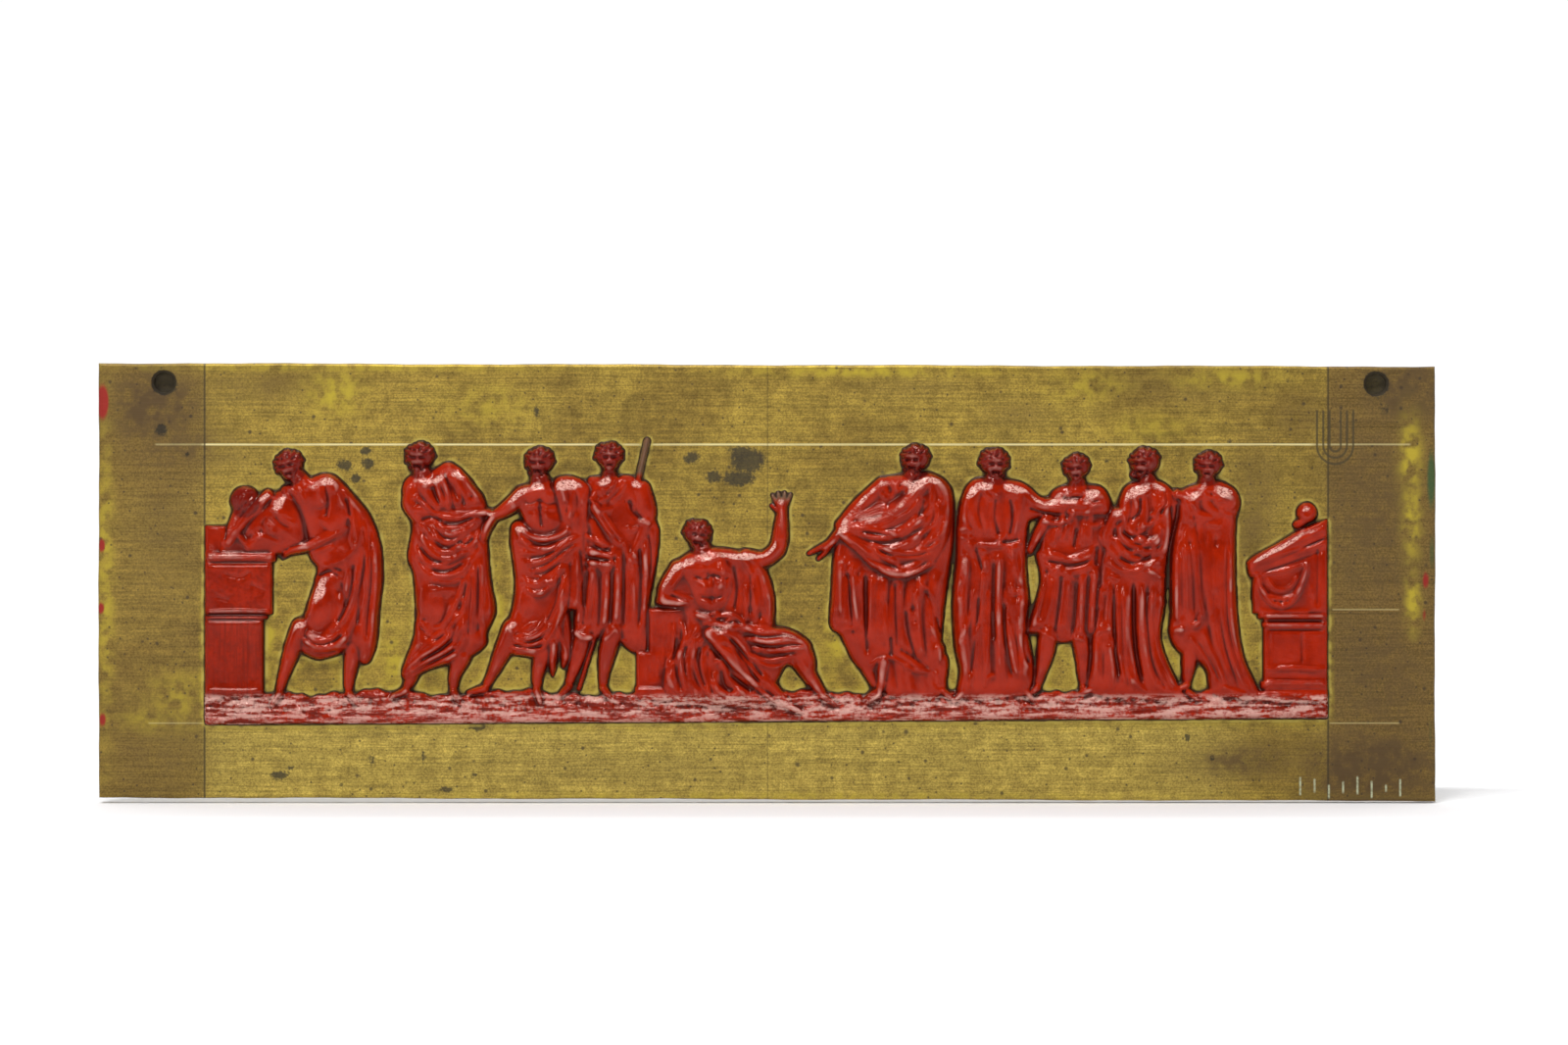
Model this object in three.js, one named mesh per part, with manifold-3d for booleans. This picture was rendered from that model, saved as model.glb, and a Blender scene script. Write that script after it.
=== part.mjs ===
// Relief plaque: a red wax frieze of eleven figures, modelled on a brass plate.
//
// Frame, in millimetres: the plate stands upright with its back on the plane y = 0,
// its front faces -Y, +X runs to the viewer's right and +Z is up. The origin is the
// centre of the back face.
//
// The wax is one continuous piece. It is worked out as one relief: each limb, fold of
// cloth, head and moulding is a form with a height above the plate, and the higher form
// wins where two meet. An adaptive mesh is then laid over that relief.

import * as THREE from "three";
import { mergeVertices } from "three/addons/utils/BufferGeometryUtils.js";
import Module from "manifold-3d";

// ---- driving dimensions ----
const PLATE_LENGTH = 192;
const PLATE_HEIGHT = 62.4;
const PLATE_THICKNESS = 3;
const PLATE_BEVEL = 0.35;
const PLATE_WAVE = 0.12;
const PLATE_SLOPE = 0.5;
const HOLE_RADIUS = 1.5;
const HOLE_PLACES = [[-86.6, 28.4], [87.5, 28.2]];
const HOLE_SIDES = 10;

const FIELD_LEFT = -80.7;
const FIELD_RIGHT = 80.5;
const GROUND_LOW = -20.7;
const GROUND_RISE = 0.9;
const GROUND_TOP = -16.1;
const GROUND_HEIGHT = 0.8;

const WALL = 2.6;
const OUTSIDE = -0.9;
const CURVE_STEPS = 4;
const FOLD_STEPS = 12;
const EDGE_FADE = 0.5;
const SOFTNESS = 0.12;
const FACE_LIMIT = 7120;
const FOLD_SHARE = 0.7;
const FOLD_BOOST = 1.25;
const WALL_BAND = 0.6;
const WALL_WEIGHT = 0.32;

// ---- the sampled relief ----
const CELL = 0.25;
const COLUMNS = 656;
const ROWS = 170;
const GRID = COLUMNS + 1;
const X_LOW = -82;
const Z_LOW = -21.6;
const relief = new Float64Array(GRID * (ROWS + 1)).fill(OUTSIDE);

// ---- small helpers ----
const clamp = (value, low, high) => Math.min(high, Math.max(low, value));

function ease(share) {
  const t = clamp(share, 0, 1);
  return t * t * (3 - 2 * t);
}

function taper(share, end = 0.17) {
  return ease(share / end) * ease((1 - share) / end);
}

function arch(share) {
  return Math.sqrt(clamp(1 - share * share, 0, 1));
}

function smooth(points, closed = false) {
  const knots = points.map(([x, z]) => new THREE.Vector3(x, z, 0));
  const spans = closed ? knots.length : knots.length - 1;
  const curve = new THREE.CatmullRomCurve3(knots, closed, "catmullrom", 0.5);
  const line = [];
  const last = spans * CURVE_STEPS;
  for (let i = 0; i < last + (closed ? 0 : 1); i += 1) {
    const point = curve.getPoint(i / last);
    line.push([point.x, point.y]);
  }
  return line;
}

function reach(points, margin, visit) {
  const px = points.map((point) => point[0]);
  const pz = points.map((point) => point[1]);
  const left = Math.max(0, Math.floor((Math.min(...px) - margin - X_LOW) / CELL));
  const right = Math.min(COLUMNS, Math.ceil((Math.max(...px) + margin - X_LOW) / CELL));
  const low = Math.max(0, Math.floor((Math.min(...pz) - margin - Z_LOW) / CELL));
  const high = Math.min(ROWS, Math.ceil((Math.max(...pz) + margin - Z_LOW) / CELL));
  for (let row = low; row <= high; row += 1) {
    for (let column = left; column <= right; column += 1) {
      const x = X_LOW + column * CELL;
      const z = Z_LOW + row * CELL;
      const place = row * GRID + column;
      relief[place] = visit(x, z, relief[place]);
    }
  }
}

// The nearest place on a line: how far off it is, the share of the way along the line,
// and the radius there.
function nearest(line, radii, x, z) {
  const count = line.length - 1;
  let best = { off: 1e9, share: 0, radius: 1, distance: 1e9 };
  for (let i = 0; i < count; i += 1) {
    const [ax, az] = line[i];
    const dx = line[i + 1][0] - ax;
    const dz = line[i + 1][1] - az;
    const along = ((x - ax) * dx + (z - az) * dz) / Math.max(dx * dx + dz * dz, 1e-9);
    const t = clamp(along, 0, 1);
    const radius = radii[i] * (1 - t) + radii[i + 1] * t;
    const distance = Math.hypot(x - ax - t * dx, z - az - t * dz);
    if (distance / radius < best.off) {
      best = { off: distance / radius, share: (i + t) / count, radius, distance };
    }
  }
  return best;
}

// The distance to a closed outline, positive inside it.
function depthInside(outline, x, z) {
  let best = 1e9;
  let inside = false;
  for (let i = 0; i < outline.length; i += 1) {
    const [ax, az] = outline[i];
    const [bx, bz] = outline[(i + 1) % outline.length];
    const dx = bx - ax;
    const dz = bz - az;
    const along = ((x - ax) * dx + (z - az) * dz) / Math.max(dx * dx + dz * dz, 1e-12);
    const t = clamp(along, 0, 1);
    best = Math.min(best, Math.hypot(x - ax - t * dx, z - az - t * dz));
    if (az > z !== bz > z && x < (dx * (z - az)) / (bz - az) + ax) {
      inside = !inside;
    }
  }
  return inside ? best : -best;
}

function raise(points, margin, form) {
  reach(points, margin, (x, z, was) => Math.max(was, form(x, z)));
}

// ---- the forms ----
function limb(points, radii, lift, flat) {
  const line = smooth(points);
  const sizes = line.map((point, i) => {
    const place = (i / (line.length - 1)) * (radii.length - 1);
    const low = Math.min(Math.floor(place), radii.length - 2);
    return radii[low] + (radii[low + 1] - radii[low]) * (place - low);
  });
  const widest = Math.max(...radii);
  raise(line, widest + 0.6, (x, z) => {
    const near = nearest(line, sizes, x, z);
    const top = lift + flat * near.radius * arch(near.off);
    return Math.max(OUTSIDE, Math.min(top, WALL * (near.radius - near.distance)));
  });
}

function oval(x0, z0, rx, rz, turn, lift, depth) {
  const angle = THREE.MathUtils.degToRad(turn);
  const c = Math.cos(angle);
  const s = Math.sin(angle);
  raise([[x0, z0]], Math.max(rx, rz) + 0.6, (x, z) => {
    const u = ((x - x0) * c + (z - z0) * s) / rx;
    const v = ((z - z0) * c - (x - x0) * s) / rz;
    const off = Math.hypot(u, v);
    return Math.max(OUTSIDE, Math.min(lift + depth * arch(off), WALL * (1 - off) * Math.min(rx, rz)));
  });
}

// A soft hollow pressed into what is there, or a soft lump when depth is negative.
function dent(x0, z0, rx, rz, depth, turn = 0) {
  const angle = THREE.MathUtils.degToRad(turn);
  const c = Math.cos(angle);
  const s = Math.sin(angle);
  reach([[x0, z0]], 2.2 * Math.max(rx, rz), (x, z, was) => {
    const u = ((x - x0) * c + (z - z0) * s) / rx;
    const v = ((z - z0) * c - (x - x0) * s) / rz;
    return was > 0.3 ? Math.max(was - depth * Math.exp(-(u * u + v * v)), 0.2) : was;
  });
}

function ridge(points, rise, width) {
  const line = smooth(points);
  const sizes = line.map(() => width);
  reach(line, 2.5 * width, (x, z, was) => {
    const near = nearest(line, sizes, x, z);
    const step = rise * Math.exp(-1.4 * near.off * near.off) * taper(near.share);
    return was > 0.3 ? Math.max(was + step, 0.2) : was;
  });
}

function lineCut(points, depth, width) {
  ridge(points, -depth, width);
}

// A sheaf of fold ridges that pass evenly from a first line to a last one.
function sheaf(first, last, folds, rise, fill) {
  const count = Math.max(2, Math.round(folds * FOLD_SHARE));
  const spread = (points) => {
    const line = smooth(points);
    return Array.from({ length: FOLD_STEPS + 1 }, (_, i) => {
      const place = (i / FOLD_STEPS) * (line.length - 1);
      const low = Math.min(Math.floor(place), line.length - 2);
      const t = place - low;
      return [0, 1].map((k) => line[low][k] * (1 - t) + line[low + 1][k] * t);
    });
  };
  const a = spread(first);
  const b = spread(last);
  const widths = a.map((p, i) => {
    return Math.max(Math.hypot(b[i][0] - p[0], b[i][1] - p[1]) / Math.max(count - 1, 1), 0.35) * fill;
  });
  const mean = widths.reduce((sum, width) => sum + width, 0) / widths.length;
  const ridges = Array.from({ length: count }, (_, k) => {
    const t = count > 1 ? k / (count - 1) : 0;
    return a.map((p, i) => [p[0] * (1 - t) + b[i][0] * t, p[1] * (1 - t) + b[i][1] * t]);
  });
  return (x, z) => {
    let height = 0;
    ridges.forEach((line, k) => {
      const near = nearest(line, widths, x, z);
      if (near.off < 1) {
        const vary = 0.82 + 0.22 * Math.sin(3.7 * k + 1.3 * count);
        const size = Math.min(near.radius / mean, 1.25);
        const swell = FOLD_BOOST * rise * vary * size * (1 - near.off ** 2);
        height = Math.max(height, swell * taper(near.share));
      }
    });
    return height;
  };
}

function crease(points, depth, width) {
  const line = smooth(points);
  const sizes = line.map(() => width);
  return (x, z) => {
    const near = nearest(line, sizes, x, z);
    return near.off < 2.5 ? -depth * Math.exp(-1.6 * near.off * near.off) * taper(near.share) : 0;
  };
}

// A closed patch of cloth or flesh: rounded at its edge, with its folds on top.
function cloth(points, height, rounding, folds, lift) {
  const outline = smooth(points, true);
  raise(outline, 0.6, (x, z) => {
    const inside = depthInside(outline, x, z);
    if (inside <= 0) {
      return Math.max(OUTSIDE, WALL * inside);
    }
    const top = lift + height * arch(1 - clamp(inside / rounding, 0, 1));
    const fade = clamp(inside / EDGE_FADE, 0, 1);
    const folded = folds.reduce((sum, fold) => sum + fold(x, z) * fade, top);
    return Math.min(Math.max(folded, 0.12), WALL * inside);
  });
}

function slab(corners, height, bevel) {
  raise(corners, 0.6, (x, z) => {
    const inside = depthInside(corners, x, z);
    const top = height * clamp(0.55 + (0.45 * inside) / bevel, 0, 1);
    return Math.max(OUTSIDE, Math.min(top, WALL * 1.6 * inside));
  });
}

function block(x0, z0, x1, z1, height, bevel) {
  slab([[x0, z0], [x1, z0], [x1, z1], [x0, z1]], height, bevel);
}

// A calm, plain head. turn runs from -1, facing left, to 1, facing right.
function head(x0, z0, turn, tilt, beard, size, lift) {
  const angle = THREE.MathUtils.degToRad(tilt);
  const place = (u, v) => [
    x0 + size * (u * Math.cos(angle) - v * Math.sin(angle)),
    z0 + size * (u * Math.sin(angle) + v * Math.cos(angle)),
  ];
  const ball = (u, v, ru, rv, low, depth) => {
    oval(...place(u, v), ru * size, rv * size, tilt, lift + low, depth);
  };
  const press = (u, v, ru, rv, depth) => {
    dent(...place(u, v), ru * size, rv * size, depth, tilt);
  };
  const middle = 0.75 * turn;
  ball(-0.35 * turn, 0.45, 2.2, 2.05, 0, 1.3);
  ball(0.35 * turn, -0.3, 1.5, 1.95, 0.15, 1.35);
  if (beard > 0) {
    ball(middle * 0.8, -1.45 - 0.35 * beard, 1.15, 0.7 + 0.35 * beard, 0.2, 1.25);
  }
  const brow = place(middle, 0.4);
  const tip = place(middle + 0.45 * turn, -0.45);
  limb([brow, tip], [0.28 * size, 0.4 * size], lift + 1.3, 0.6);
  for (const side of [-1, 1]) {
    press(middle + 0.55 * side, 0.15, 0.36, 0.26, 0.35);
  }
  press(middle, -1, 0.5, 0.16, 0.25);
  for (let k = 0; k < 6; k += 1) {
    const around = THREE.MathUtils.degToRad(10 + 32 * k - 34 * turn);
    press(-0.35 * turn + 1.45 * Math.cos(around), 0.6 + 1.3 * Math.sin(around), 0.4, 0.35, -0.28);
  }
}

function hand(x0, z0, turn, size, spread, lift, thumb) {
  const angle = THREE.MathUtils.degToRad(turn);
  const place = (u, v) => [
    x0 + size * (u * Math.cos(angle) - v * Math.sin(angle)),
    z0 + size * (u * Math.sin(angle) + v * Math.cos(angle)),
  ];
  limb([place(0, 0), place(1.1, 0)], [0.5 * size, 0.72 * size], lift, 0.6);
  for (let k = 0; k < 4; k += 1) {
    const across = (k - 1.5) * 0.42;
    const fan = THREE.MathUtils.degToRad((k - 1.5) * spread);
    const length = 1.35 - 0.12 * Math.abs(k - 1.4);
    const tip = place(1.2 + length * Math.cos(fan), across + length * Math.sin(fan));
    limb([place(1.1, across), tip], [0.28 * size, 0.24 * size], lift + 0.1, 0.8);
  }
  limb([place(0.3, 0.45 * thumb), place(1, 1.2 * thumb)], [0.3 * size, 0.26 * size], lift, 0.8);
}

// A foot stands on the ground strip, which is pressed down round it.
function foot(x0, z0, turn, length, lift) {
  const angle = THREE.MathUtils.degToRad(turn);
  const tip = [x0 + length * Math.cos(angle), z0 + length * Math.sin(angle)];
  ridge([[x0, z0], tip], -0.4, 0.95);
  limb([[x0, z0], tip], [0.62, 0.45], lift + 0.35, 0.9);
}

// ---- pedestal at the left ----
function pedestal() {
  block(-80.7, 3.6, -77.6, 7.9, 0.75, 0.3);
  block(-80.7, 2.6, -70.4, 4.1, 1.45, 0.5);
  block(-80.7, -4.4, -70.9, 2.7, 1.2, 0.25);
  block(-80.7, -4.9, -70.9, -4.1, 1.5, 0.4);
  block(-80.7, -5.6, -71.6, -5.0, 1.45, 0.3);
  block(-80.7, -16.6, -72.2, -5.6, 1.05, 0.25);
  for (let k = 0; k < 11; k += 1) {
    lineCut([[-79.9 + 0.72 * k, -6.2], [-79.8 + 0.7 * k, -15.6]], 0.12, 0.16);
  }
}

// ---- the one who weeps over it ----
function weeper() {
  cloth([[-78.4, 3.6], [-78, 5.6], [-76.8, 7], [-74.6, 6.6], [-74, 3.6]], 0.8, 0.35, [], 0.1);
  cloth([[-75.2, 3.6], [-75.4, 7], [-74.3, 9.6], [-71.6, 11.9], [-69.8, 13], [-67.6, 12.4], [-66.4, 10],
    [-66, 7],
     [-66.5, 4.6], [-70.5, 3.6]], 1.7, 4.2, [
    sheaf([[-71.2, 11.6], [-69.4, 10.8]], [[-68.2, 13.4], [-66.6, 11.8]], 4, 0.22, 0.5),
    crease([[-73.5, 7.4], [-71.5, 6.6], [-69.4, 5.6]], 0.22, 0.5),
    crease([[-71.5, 9.2], [-70.4, 8.2], [-68.6, 7.2]], 0.2, 0.35)], 0.0);
  oval(-74.9, 11.4, 2.15, 2.15, 0, 0.3, 1.15);
  for (let k = 0; k < 6; k += 1) {
    ridge([[-76.7 + 0.62 * k, 12.6 - 0.2 * k], [-76.9 + 0.5 * k, 11.2], [-77.0 + 0.55 * k, 9.8]], 0.22,
      0.2);
  }
  limb([[-75.7, 9.8], [-76.6, 7.6], [-77.3, 5]], [1.0, 0.9, 0.6], 0.6, 0.7);
  limb([[-71.6, 12.2], [-74.3, 9.4], [-77.2, 5.4]], [0.95, 0.95, 0.75], 0.85, 0.75);
  limb([[-76.6, 7.3], [-75.3, 6], [-74, 4.5]], [0.5, 0.6, 0.5], 0.75, 0.6);
}

// ---- the leaning man ----
function leaner() {
  limb([[-66.9, -6.8], [-68, -9.6], [-69.3, -13.5], [-70, -16]], [1.5, 1.35, 0.85, 0.6], 0.35, 0.85);
  foot(-69.9, -16.2, 235, 2.0, 0.55);
  limb([[-59.3, -8.5], [-59.6, -11.5], [-60, -14.5], [-60, -16]], [1.4, 1.15, 0.75, 0.6], 0.3, 0.8);
  foot(-60, -16.2, -50, 2.0, 0.5);
  limb([[-67.4, 14.9], [-66, 13]], [1.25, 1.6], 0.6, 0.6);
  cloth([[-66.2, 14.5], [-63.6, 15.4], [-61.7, 14.9], [-59.2, 12.2], [-56.9, 9.3], [-55.4, 5],
    [-55.1, 0.5], [-55.6, -4.5],
     [-56, -9.2], [-57.1, -11.8], [-58.4, -11.8], [-59.4, -10], [-62, -10.8], [-64.6, -11.4],
       [-67.1, -10.1],
     [-67.6, -8.4], [-66.8, -6], [-66, -3.4], [-64.9, 0.2], [-64.6, 1.8], [-65.7, 3.4], [-66, 6],
       [-66.9, 9], [-68.3, 11.4],
     [-69.8, 13.2], [-67.8, 14.1]],
     1.5, 2.6, [
    sheaf([[-64, 14.8], [-63.9, 12.4], [-63.6, 10.4]], [[-60.3, 13.4], [-58.4, 9.5], [-58.3, 6.2],
      [-59.6, 3.8], [-62.6, 2.4]], 3, 0.42, 0.5),
    sheaf([[-59.2, 2.6], [-60.6, -2], [-61, -5.4], [-63.6, -8.6], [-66.2, -8]],
      [[-56.4, 6.5], [-56.2, 0], [-56.6, -5], [-57.2, -11]], 5, 0.34, 0.55),
    sheaf([[-66.6, -7.2], [-64.6, -8.9], [-61.5, -8.9], [-59.6, -7.4]],
      [[-66.6, -9.3], [-64.4, -10.7], [-61.6, -10.2], [-59.8, -9.2]], 3, 0.42, 0.55),
    crease([[-60.6, 1.2], [-62.6, 1.6], [-64.7, 0.3]], 0.45, 0.4),
    crease([[-61.6, -0.6], [-60.6, -3.5], [-61.6, -6.4]], 0.25, 0.5)], 0.1);
  oval(-63.9, -4, 2.2, 4.4, -14, 0.5, 1.45);
  limb([[-60.6, 13], [-58.6, 9.6], [-58.5, 6], [-60.6, 3.3], [-63.6, 2.5]], [0.5, 0.5, 0.5, 0.55, 0.4],
    1.35, 0.75);
  limb([[-62.6, 13.4], [-61.6, 10.4], [-61.4, 7.6]], [1.7, 1.5, 1.2], 0.95, 0.62);
  limb([[-61.4, 7.3], [-64.8, 5.3], [-68.3, 4.2]], [1.25, 1, 0.62], 1.15, 0.65);
  hand(-68.2, 4.1, 198, 0.72, 8, 1.05, -1);
  limb([[-69.8, 4.9], [-68.7, 4.9]], [0.35, 0.35], 1.4, 0.6);
  head(-68.6, 16.3, -0.35, 14, 0, 1.0, 0.35);
}

// ---- the man with folded arms ----
function folded() {
  limb([[-50.4, -12], [-51, -14], [-52, -15.8]], [1.1, 0.9, 0.6], 0.35, 0.85);
  foot(-51.8, -15.8, 205, 2.3, 0.5);
  limb([[-43.9, -11], [-44.8, -13.6], [-45, -15.6]], [1.5, 0.9, 0.62], 0.35, 0.85);
  foot(-45, -15.9, -62, 1.9, 0.5);
  cloth([[-48.2, 15.8], [-46, 17], [-44.2, 16.3], [-42, 13.9], [-40.2, 10.8], [-40, 5], [-39.6, 0],
    [-38.9, -4.4],
     [-40.1, -7.4], [-40.3, -9.4], [-42.6, -11.2], [-43.9, -12.6], [-46, -12.2], [-49.2, -13.2],
       [-51.2, -14.6], [-52.5, -13.6],
     [-51.8, -11], [-50.6, -7.5], [-50.5, -3], [-50.8, 1], [-51.6, 3.4], [-51, 7.8], [-51.9, 10.4],
       [-52.4, 13.2],
     [-51.2, 15.1]], 1.45, 2.4, [
    sheaf([[-49.5, 14.2], [-48.2, 11.8], [-46.6, 10.2]], [[-44.2, 16], [-42.2, 13], [-41.2, 10.8]], 5,
      0.5, 0.55),
    sheaf([[-50.2, 7.6], [-47.6, 3.4], [-44.6, 3.6], [-41.2, 6.6]],
      [[-47.6, 8.4], [-46, 6.8], [-44.4, 6.8], [-42.4, 8.2]], 4, 0.5, 0.55),
    sheaf([[-51, 4.5], [-48.5, 0.6], [-44.8, 0.2], [-41.6, 3.4]],
      [[-50.4, 6.5], [-47.6, 2.2], [-44.4, 2.2], [-41.2, 5]], 3, 0.35, 0.55),
    sheaf([[-43, 2], [-43.4, -4], [-44.4, -8.6]], [[-40.3, 3.6], [-39.8, -1.5], [-39.9, -6]], 4, 0.42,
      0.52),
    sheaf([[-44.4, -2], [-46, -6.5], [-49, -9.6], [-51.6, -12.2]],
      [[-42.6, -6.4], [-44.6, -10.4], [-48, -12.2], [-51, -14]], 4, 0.42, 0.52),
    crease([[-50, -5.6], [-49.6, -7.6], [-47.6, -8.3], [-45.3, -6.8]], 0.35, 0.35)], 0.1);
  oval(-47.8, -3.4, 2.6, 4.6, 6, 0.5, 1.35);
  limb([[-51, 13], [-51.1, 10.8], [-49.9, 8.9]], [1.2, 1.3, 1.1], 0.9, 0.6);
  limb([[-50, 10.2], [-46.5, 9.3], [-43, 9.5], [-39.9, 9.7]], [1.05, 0.95, 0.8, 0.7], 1.2, 0.55);
  limb([[-50.4, 12.4], [-48.8, 10.6], [-47, 9.7]], [0.4, 0.55, 0.4], 1.6, 0.7);
  limb([[-42.6, 7], [-41, 4.6], [-43.4, 2.6]], [0.6, 0.5, 0.4], 1.3, 0.7);
  limb([[-49.6, 15.6], [-49, 14]], [1.3, 1.7], 0.6, 0.6);
  head(-49.9, 17.4, -0.3, 0, 0.8, 1.0, 0.4);
}

// ---- the bare-chested one ----
function bareChest() {
  limb([[-36.4, -7], [-38, -10.4], [-39.4, -13.4], [-40.6, -15.6]], [1.7, 1.3, 0.8, 0.55], 0.35, 0.85);
  foot(-40.4, -15.5, 195, 2.4, 0.5);
  limb([[-31.4, -6.6], [-32.2, -10.4], [-32.9, -13.6], [-33, -15.6]], [1.6, 1.4, 0.85, 0.6], 0.4, 0.85);
  foot(-33, -15.8, -75, 1.9, 0.55);
  cloth([[-36, 8.6], [-36.9, 6], [-36.2, 0], [-36.7, -4.4], [-38, -7.6], [-38.4, -9.6], [-37, -10.6],
    [-35, -10.9], [-33, -11.2],
     [-31.6, -10], [-31.4, -12], [-30.7, -14], [-29.9, -11], [-29.4, -8.8], [-28.4, -4.6], [-26.4, -4],
       [-26, 2], [-25.4, 8], [-25, 12.4],
     [-26, 14.2], [-28.4, 15.1], [-30.6, 14.4], [-31, 11], [-31, 8]], 1.45, 2.2, [
    sheaf([[-30.4, 14.4], [-29.4, 11.6], [-28.6, 8.2]], [[-26.2, 13.6], [-26.2, 9.6], [-26.8, 6.4]], 4,
      0.5, 0.52),
    sheaf([[-35.8, 8.4], [-34.6, 5.6], [-31.6, 4.4], [-28.2, 6.4]], [[-35.6, 2.4], [-32, 2.8], [-29, 5],
      [-26.2, 6.6]], 4, 0.42, 0.52),
    sheaf([[-35.4, -0.8], [-33.2, -1.8], [-31, -0.4], [-29.8, 1.4]],
      [[-35.4, 1.8], [-32.6, 1], [-30.2, 2.6], [-28, 4.4]], 3, 0.4, 0.52),
    sheaf([[-29.4, 0], [-30.6, -4], [-33.2, -7.4], [-37, -8.4]], [[-28.8, -3], [-30, -6], [-32.4, -9.6],
      [-36, -10.4]], 4, 0.42, 0.52),
    sheaf([[-29.2, 2], [-29.4, -3], [-30.6, -7], [-30.8, -13]], [[-26.2, 4], [-26.6, -1], [-27, -4.4]], 4,
      0.4, 0.5)], 0.25);
  limb([[-29.6, -4.6], [-29.2, -8], [-28.9, -10.6], [-29.2, -12.4]], [1.3, 1.3, 0.9, 0.3], 0.5, 0.6);
  oval(-34.2, -3, 2.0, 4.3, -6, 0.6, 1.3);
  cloth([[-35.4, 13.6], [-33, 14], [-30.8, 13.6], [-29.6, 11.4], [-28.9, 8.2], [-30, 6.8], [-32, 6.2],
    [-34.2, 7], [-35.3, 9.2], [-36.2, 11.6]], 1.5, 2.0, [
    crease([[-32.6, 12.6], [-32.4, 9.6], [-32.2, 7.2]], 0.2, 0.4),
    crease([[-34.6, 10.2], [-33.4, 9.9], [-32.4, 10.4], [-31, 9.7], [-29.8, 9.8]], 0.16, 0.4)], 0.35);
  ridge([[-35.4, 8.2], [-34, 6.4], [-31.6, 5.9], [-29.4, 6.5], [-28.2, 7.6]], 0.3, 0.3);
  limb([[-35, 12.2], [-37.2, 10.4], [-39.2, 9.2]], [1.5, 1.2, 0.85], 0.9, 0.7);
  limb([[-39.2, 9.2], [-40.2, 7.4], [-40.6, 6]], [0.8, 0.8, 0.6], 1.2, 0.7);
  limb([[-39.6, 9.6], [-40.7, 9.2]], [0.4, 0.3], 1.5, 0.7);
  limb([[-32.6, 14.6], [-32.4, 13]], [1.4, 1.8], 0.7, 0.6);
  head(-32.7, 16.7, -0.3, 0, 0.85, 1.0, 0.45);
}

// ---- the young man with the staff ----
function staffMan() {
  limb([[-26.2, -7], [-27, -10.4], [-28, -13.6], [-28.6, -15.2]], [1.4, 1.25, 0.75, 0.55], 0.3, 0.8);
  foot(-28.4, -15.2, 225, 1.9, 0.45);
  limb([[-22, -7], [-22.9, -10.4], [-23.4, -13.4], [-23.5, -15.2]], [1.5, 1.3, 0.8, 0.6], 0.3, 0.8);
  foot(-23.5, -15.4, -55, 1.9, 0.5);
  cloth([[-26, 13.9], [-24.4, 15], [-22, 14.8], [-20.4, 15.2], [-18.6, 14.6], [-17.2, 12], [-15.8, 8.4],
    [-15.4, 6.4],
     [-15.9, 2], [-16.9, -3.8], [-17.6, -9.4], [-19, -10.4], [-20.6, -9.4], [-22.2, -7.2], [-24.6, -8.6],
       [-27.4, -8],
     [-27.8, -5], [-27, 0], [-26.4, 6]], 1.1, 1.9, [
    sheaf([[-25.6, 12.8], [-24, 11], [-22.6, 9.2]], [[-21.4, 15], [-22.6, 12.6], [-24.6, 11.4]], 3, 0.28,
      0.5),
    sheaf([[-26.4, 9], [-25.4, 5], [-24.6, 3.4]], [[-24.6, 10], [-22.4, 7], [-21, 5.4]], 3, 0.35, 0.5),
    sheaf([[-26, 2.4], [-26.6, -2], [-27.2, -7]], [[-17.4, 6], [-17.4, 0], [-18, -8.6]], 8, 0.4, 0.5),
    sheaf([[-26, 4.6], [-23.6, 3.4], [-21.4, 4.4]], [[-25.6, 3], [-23.6, 2], [-21.6, 2.8]], 2, 0.4, 0.5),
    crease([[-19.9, 12], [-18.8, 10], [-17.6, 8.6]], 0.25, 0.35)], 0.0);
  limb([[-17.2, 20], [-18.4, 14.6], [-19.2, 9.7], [-25.8, -11.8], [-27, -15.6]],
    [0.46, 0.42, 0.38, 0.33, 0.33], 0.75, 1.0);
  limb([[-18, 13], [-17.2, 10], [-17.4, 8]], [1.4, 1.4, 1.1], 0.5, 0.6);
  limb([[-24.6, 10.4], [-23, 8.2], [-21.2, 5.6]], [1.1, 1, 0.75], 0.85, 0.65);
  limb([[-17.4, 8], [-18.4, 5.4], [-19.4, 3.4]], [0.95, 0.85, 0.6], 0.8, 0.7);
  hand(-20.6, 5.2, -50, 0.62, 6, 1.0, 1);
  oval(-19.2, 3.2, 0.95, 1.25, 0, 0.9, 0.9);
  dent(-19.3, 3.2, 0.2, 0.8, 0.3, 30);
  dent(-18.8, 2.8, 0.2, 0.7, 0.25, 30);
  cloth([[-27.6, -7], [-26, -7.6], [-24.8, -7.6], [-24.8, -8.6], [-26.4, -8.8], [-27.8, -8]], 0.6, 0.6,
    [], 1.0);
  limb([[-22.6, 15.2], [-22.6, 13.6]], [1.1, 1.5], 0.6, 0.6);
  head(-22.6, 17.5, 0.1, 0, 0, 0.97, 0.4);
}

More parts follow.
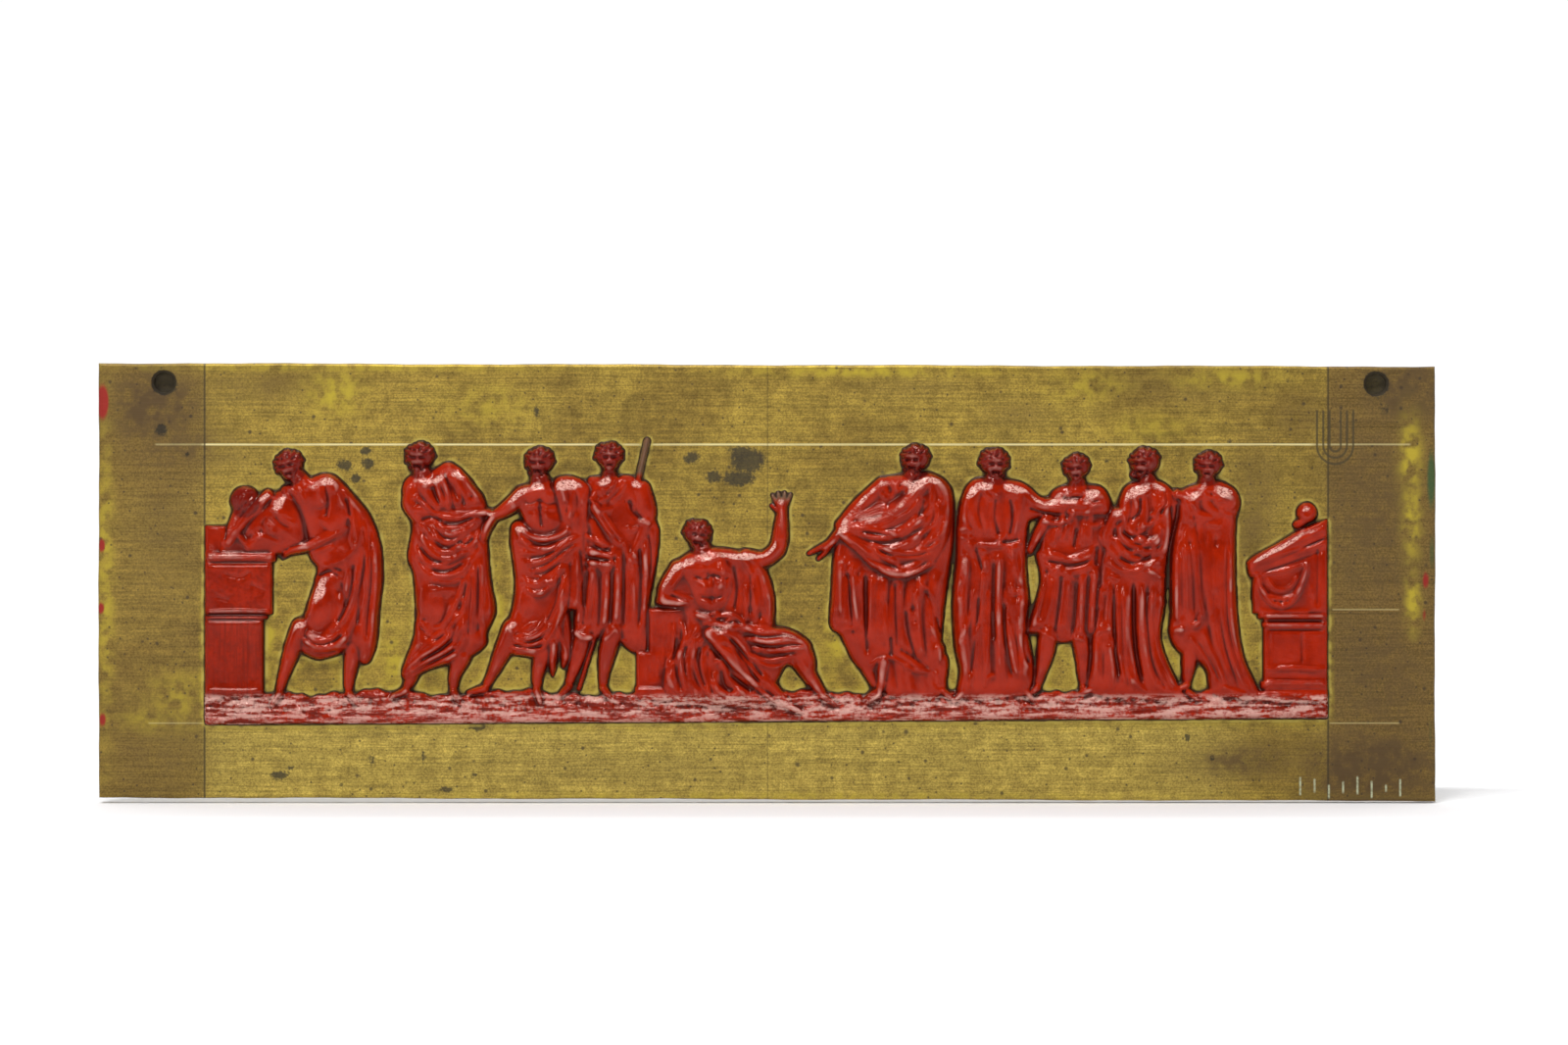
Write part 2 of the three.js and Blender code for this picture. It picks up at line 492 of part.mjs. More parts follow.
// ---- the seated man ----
function seated() {
  block(-18.8, -16.4, -13, -10.2, 0.95, 0.25);
  slab([[-19, -15.2], [-12.5, -15.2], [-12.5, -17.2], [-19, -17.2]], 1.15, 0.25);
  block(-17, -11, -11, -3.9, 0.9, 0.3);
  slab([[-18.8, -10.4], [-17.2, -10.2], [-16.9, -4], [-17.1, -3.9], [-18, -8]], 0.6, 0.25);
  for (let k = 0; k < 7; k += 1) {
    lineCut([[-16.6 + 0.75 * k, -5], [-16.9 + 0.75 * k, -14.6]], 0.12, 0.18);
  }
  limb([[-5.7, -7.5], [-2.4, -12], [1.2, -16.2], [3.6, -18.2]], [2.4, 1.7, 1.1, 0.75], 0.7, 0.75);
  foot(3, -18, -25, 2.2, 0.6);
  cloth([[-14.4, 1], [-12.8, 2.8], [-11, 4.2], [-8.4, 4.8], [-5.4, 4.6], [-2.6, 4], [-0.8, 3], [0.4, 0.6],
    [1.2, -2.8], [1.2, -6.8],
     [3, -7.4], [5.4, -8.5], [6.8, -10.4], [7, -13.2], [6, -15.2], [3.2, -12.2], [1.6, -14.4],
       [0.6, -17.6], [-2.6, -18.4],
     [-7, -18.3], [-12, -18], [-14.6, -16.6], [-15, -13.6], [-13, -9.4], [-12, -5.4], [-13.6, -3.4],
       [-15.9, -3.4], [-15.4, -1]],
     1.35, 2.4, [
    sheaf([[-9.6, -6.4], [-12.4, -10], [-13.8, -13], [-14, -16.6]],
      [[-6.6, -8.4], [-8.8, -12], [-7.6, -15.6], [-3.6, -17.9]], 5, 0.5, 0.55),
    sheaf([[-6, -9.6], [-6, -13], [-3, -16.4], [0, -17.4]], [[-1.6, -9.4], [-1.8, -12], [-0.4, -14.4],
      [1, -16]], 4, 0.42, 0.52),
    sheaf([[-2.8, 3.6], [-2, 0], [-2.4, -4.4]], [[0.2, 1.6], [0.6, -2], [0.9, -6]], 3, 0.35, 0.52),
    sheaf([[-10.2, -4.6], [-6.6, -6.2], [-2.6, -6.6], [1.6, -7.4]], [[-9.6, -6.2], [-6, -8.2], [-2, -8.4],
      [4.6, -9.2]], 3, 0.5, 0.55),
    sheaf([[-0.6, -9.6], [2, -9.6], [4.8, -11.4], [6.4, -14]], [[0.6, -8.2], [3, -8.6], [5.6, -10],
      [6.8, -12.8]], 2, 0.35, 0.5)], 0.2);
  limb([[-1, -7.9], [2.6, -8.6], [4.6, -9.6]], [1.6, 1.8, 1.7], 1.05, 0.6);
  limb([[4.8, -9.8], [5.6, -12.6], [7.2, -15.2], [8.3, -16.6]], [1.7, 1.2, 0.85, 0.6], 0.7, 0.75);
  foot(8, -16.6, -35, 2.2, 0.6);
  cloth([[-13.8, 1.6], [-12, 3.6], [-9.4, 4.6], [-6.8, 4.6], [-5, 2], [-4.8, -1.6], [-6, -4.4],
    [-8.6, -5], [-10.6, -3.4], [-11.8, -0.6]], 1.7, 2.2, [
    crease([[-8.6, 3.4], [-8.4, 0], [-8, -3.6]], 0.22, 0.35),
    crease([[-11.2, 0.9], [-9.8, 0.5], [-8.5, 1], [-7, 0.6], [-5.6, 0.9]], 0.18, 0.35),
    crease([[-10, -2.2], [-8.2, -2.7], [-6, -2.2]], 0.18, 0.35),
    sheaf([[-6.8, 4.2], [-6.2, 1.6], [-6.6, -1.6]], [[-5.4, 4], [-5.2, 1.4], [-5.6, -2.4]], 2, 0.3, 0.5)],
      0.45);
  limb([[-12.6, 1.6], [-14.2, -0.8], [-14.8, -2.6]], [1.5, 1.35, 1.1], 1.0, 0.65);
  limb([[-14.8, -2.7], [-12.8, -3.1], [-10.8, -3.1]], [1.1, 0.85, 0.65], 1.2, 0.65);
  hand(-11, -3.1, -8, 0.62, 6, 1.3, 1);
  limb([[-3, 3.2], [-0.6, 3], [1.4, 4.4], [2, 6.6]], [1.4, 1.25, 1.3, 1.2], 0.7, 0.65);
  limb([[1.9, 6], [2.1, 8.4], [2.2, 10]], [1.25, 1, 0.75], 0.7, 0.7);
  hand(2.2, 9.5, 92, 1.3, 17, 0.5, 1);
  cloth([[-10, -4.2], [-7, -5.2], [-4, -5.8], [-1.6, -6.4], [-2, -7.6], [-5, -7.4], [-8.6, -6.4],
    [-10.6, -5.2]], 0.9, 0.7, [
    sheaf([[-9.8, -4.8], [-6, -5.8], [-2.4, -6.6]], [[-9.6, -5.6], [-6, -6.8], [-2.4, -7.3]], 2, 0.35,
      0.5)], 1.2);
  limb([[-9.4, 4.9], [-9, 3.2]], [1.3, 1.7], 0.8, 0.6);
  head(-9.95, 6.4, 0.25, -8, 0.7, 0.97, 0.5);
}

// ---- the speaker ----
function orator() {
  cloth([[14.4, -10.6], [14.9, -12.6], [16.2, -14.2], [17.2, -16.6], [20.6, -17], [24.6, -17],
    [25.8, -14.6], [25, -10]], 1, 0.9, [
    sheaf([[17, -11], [17.6, -13.4], [18, -16.6]], [[24, -11], [23.6, -14], [24.4, -16.6]], 5, 0.26,
      0.5)], 0.15);
  limb([[14.4, -12.6], [15.4, -14.6], [15.9, -15.8]], [1, 0.8, 0.6], 0.4, 0.8);
  foot(15.8, -15.9, 215, 2.2, 0.5);
  limb([[24, -10], [24.6, -13.6], [25.2, -15.8]], [1.6, 1.1, 0.75], 0.4, 0.8);
  foot(25.3, -15.9, -38, 2.2, 0.5);
  cloth([[10, 6], [9.4, 2], [9.2, -2], [9, -6.4], [10.4, -7.8], [11.2, -9.4], [12.6, -12], [14.8, -13.6],
    [17.4, -12.4], [19.6, -12.8], [21.4, -14.4],
     [24.6, -14.8], [25.8, -14.6], [25.2, -9], [25.4, -5], [26.2, 1], [26.9, 6], [26.9, 11], [26.4, 13.4],
       [25, 14.9], [22.8, 15.6],
     [18.8, 15.2], [16.4, 14.6], [14.8, 11.8], [11.6, 9.8]], 1.35, 2.3, [
    sheaf([[11.6, 1], [11.2, -3], [11.4, -7]], [[24.6, 1.6], [23.6, -5], [24.2, -13]], 8, 0.42, 0.5),
    sheaf([[10.6, 3.6], [10.2, 0], [10, -5.6]], [[12.6, 3], [12, -1], [12, -8]], 2, 0.4, 0.5),
    crease([[18.6, -9.4], [21.6, -11.4], [24.4, -13.6]], 0.35, 0.4)], 0.1);
  oval(17.4, -6.2, 2.3, 4.8, 6, 0.5, 1.25);
  cloth([[9.8, 6.4], [10.2, 7.6], [13.2, 9.4], [16.6, 10.8], [18.8, 11.8], [20.8, 14], [22, 15.2],
    [24.2, 15.2], [26.2, 13.2], [26.6, 9],
     [25.8, 5], [23.6, 1.8], [20.8, 0.2], [18, 0], [15.2, 1.4], [12.4, 4]], 0.95, 1.4, [
    sheaf([[10.8, 5.8], [14.4, 2.4], [18.4, 0.8], [22.8, 2.2]], [[12.4, 8.2], [16.4, 8.8], [20.4, 11.4],
      [22.8, 14.6]], 6, 0.5, 0.55),
    sheaf([[22.4, 3], [25, 6.6], [25.2, 11]], [[20.4, 5], [23.2, 8.6], [23.8, 13]], 3, 0.36, 0.52)], 1.0);
  limb([[16.6, 13.6], [13.2, 10.4], [10.8, 7.8]], [1.3, 1.35, 1.1], 0.6, 0.6);
  limb([[10.8, 7.2], [9.4, 5.6], [8.4, 4.6]], [0.95, 0.75, 0.62], 0.8, 0.7);
  hand(8.9, 5.0, 213, 0.62, 4, 0.6, -1);
  limb([[8.9, 5.4], [7.5, 4.6], [6, 3.85]], [0.5, 0.42, 0.3], 0.7, 0.8);
  limb([[8.9, 4.6], [8.2, 3.8], [7.4, 3.1]], [0.42, 0.36, 0.28], 0.7, 0.8);
  limb([[21, 15.4], [20.4, 13.4]], [1.2, 1.8], 0.7, 0.6);
  cloth([[18.4, 15], [20, 14.4], [21.6, 13.6], [20.4, 12], [18.6, 11.6], [16.8, 12.2], [16.8, 14.2]], 1.2,
    1.6, [], 0.3);
  head(21.2, 17.1, -0.55, 0, 0.8, 1.0, 0.5);
}

// ---- the man beside him, turned away to the group ----
function listener() {
  foot(28.2, -16, 225, 1.9, 0.5);
  foot(37, -15.6, -55, 2, 0.5);
  cloth([[31.2, 14.8], [29.2, 14.2], [27.9, 12], [27.2, 8], [27.1, 3], [26.6, -3], [26.9, -9.4],
    [27.6, -13], [27.3, -16.6], [30, -17.4], [34.4, -17],
     [37.6, -16.4], [38.4, -13], [37.9, -9.4], [37.4, -6.4], [37.7, -2.8], [37.3, 2], [37.5, 7.6],
       [38.6, 8.8], [42, 9.2], [44.6, 9.6],
     [44.8, 11.6], [41.6, 12], [39.4, 12], [37.2, 13.8], [35, 14.5]], 1.4, 2.2, [
    sheaf([[30, 13.4], [29.4, 10], [30.6, 6.4]], [[36.4, 13.2], [36, 9.6], [35.2, 6]], 5, 0.36, 0.5),
    sheaf([[28.2, 4], [27.9, -4], [28.6, -16]], [[36.6, 4], [36.4, -5], [37, -16]], 6, 0.42, 0.5),
    sheaf([[36.4, 12.6], [39.4, 10.4], [43.6, 9.9]], [[37, 13], [40, 11.6], [43.8, 11.4]], 3, 0.36, 0.5),
    sheaf([[33, -3], [34.6, -9], [37.4, -14.6]], [[35.4, -2], [36.4, -7], [38, -11.6]], 2, 0.3, 0.5)],
      0.15);
  oval(34.6, -2.6, 1.7, 3.4, -6, 0.7, 1.15);
  limb([[28.6, 5.6], [32, 4.8], [36.4, 5.4]], [0.5, 0.55, 0.5], 1.3, 0.9);
  limb([[29.4, 12.2], [28.7, 8.6], [29, 5.4]], [1.3, 1.2, 1], 0.8, 0.65);
  limb([[29, 5.2], [30.4, 2.8], [31.2, 1]], [0.95, 0.75, 0.6], 1.15, 0.7);
  hand(30.9, 1.6, -75, 0.62, 6, 1.2, 1);
  limb([[32.6, 14.8], [32.6, 13.2]], [1.3, 1.8], 0.7, 0.6);
  head(32.7, 16.5, 0.2, 0, 1, 1.03, 0.5);
}

// ---- the youth in the short tunic ----
function youth() {
  limb([[40.4, -7.4], [40, -10.4], [39.3, -13.4], [38.8, -15.2]], [1.5, 1.3, 0.8, 0.6], 0.25, 0.8);
  foot(38.8, -15.4, 220, 1.7, 0.4);
  limb([[44.8, -7.4], [45.3, -10.4], [45.4, -13.6], [45.6, -15.4]], [1.4, 1.2, 0.8, 0.6], 0.25, 0.8);
  foot(45.4, -15.4, -95, 1.6, 0.4);
  cloth([[42.8, 13.7], [40.8, 12.6], [39.6, 9.6], [39.2, 5], [38.6, 3.6], [39.2, -0.4], [37.6, -5.6],
    [37, -7.4], [39.6, -8], [42.2, -9],
     [44.6, -8.6], [47.6, -8.4], [48.4, -3], [49.2, 4], [49.8, 9.6], [48.6, 13], [46.4, 13.8]], 1.0, 1.8,
       [
    sheaf([[41.6, 12.6], [42.6, 10], [41.6, 6]], [[47.8, 12.6], [46.4, 9], [46, 5]], 5, 0.34, 0.5),
    sheaf([[40.2, 1.6], [39.4, -3], [38.6, -7.4]], [[47, 2], [46.6, -3], [46.4, -8]], 5, 0.4, 0.5),
    sheaf([[39.4, 4], [43, 2.8], [47.4, 4.2]], [[39.6, 2.4], [43, 1.2], [47.4, 2.6]], 2, 0.4, 0.5)], 0.0);
  limb([[40.4, 9.4], [39, 6.8], [37.8, 4.4]], [0.95, 0.8, 0.6], 0.6, 0.7);
  hand(38.2, 5, 240, 0.6, 6, 0.6, -1);
  cloth([[44.4, 12.4], [47, 13.2], [48.8, 12], [49.2, 9.6], [47, 9.2], [43.6, 9], [42.4, 10.4]], 0.7, 1.2,
    [
    sheaf([[43, 10], [46, 9.8], [48.8, 10]], [[44.4, 11.8], [46.6, 12], [48.4, 11.8]], 3, 0.36, 0.5)],
      0.75);
  limb([[44.6, 14], [44.6, 12.8]], [1.2, 1.5], 0.5, 0.6);
  head(44.4, 15.9, -0.35, 6, 0, 0.92, 0.35);
}

// ---- the old man in profile ----
function elder() {
  foot(46.6, -15.6, 200, 1.7, 0.5);
  foot(60.4, -16, -35, 1.9, 0.5);
  cloth([[52, 13.9], [50.7, 12.2], [49.9, 9.4], [48.5, 7.8], [48.2, 4.8], [47.6, 1.6], [47.2, -4],
    [46.5, -8], [46.3, -12], [46, -16], [50, -17],
     [55, -17.4], [60.6, -17.4], [59.4, -15.4], [57.2, -10.6], [56.6, -7.4], [57.2, -3.4], [57.4, 2],
       [58.6, 8], [59, 11.4], [57.6, 13.6], [55.4, 14.5]],
     1.5, 2.4, [
    sheaf([[51.4, 12.8], [51.2, 9.6], [49.8, 7]], [[56.6, 13.4], [57.4, 8.4], [57.2, 3]], 5, 0.44, 0.52),
    sheaf([[48.4, 6.2], [51, 2.6], [54.2, 1], [57, 1.6]], [[50.6, 9], [52.4, 6.6], [54.6, 5.4], [57, 6]],
      4, 0.42, 0.52),
    sheaf([[48, 0], [47.4, -6], [47, -15.6]], [[56.4, -2], [56.4, -9], [59.6, -16.6]], 7, 0.42, 0.5),
    crease([[52.6, 0.6], [52.6, -5], [52.9, -10.4], [53.8, -15]], 0.5, 0.4)], 0.2);
  oval(48.9, -8.6, 1.7, 4.6, 2, 0.8, 1.2);
  limb([[48.6, 2.6], [51.4, 1], [54.6, 0.2], [57, 0.6]], [0.5, 0.6, 0.6, 0.4], 1.35, 0.8);
  limb([[50.2, 9.4], [49, 6.4], [49.4, 3.8]], [1.2, 1.1, 0.9], 1.0, 0.6);
  limb([[54.6, 14.4], [54.8, 13]], [1.3, 1.8], 0.7, 0.6);
  head(54, 16.6, -0.85, 0, 1, 1.03, 0.5);
}

// ---- the last one, in a long cloak ----
function cloaked() {
  limb([[60.8, -8.4], [60.6, -12], [60.2, -14.6]], [1.3, 1.1, 0.7], 0.25, 0.8);
  foot(60.3, -15, 205, 1.9, 0.4);
  cloth([[62, 14], [60, 13.3], [58.7, 12.2], [58.8, 9], [58, 5], [57.8, 0], [58, -4], [57.7, -7.6],
    [59, -10.2], [61.4, -11.4], [63, -13],
     [63.8, -16.4], [67, -17.2], [71.2, -17.4], [70.2, -14.8], [68.6, -11.2], [67.8, -7], [67.4, -1.6],
       [67.3, 4], [67.4, 8.6], [68, 11], [67.4, 12.9],
     [65.8, 14], [64, 14.4]], 1.35, 2.2, [
    sheaf([[60, 12.4], [60.2, 9], [63.4, 8.6]], [[64.6, 13.6], [64.6, 11.6], [65.8, 9.8]], 4, 0.34, 0.5),
    sheaf([[59.4, 6], [59, 0], [59.8, -8]], [[62.6, 6], [62.6, 0], [62.2, -6.6]], 3, 0.42, 0.5),
    sheaf([[63.8, 6], [63.6, -2], [64.2, -9], [66, -16.4]], [[66.6, 6.4], [66.4, -1], [67, -9],
      [70, -16.4]], 4, 0.42, 0.5)], 0.1);
  cloth([[58.3, 4], [60, 8.6], [62.6, 9.6], [63, 4], [62.6, -2], [62.2, -5.6], [60.4, -7.4], [58.2, -5.6],
    [57.9, -1]], 0.6, 1.0, [
    sheaf([[59.2, 4.6], [59, -1], [59.4, -5.6]], [[61.8, 7], [61.8, 0], [61.4, -5.6]], 3, 0.36, 0.5)],
      0.95);
  oval(66, 11.2, 1.7, 1.7, 0, 0.7, 1.15);
  dent(66, 11.4, 0.9, 0.25, 0.3, 25);
  limb([[58.9, 12.4], [61.4, 11.2], [64.4, 11]], [0.8, 0.9, 0.9], 0.9, 0.7);
  limb([[63.2, 14.4], [63.2, 13]], [1.2, 1.6], 0.6, 0.6);
  head(63.3, 16.2, -0.3, 0, 0, 0.95, 0.4);
}

// ---- lectern at the right ----
function lectern() {
  slab([[68.8, 2.7], [70, 3.7], [73.1, 5.3], [76, 7.1], [78.9, 8.3], [80.5, 8.9], [80.5, 6.2], [69, 0.9]],
    1.35, 0.35);
  slab([[69, 1.6], [80.5, 6.2], [80.5, 4.4], [69.3, 0.3]], 1.1, 0.3);
  slab([[69.7, 0.6], [80.5, 4.6], [80.5, -4.8], [69.7, -4.8]], 1.05, 0.25);
  ridge([[69.2, 2.6], [74, 4.6], [80.3, 7.6]], 0.3, 0.35);
  ridge([[69.2, 1.3], [75, 3.4], [80.3, 5.2]], 0.3, 0.3);
  oval(77.5, 9.7, 1.5, 1.5, 0, 0.4, 1.0);
  limb([[76.2, 8], [77.3, 8.6]], [0.7, 0.6], 0.4, 0.9);
  dent(77.5, 9.7, 0.5, 0.5, 0.3);
  limb([[70.4, 0.2], [71.6, -2.5], [73.8, -3.6], [76, -2.2], [77.2, 1.4]], [0.35, 0.6, 0.75, 0.6, 0.35],
    1.0, 0.7);
  for (let k = 0; k < 7; k += 1) {
    dent(70.9 + 0.95 * k, 0.1 - 3.4 * Math.sin(Math.PI * (k + 0.5) / 7), 0.2, 0.45, 0.25, 40 - 13 * k);
  }
  limb([[70, 0.4], [69.9, -2.6]], [0.3, 0.35], 1.0, 0.6);
  limb([[78, 1.8], [78.2, -2.2]], [0.3, 0.4], 1.0, 0.6);
  block(70.4, -5.5, 80.5, -4.7, 1.45, 0.35);
  block(71, -6.7, 80.5, -6.0, 1.3, 0.3);
  block(71.2, -16.8, 80.5, -5.2, 0.95, 0.25);
  block(71.2, -13.1, 80.5, -12.3, 1.2, 0.3);
  block(70.8, -15.6, 80.5, -14.4, 1.3, 0.3);
  block(70.4, -17.4, 80.5, -15.8, 1.2, 0.3);
  lineCut([[76.7, -7.2], [76.7, -12]], 0.2, 0.22);
  lineCut([[72.2, -7.2], [72.2, -12]], 0.16, 0.22);
}

// ---- the rough ground strip, with a plain ribbed band below it ----
function ground() {
  const corners = [[FIELD_LEFT, GROUND_LOW], [FIELD_RIGHT, GROUND_TOP + 1]];
  raise(corners, 0.6, (x, z) => {
    const low = GROUND_LOW + (GROUND_RISE * (x - FIELD_LEFT)) / (FIELD_RIGHT - FIELD_LEFT);
    const top = GROUND_TOP + 0.35 * Math.sin(0.31 * x) + 0.2 * Math.sin(1.1 * x + 1);
    const inside = Math.min(z - low, top - z, x - FIELD_LEFT, FIELD_RIGHT - x);
    const lumps = 0.18 * Math.sin(1.1 * x + 1.7 * z) * Math.sin(0.8 * x - 1.9 * z + 1);
    const height = z - low > 1.7 ? GROUND_HEIGHT + lumps : GROUND_HEIGHT;
    return Math.max(OUTSIDE, Math.min(height, WALL * inside));
  });
}

function soften() {
  const reachCells = Math.ceil((3 * SOFTNESS) / CELL);
  const weights = [];
  for (let k = -reachCells; k <= reachCells; k += 1) {
    weights.push(Math.exp(-0.5 * ((k * CELL) / SOFTNESS) ** 2));
  }
  const total = weights.reduce((sum, weight) => sum + weight, 0);
  for (const step of [1, GRID]) {
    const before = relief.slice();
    for (let row = reachCells; row <= ROWS - reachCells; row += 1) {
      for (let column = reachCells; column < GRID - reachCells; column += 1) {
        const place = row * GRID + column;
        let sum = 0;
        weights.forEach((weight, k) => {
          sum += weight * before[place + (k - reachCells) * step];
        });
        relief[place] = sum / total;
      }
    }
  }
}

// ---- the adaptive mesh: the sample that lies furthest off the sheet joins it, again and
// again, and each new point's triangles are kept well shaped by Delaunay's rule ----
function turn(ax, ay, bx, by, cx, cy) {
  return (bx - cx) * (ay - cy) - (by - cy) * (ax - cx);
}

function insideCircle(a, b, c, p) {
  const [dx, dy] = [a[0] - p[0], a[1] - p[1]];
  const [ex, ey] = [b[0] - p[0], b[1] - p[1]];
  const [fx, fy] = [c[0] - p[0], c[1] - p[1]];
  const d = dx * dx + dy * dy;
  const e = ex * ex + ey * ey;
  const f = fx * fx + fy * fy;
  return dx * (ey * f - e * fy) - dy * (ex * f - e * fx) + d * (ex * fy - ey * fx) < 0;
}

class Sheet {
  constructor() {
    this.points = [[0, 0], [COLUMNS, 0], [0, ROWS], [COLUMNS, ROWS]];
    this.corners = [];
    this.twins = [];
    this.worst = [];
    this.waiting = new Set();
    const first = this.place(3, 0, 2, -1, -1, -1);
    this.place(0, 3, 1, first, -1, -1);
    this.measureWaiting();
  }

  place(a, b, c, ab, bc, ca, at = this.corners.length) {
    [a, b, c].forEach((corner, k) => {
      this.corners[at + k] = corner;
    });
    [ab, bc, ca].forEach((twin, k) => {
      this.twins[at + k] = twin;
      if (twin >= 0) {
        this.twins[twin] = at + k;
      }
    });
    this.waiting.add(at / 3);
    return at;
  }

  measureWaiting() {
    this.waiting.forEach((face) => {
      this.worst[face] = this.measure(face);
    });
    this.waiting.clear();
  }

  measure(face) {
    const [[ax, ay], [bx, by], [cx, cy]] = [0, 1, 2].map((k) => this.points[this.corners[face * 3 + k]]);
    const area = turn(ax, ay, bx, by, cx, cy);
    const [ha, hb, hc] = [[ax, ay], [bx, by], [cx, cy]].map(([x, y]) => relief[y * GRID + x]);
    const found = { error: 0, x: ax, y: ay };
    const endX = Math.max(ax, bx, cx);
    const endY = Math.max(ay, by, cy);
    for (let y = Math.min(ay, by, cy); y <= endY; y += 1) {
      for (let x = Math.min(ax, bx, cx); x <= endX; x += 1) {
        const wa = turn(bx, by, cx, cy, x, y) / area;
        const wb = turn(cx, cy, ax, ay, x, y) / area;
        const wc = 1 - wa - wb;
        if (wa >= 0 && wb >= 0 && wc >= -1e-9) {
          const real = relief[y * GRID + x];
          const flat = wa * ha + wb * hb + wc * hc;
          const unseen = real < -0.2 && flat < 0;
          const stray = real < -0.7 && flat > -0.02;
          const off = Math.abs(flat - real) * (real < WALL_BAND ? WALL_WEIGHT : 1);
          const error = unseen ? 0 : off + (stray ? 1 : 0);
          if (error > found.error + 1e-6) {
            Object.assign(found, { error, x, y });
          }
        }
      }
    }
    return found;
  }

  refine() {
    let face = 0;
    this.worst.forEach((found, k) => {
      face = found.error > this.worst[face].error ? k : face;
    });
    const { x, y } = this.worst[face];
    const added = this.points.push([x, y]) - 1;
    const sides = [0, 1, 2].map((k) => face * 3 + k);
    const ends = sides.map((side) => this.corners[side]);
    const flatSide = sides.find((side, k) => {
      const [from, to] = [this.points[ends[k]], this.points[ends[(k + 1) % 3]]];
      return turn(...from, ...to, x, y) === 0;
    });
    if (flatSide === undefined) {
      const twins = sides.map((side) => this.twins[side]);
      const t0 = this.place(ends[0], ends[1], added, twins[0], -1, -1, face * 3);
      const t1 = this.place(ends[1], ends[2], added, twins[1], -1, t0 + 1);
      const t2 = this.place(ends[2], ends[0], added, twins[2], t0 + 2, t1 + 1);
      [t0, t1, t2].forEach((side) => this.settle(side));
    } else {
      this.splitSide(added, flatSide);
    }
    this.measureWaiting();
  }

  around(side) {
    const start = side - (side % 3);
    return [start, start + ((side + 1) % 3), start + ((side + 2) % 3)];
  }

  settle(side) {
    const twin = this.twins[side];
    if (twin < 0) {
      return;
    }
    const [a0, al, ar] = this.around(side);
    const [b0, br, bl] = this.around(twin);
    const [p0, pr, pl, p1] = [ar, side, al, bl].map((k) => this.corners[k]);
    if (!insideCircle(...[p0, pr, pl, p1].map((k) => this.points[k]))) {
      return;
    }
    const [hal, har, hbl, hbr] = [al, ar, bl, br].map((k) => this.twins[k]);
    const t0 = this.place(p0, p1, pl, -1, hbl, hal, a0);
    const t1 = this.place(p1, p0, pr, t0, har, hbr, b0);
    this.settle(t0 + 1);
    this.settle(t1 + 2);
  }

  splitSide(added, side) {
    const twin = this.twins[side];
    const [a0, al, ar] = this.around(side);
    const [p0, pr, pl] = [ar, side, al].map((k) => this.corners[k]);
    const [hal, har] = [al, ar].map((k) => this.twins[k]);
    if (twin < 0) {
      const t0 = this.place(added, p0, pr, -1, har, -1, a0);
      const t1 = this.place(p0, added, pl, t0, -1, hal);
      this.settle(t0 + 1);
      this.settle(t1 + 2);
      return;
    }
    const [b0, br, bl] = this.around(twin);
    const p1 = this.corners[bl];
    const [hbl, hbr] = [bl, br].map((k) => this.twins[k]);
    const t0 = this.place(p0, pr, added, har, -1, -1, a0);
    const t1 = this.place(pr, p1, added, hbr, -1, t0 + 1, b0);
    const t2 = this.place(p1, pl, added, hbl, -1, t1 + 1);
    const t3 = this.place(pl, p0, added, hal, t0 + 2, t2 + 1);
    [t0, t1, t2, t3].forEach((k) => this.settle(k));
  }
}

function layMesh() {
  const sheet = new Sheet();
  while (sheet.worst.length < FACE_LIMIT) {
    sheet.refine();
  }
  const points = sheet.points.flatMap(([column, row]) => {
    return [X_LOW + column * CELL, -PLATE_THICKNESS - relief[row * GRID + column], Z_LOW + row * CELL];
  });
  const faces = sheet.worst.map((_, k) => [0, 2, 1].map((i) => sheet.corners[k * 3 + i]));
  return { points, faces };
}

// Walls and a floor behind the plate's face close the sheet, and the plate's face
// then cuts it off.
function closeSheet({ points, faces }) {
  const edges = new Map();
  for (const face of faces) {
    face.forEach((from, k) => edges.set(`${from},${face[(k + 1) % 3]}`, [from, face[(k + 1) % 3]]));
  }
  const rim = [...edges.values()].filter(([from, to]) => !edges.has(`${to},${from}`));
  const behind = -PLATE_THICKNESS + 2;
  const below = new Map();
  const under = (index) => {
    if (!below.has(index)) {
      below.set(index, points.length / 3);
      points.push(points[index * 3], behind, points[index * 3 + 2]);
    }
    return below.get(index);
  };
  const centre = points.length / 3;
  points.push(X_LOW + (COLUMNS * CELL) / 2, behind, Z_LOW + (ROWS * CELL) / 2);
  for (const [from, to] of rim) {
    faces.push([to, from, under(from)], [to, under(from), under(to)]);
    faces.push([centre, under(to), under(from)]);
  }
  return { points, faces };
}

function indexed(geometry) {
  geometry.deleteAttribute("normal");
  geometry.deleteAttribute("uv");
  return mergeVertices(geometry);
}

const wasm = await Module();
wasm.setup();

function solid(vertProperties, triVerts) {
  return new wasm.Manifold(new wasm.Mesh({ numProp: 3, vertProperties, triVerts }));
}

function toGeometry(body) {
  const mesh = body.getMesh();
  const geometry = new THREE.BufferGeometry();
  geometry.setAttribute("position", new THREE.BufferAttribute(Float32Array.from(mesh.vertProperties), 3));
  geometry.setIndex([...mesh.triVerts]);
  geometry.computeVertexNormals();
  return geometry;
}

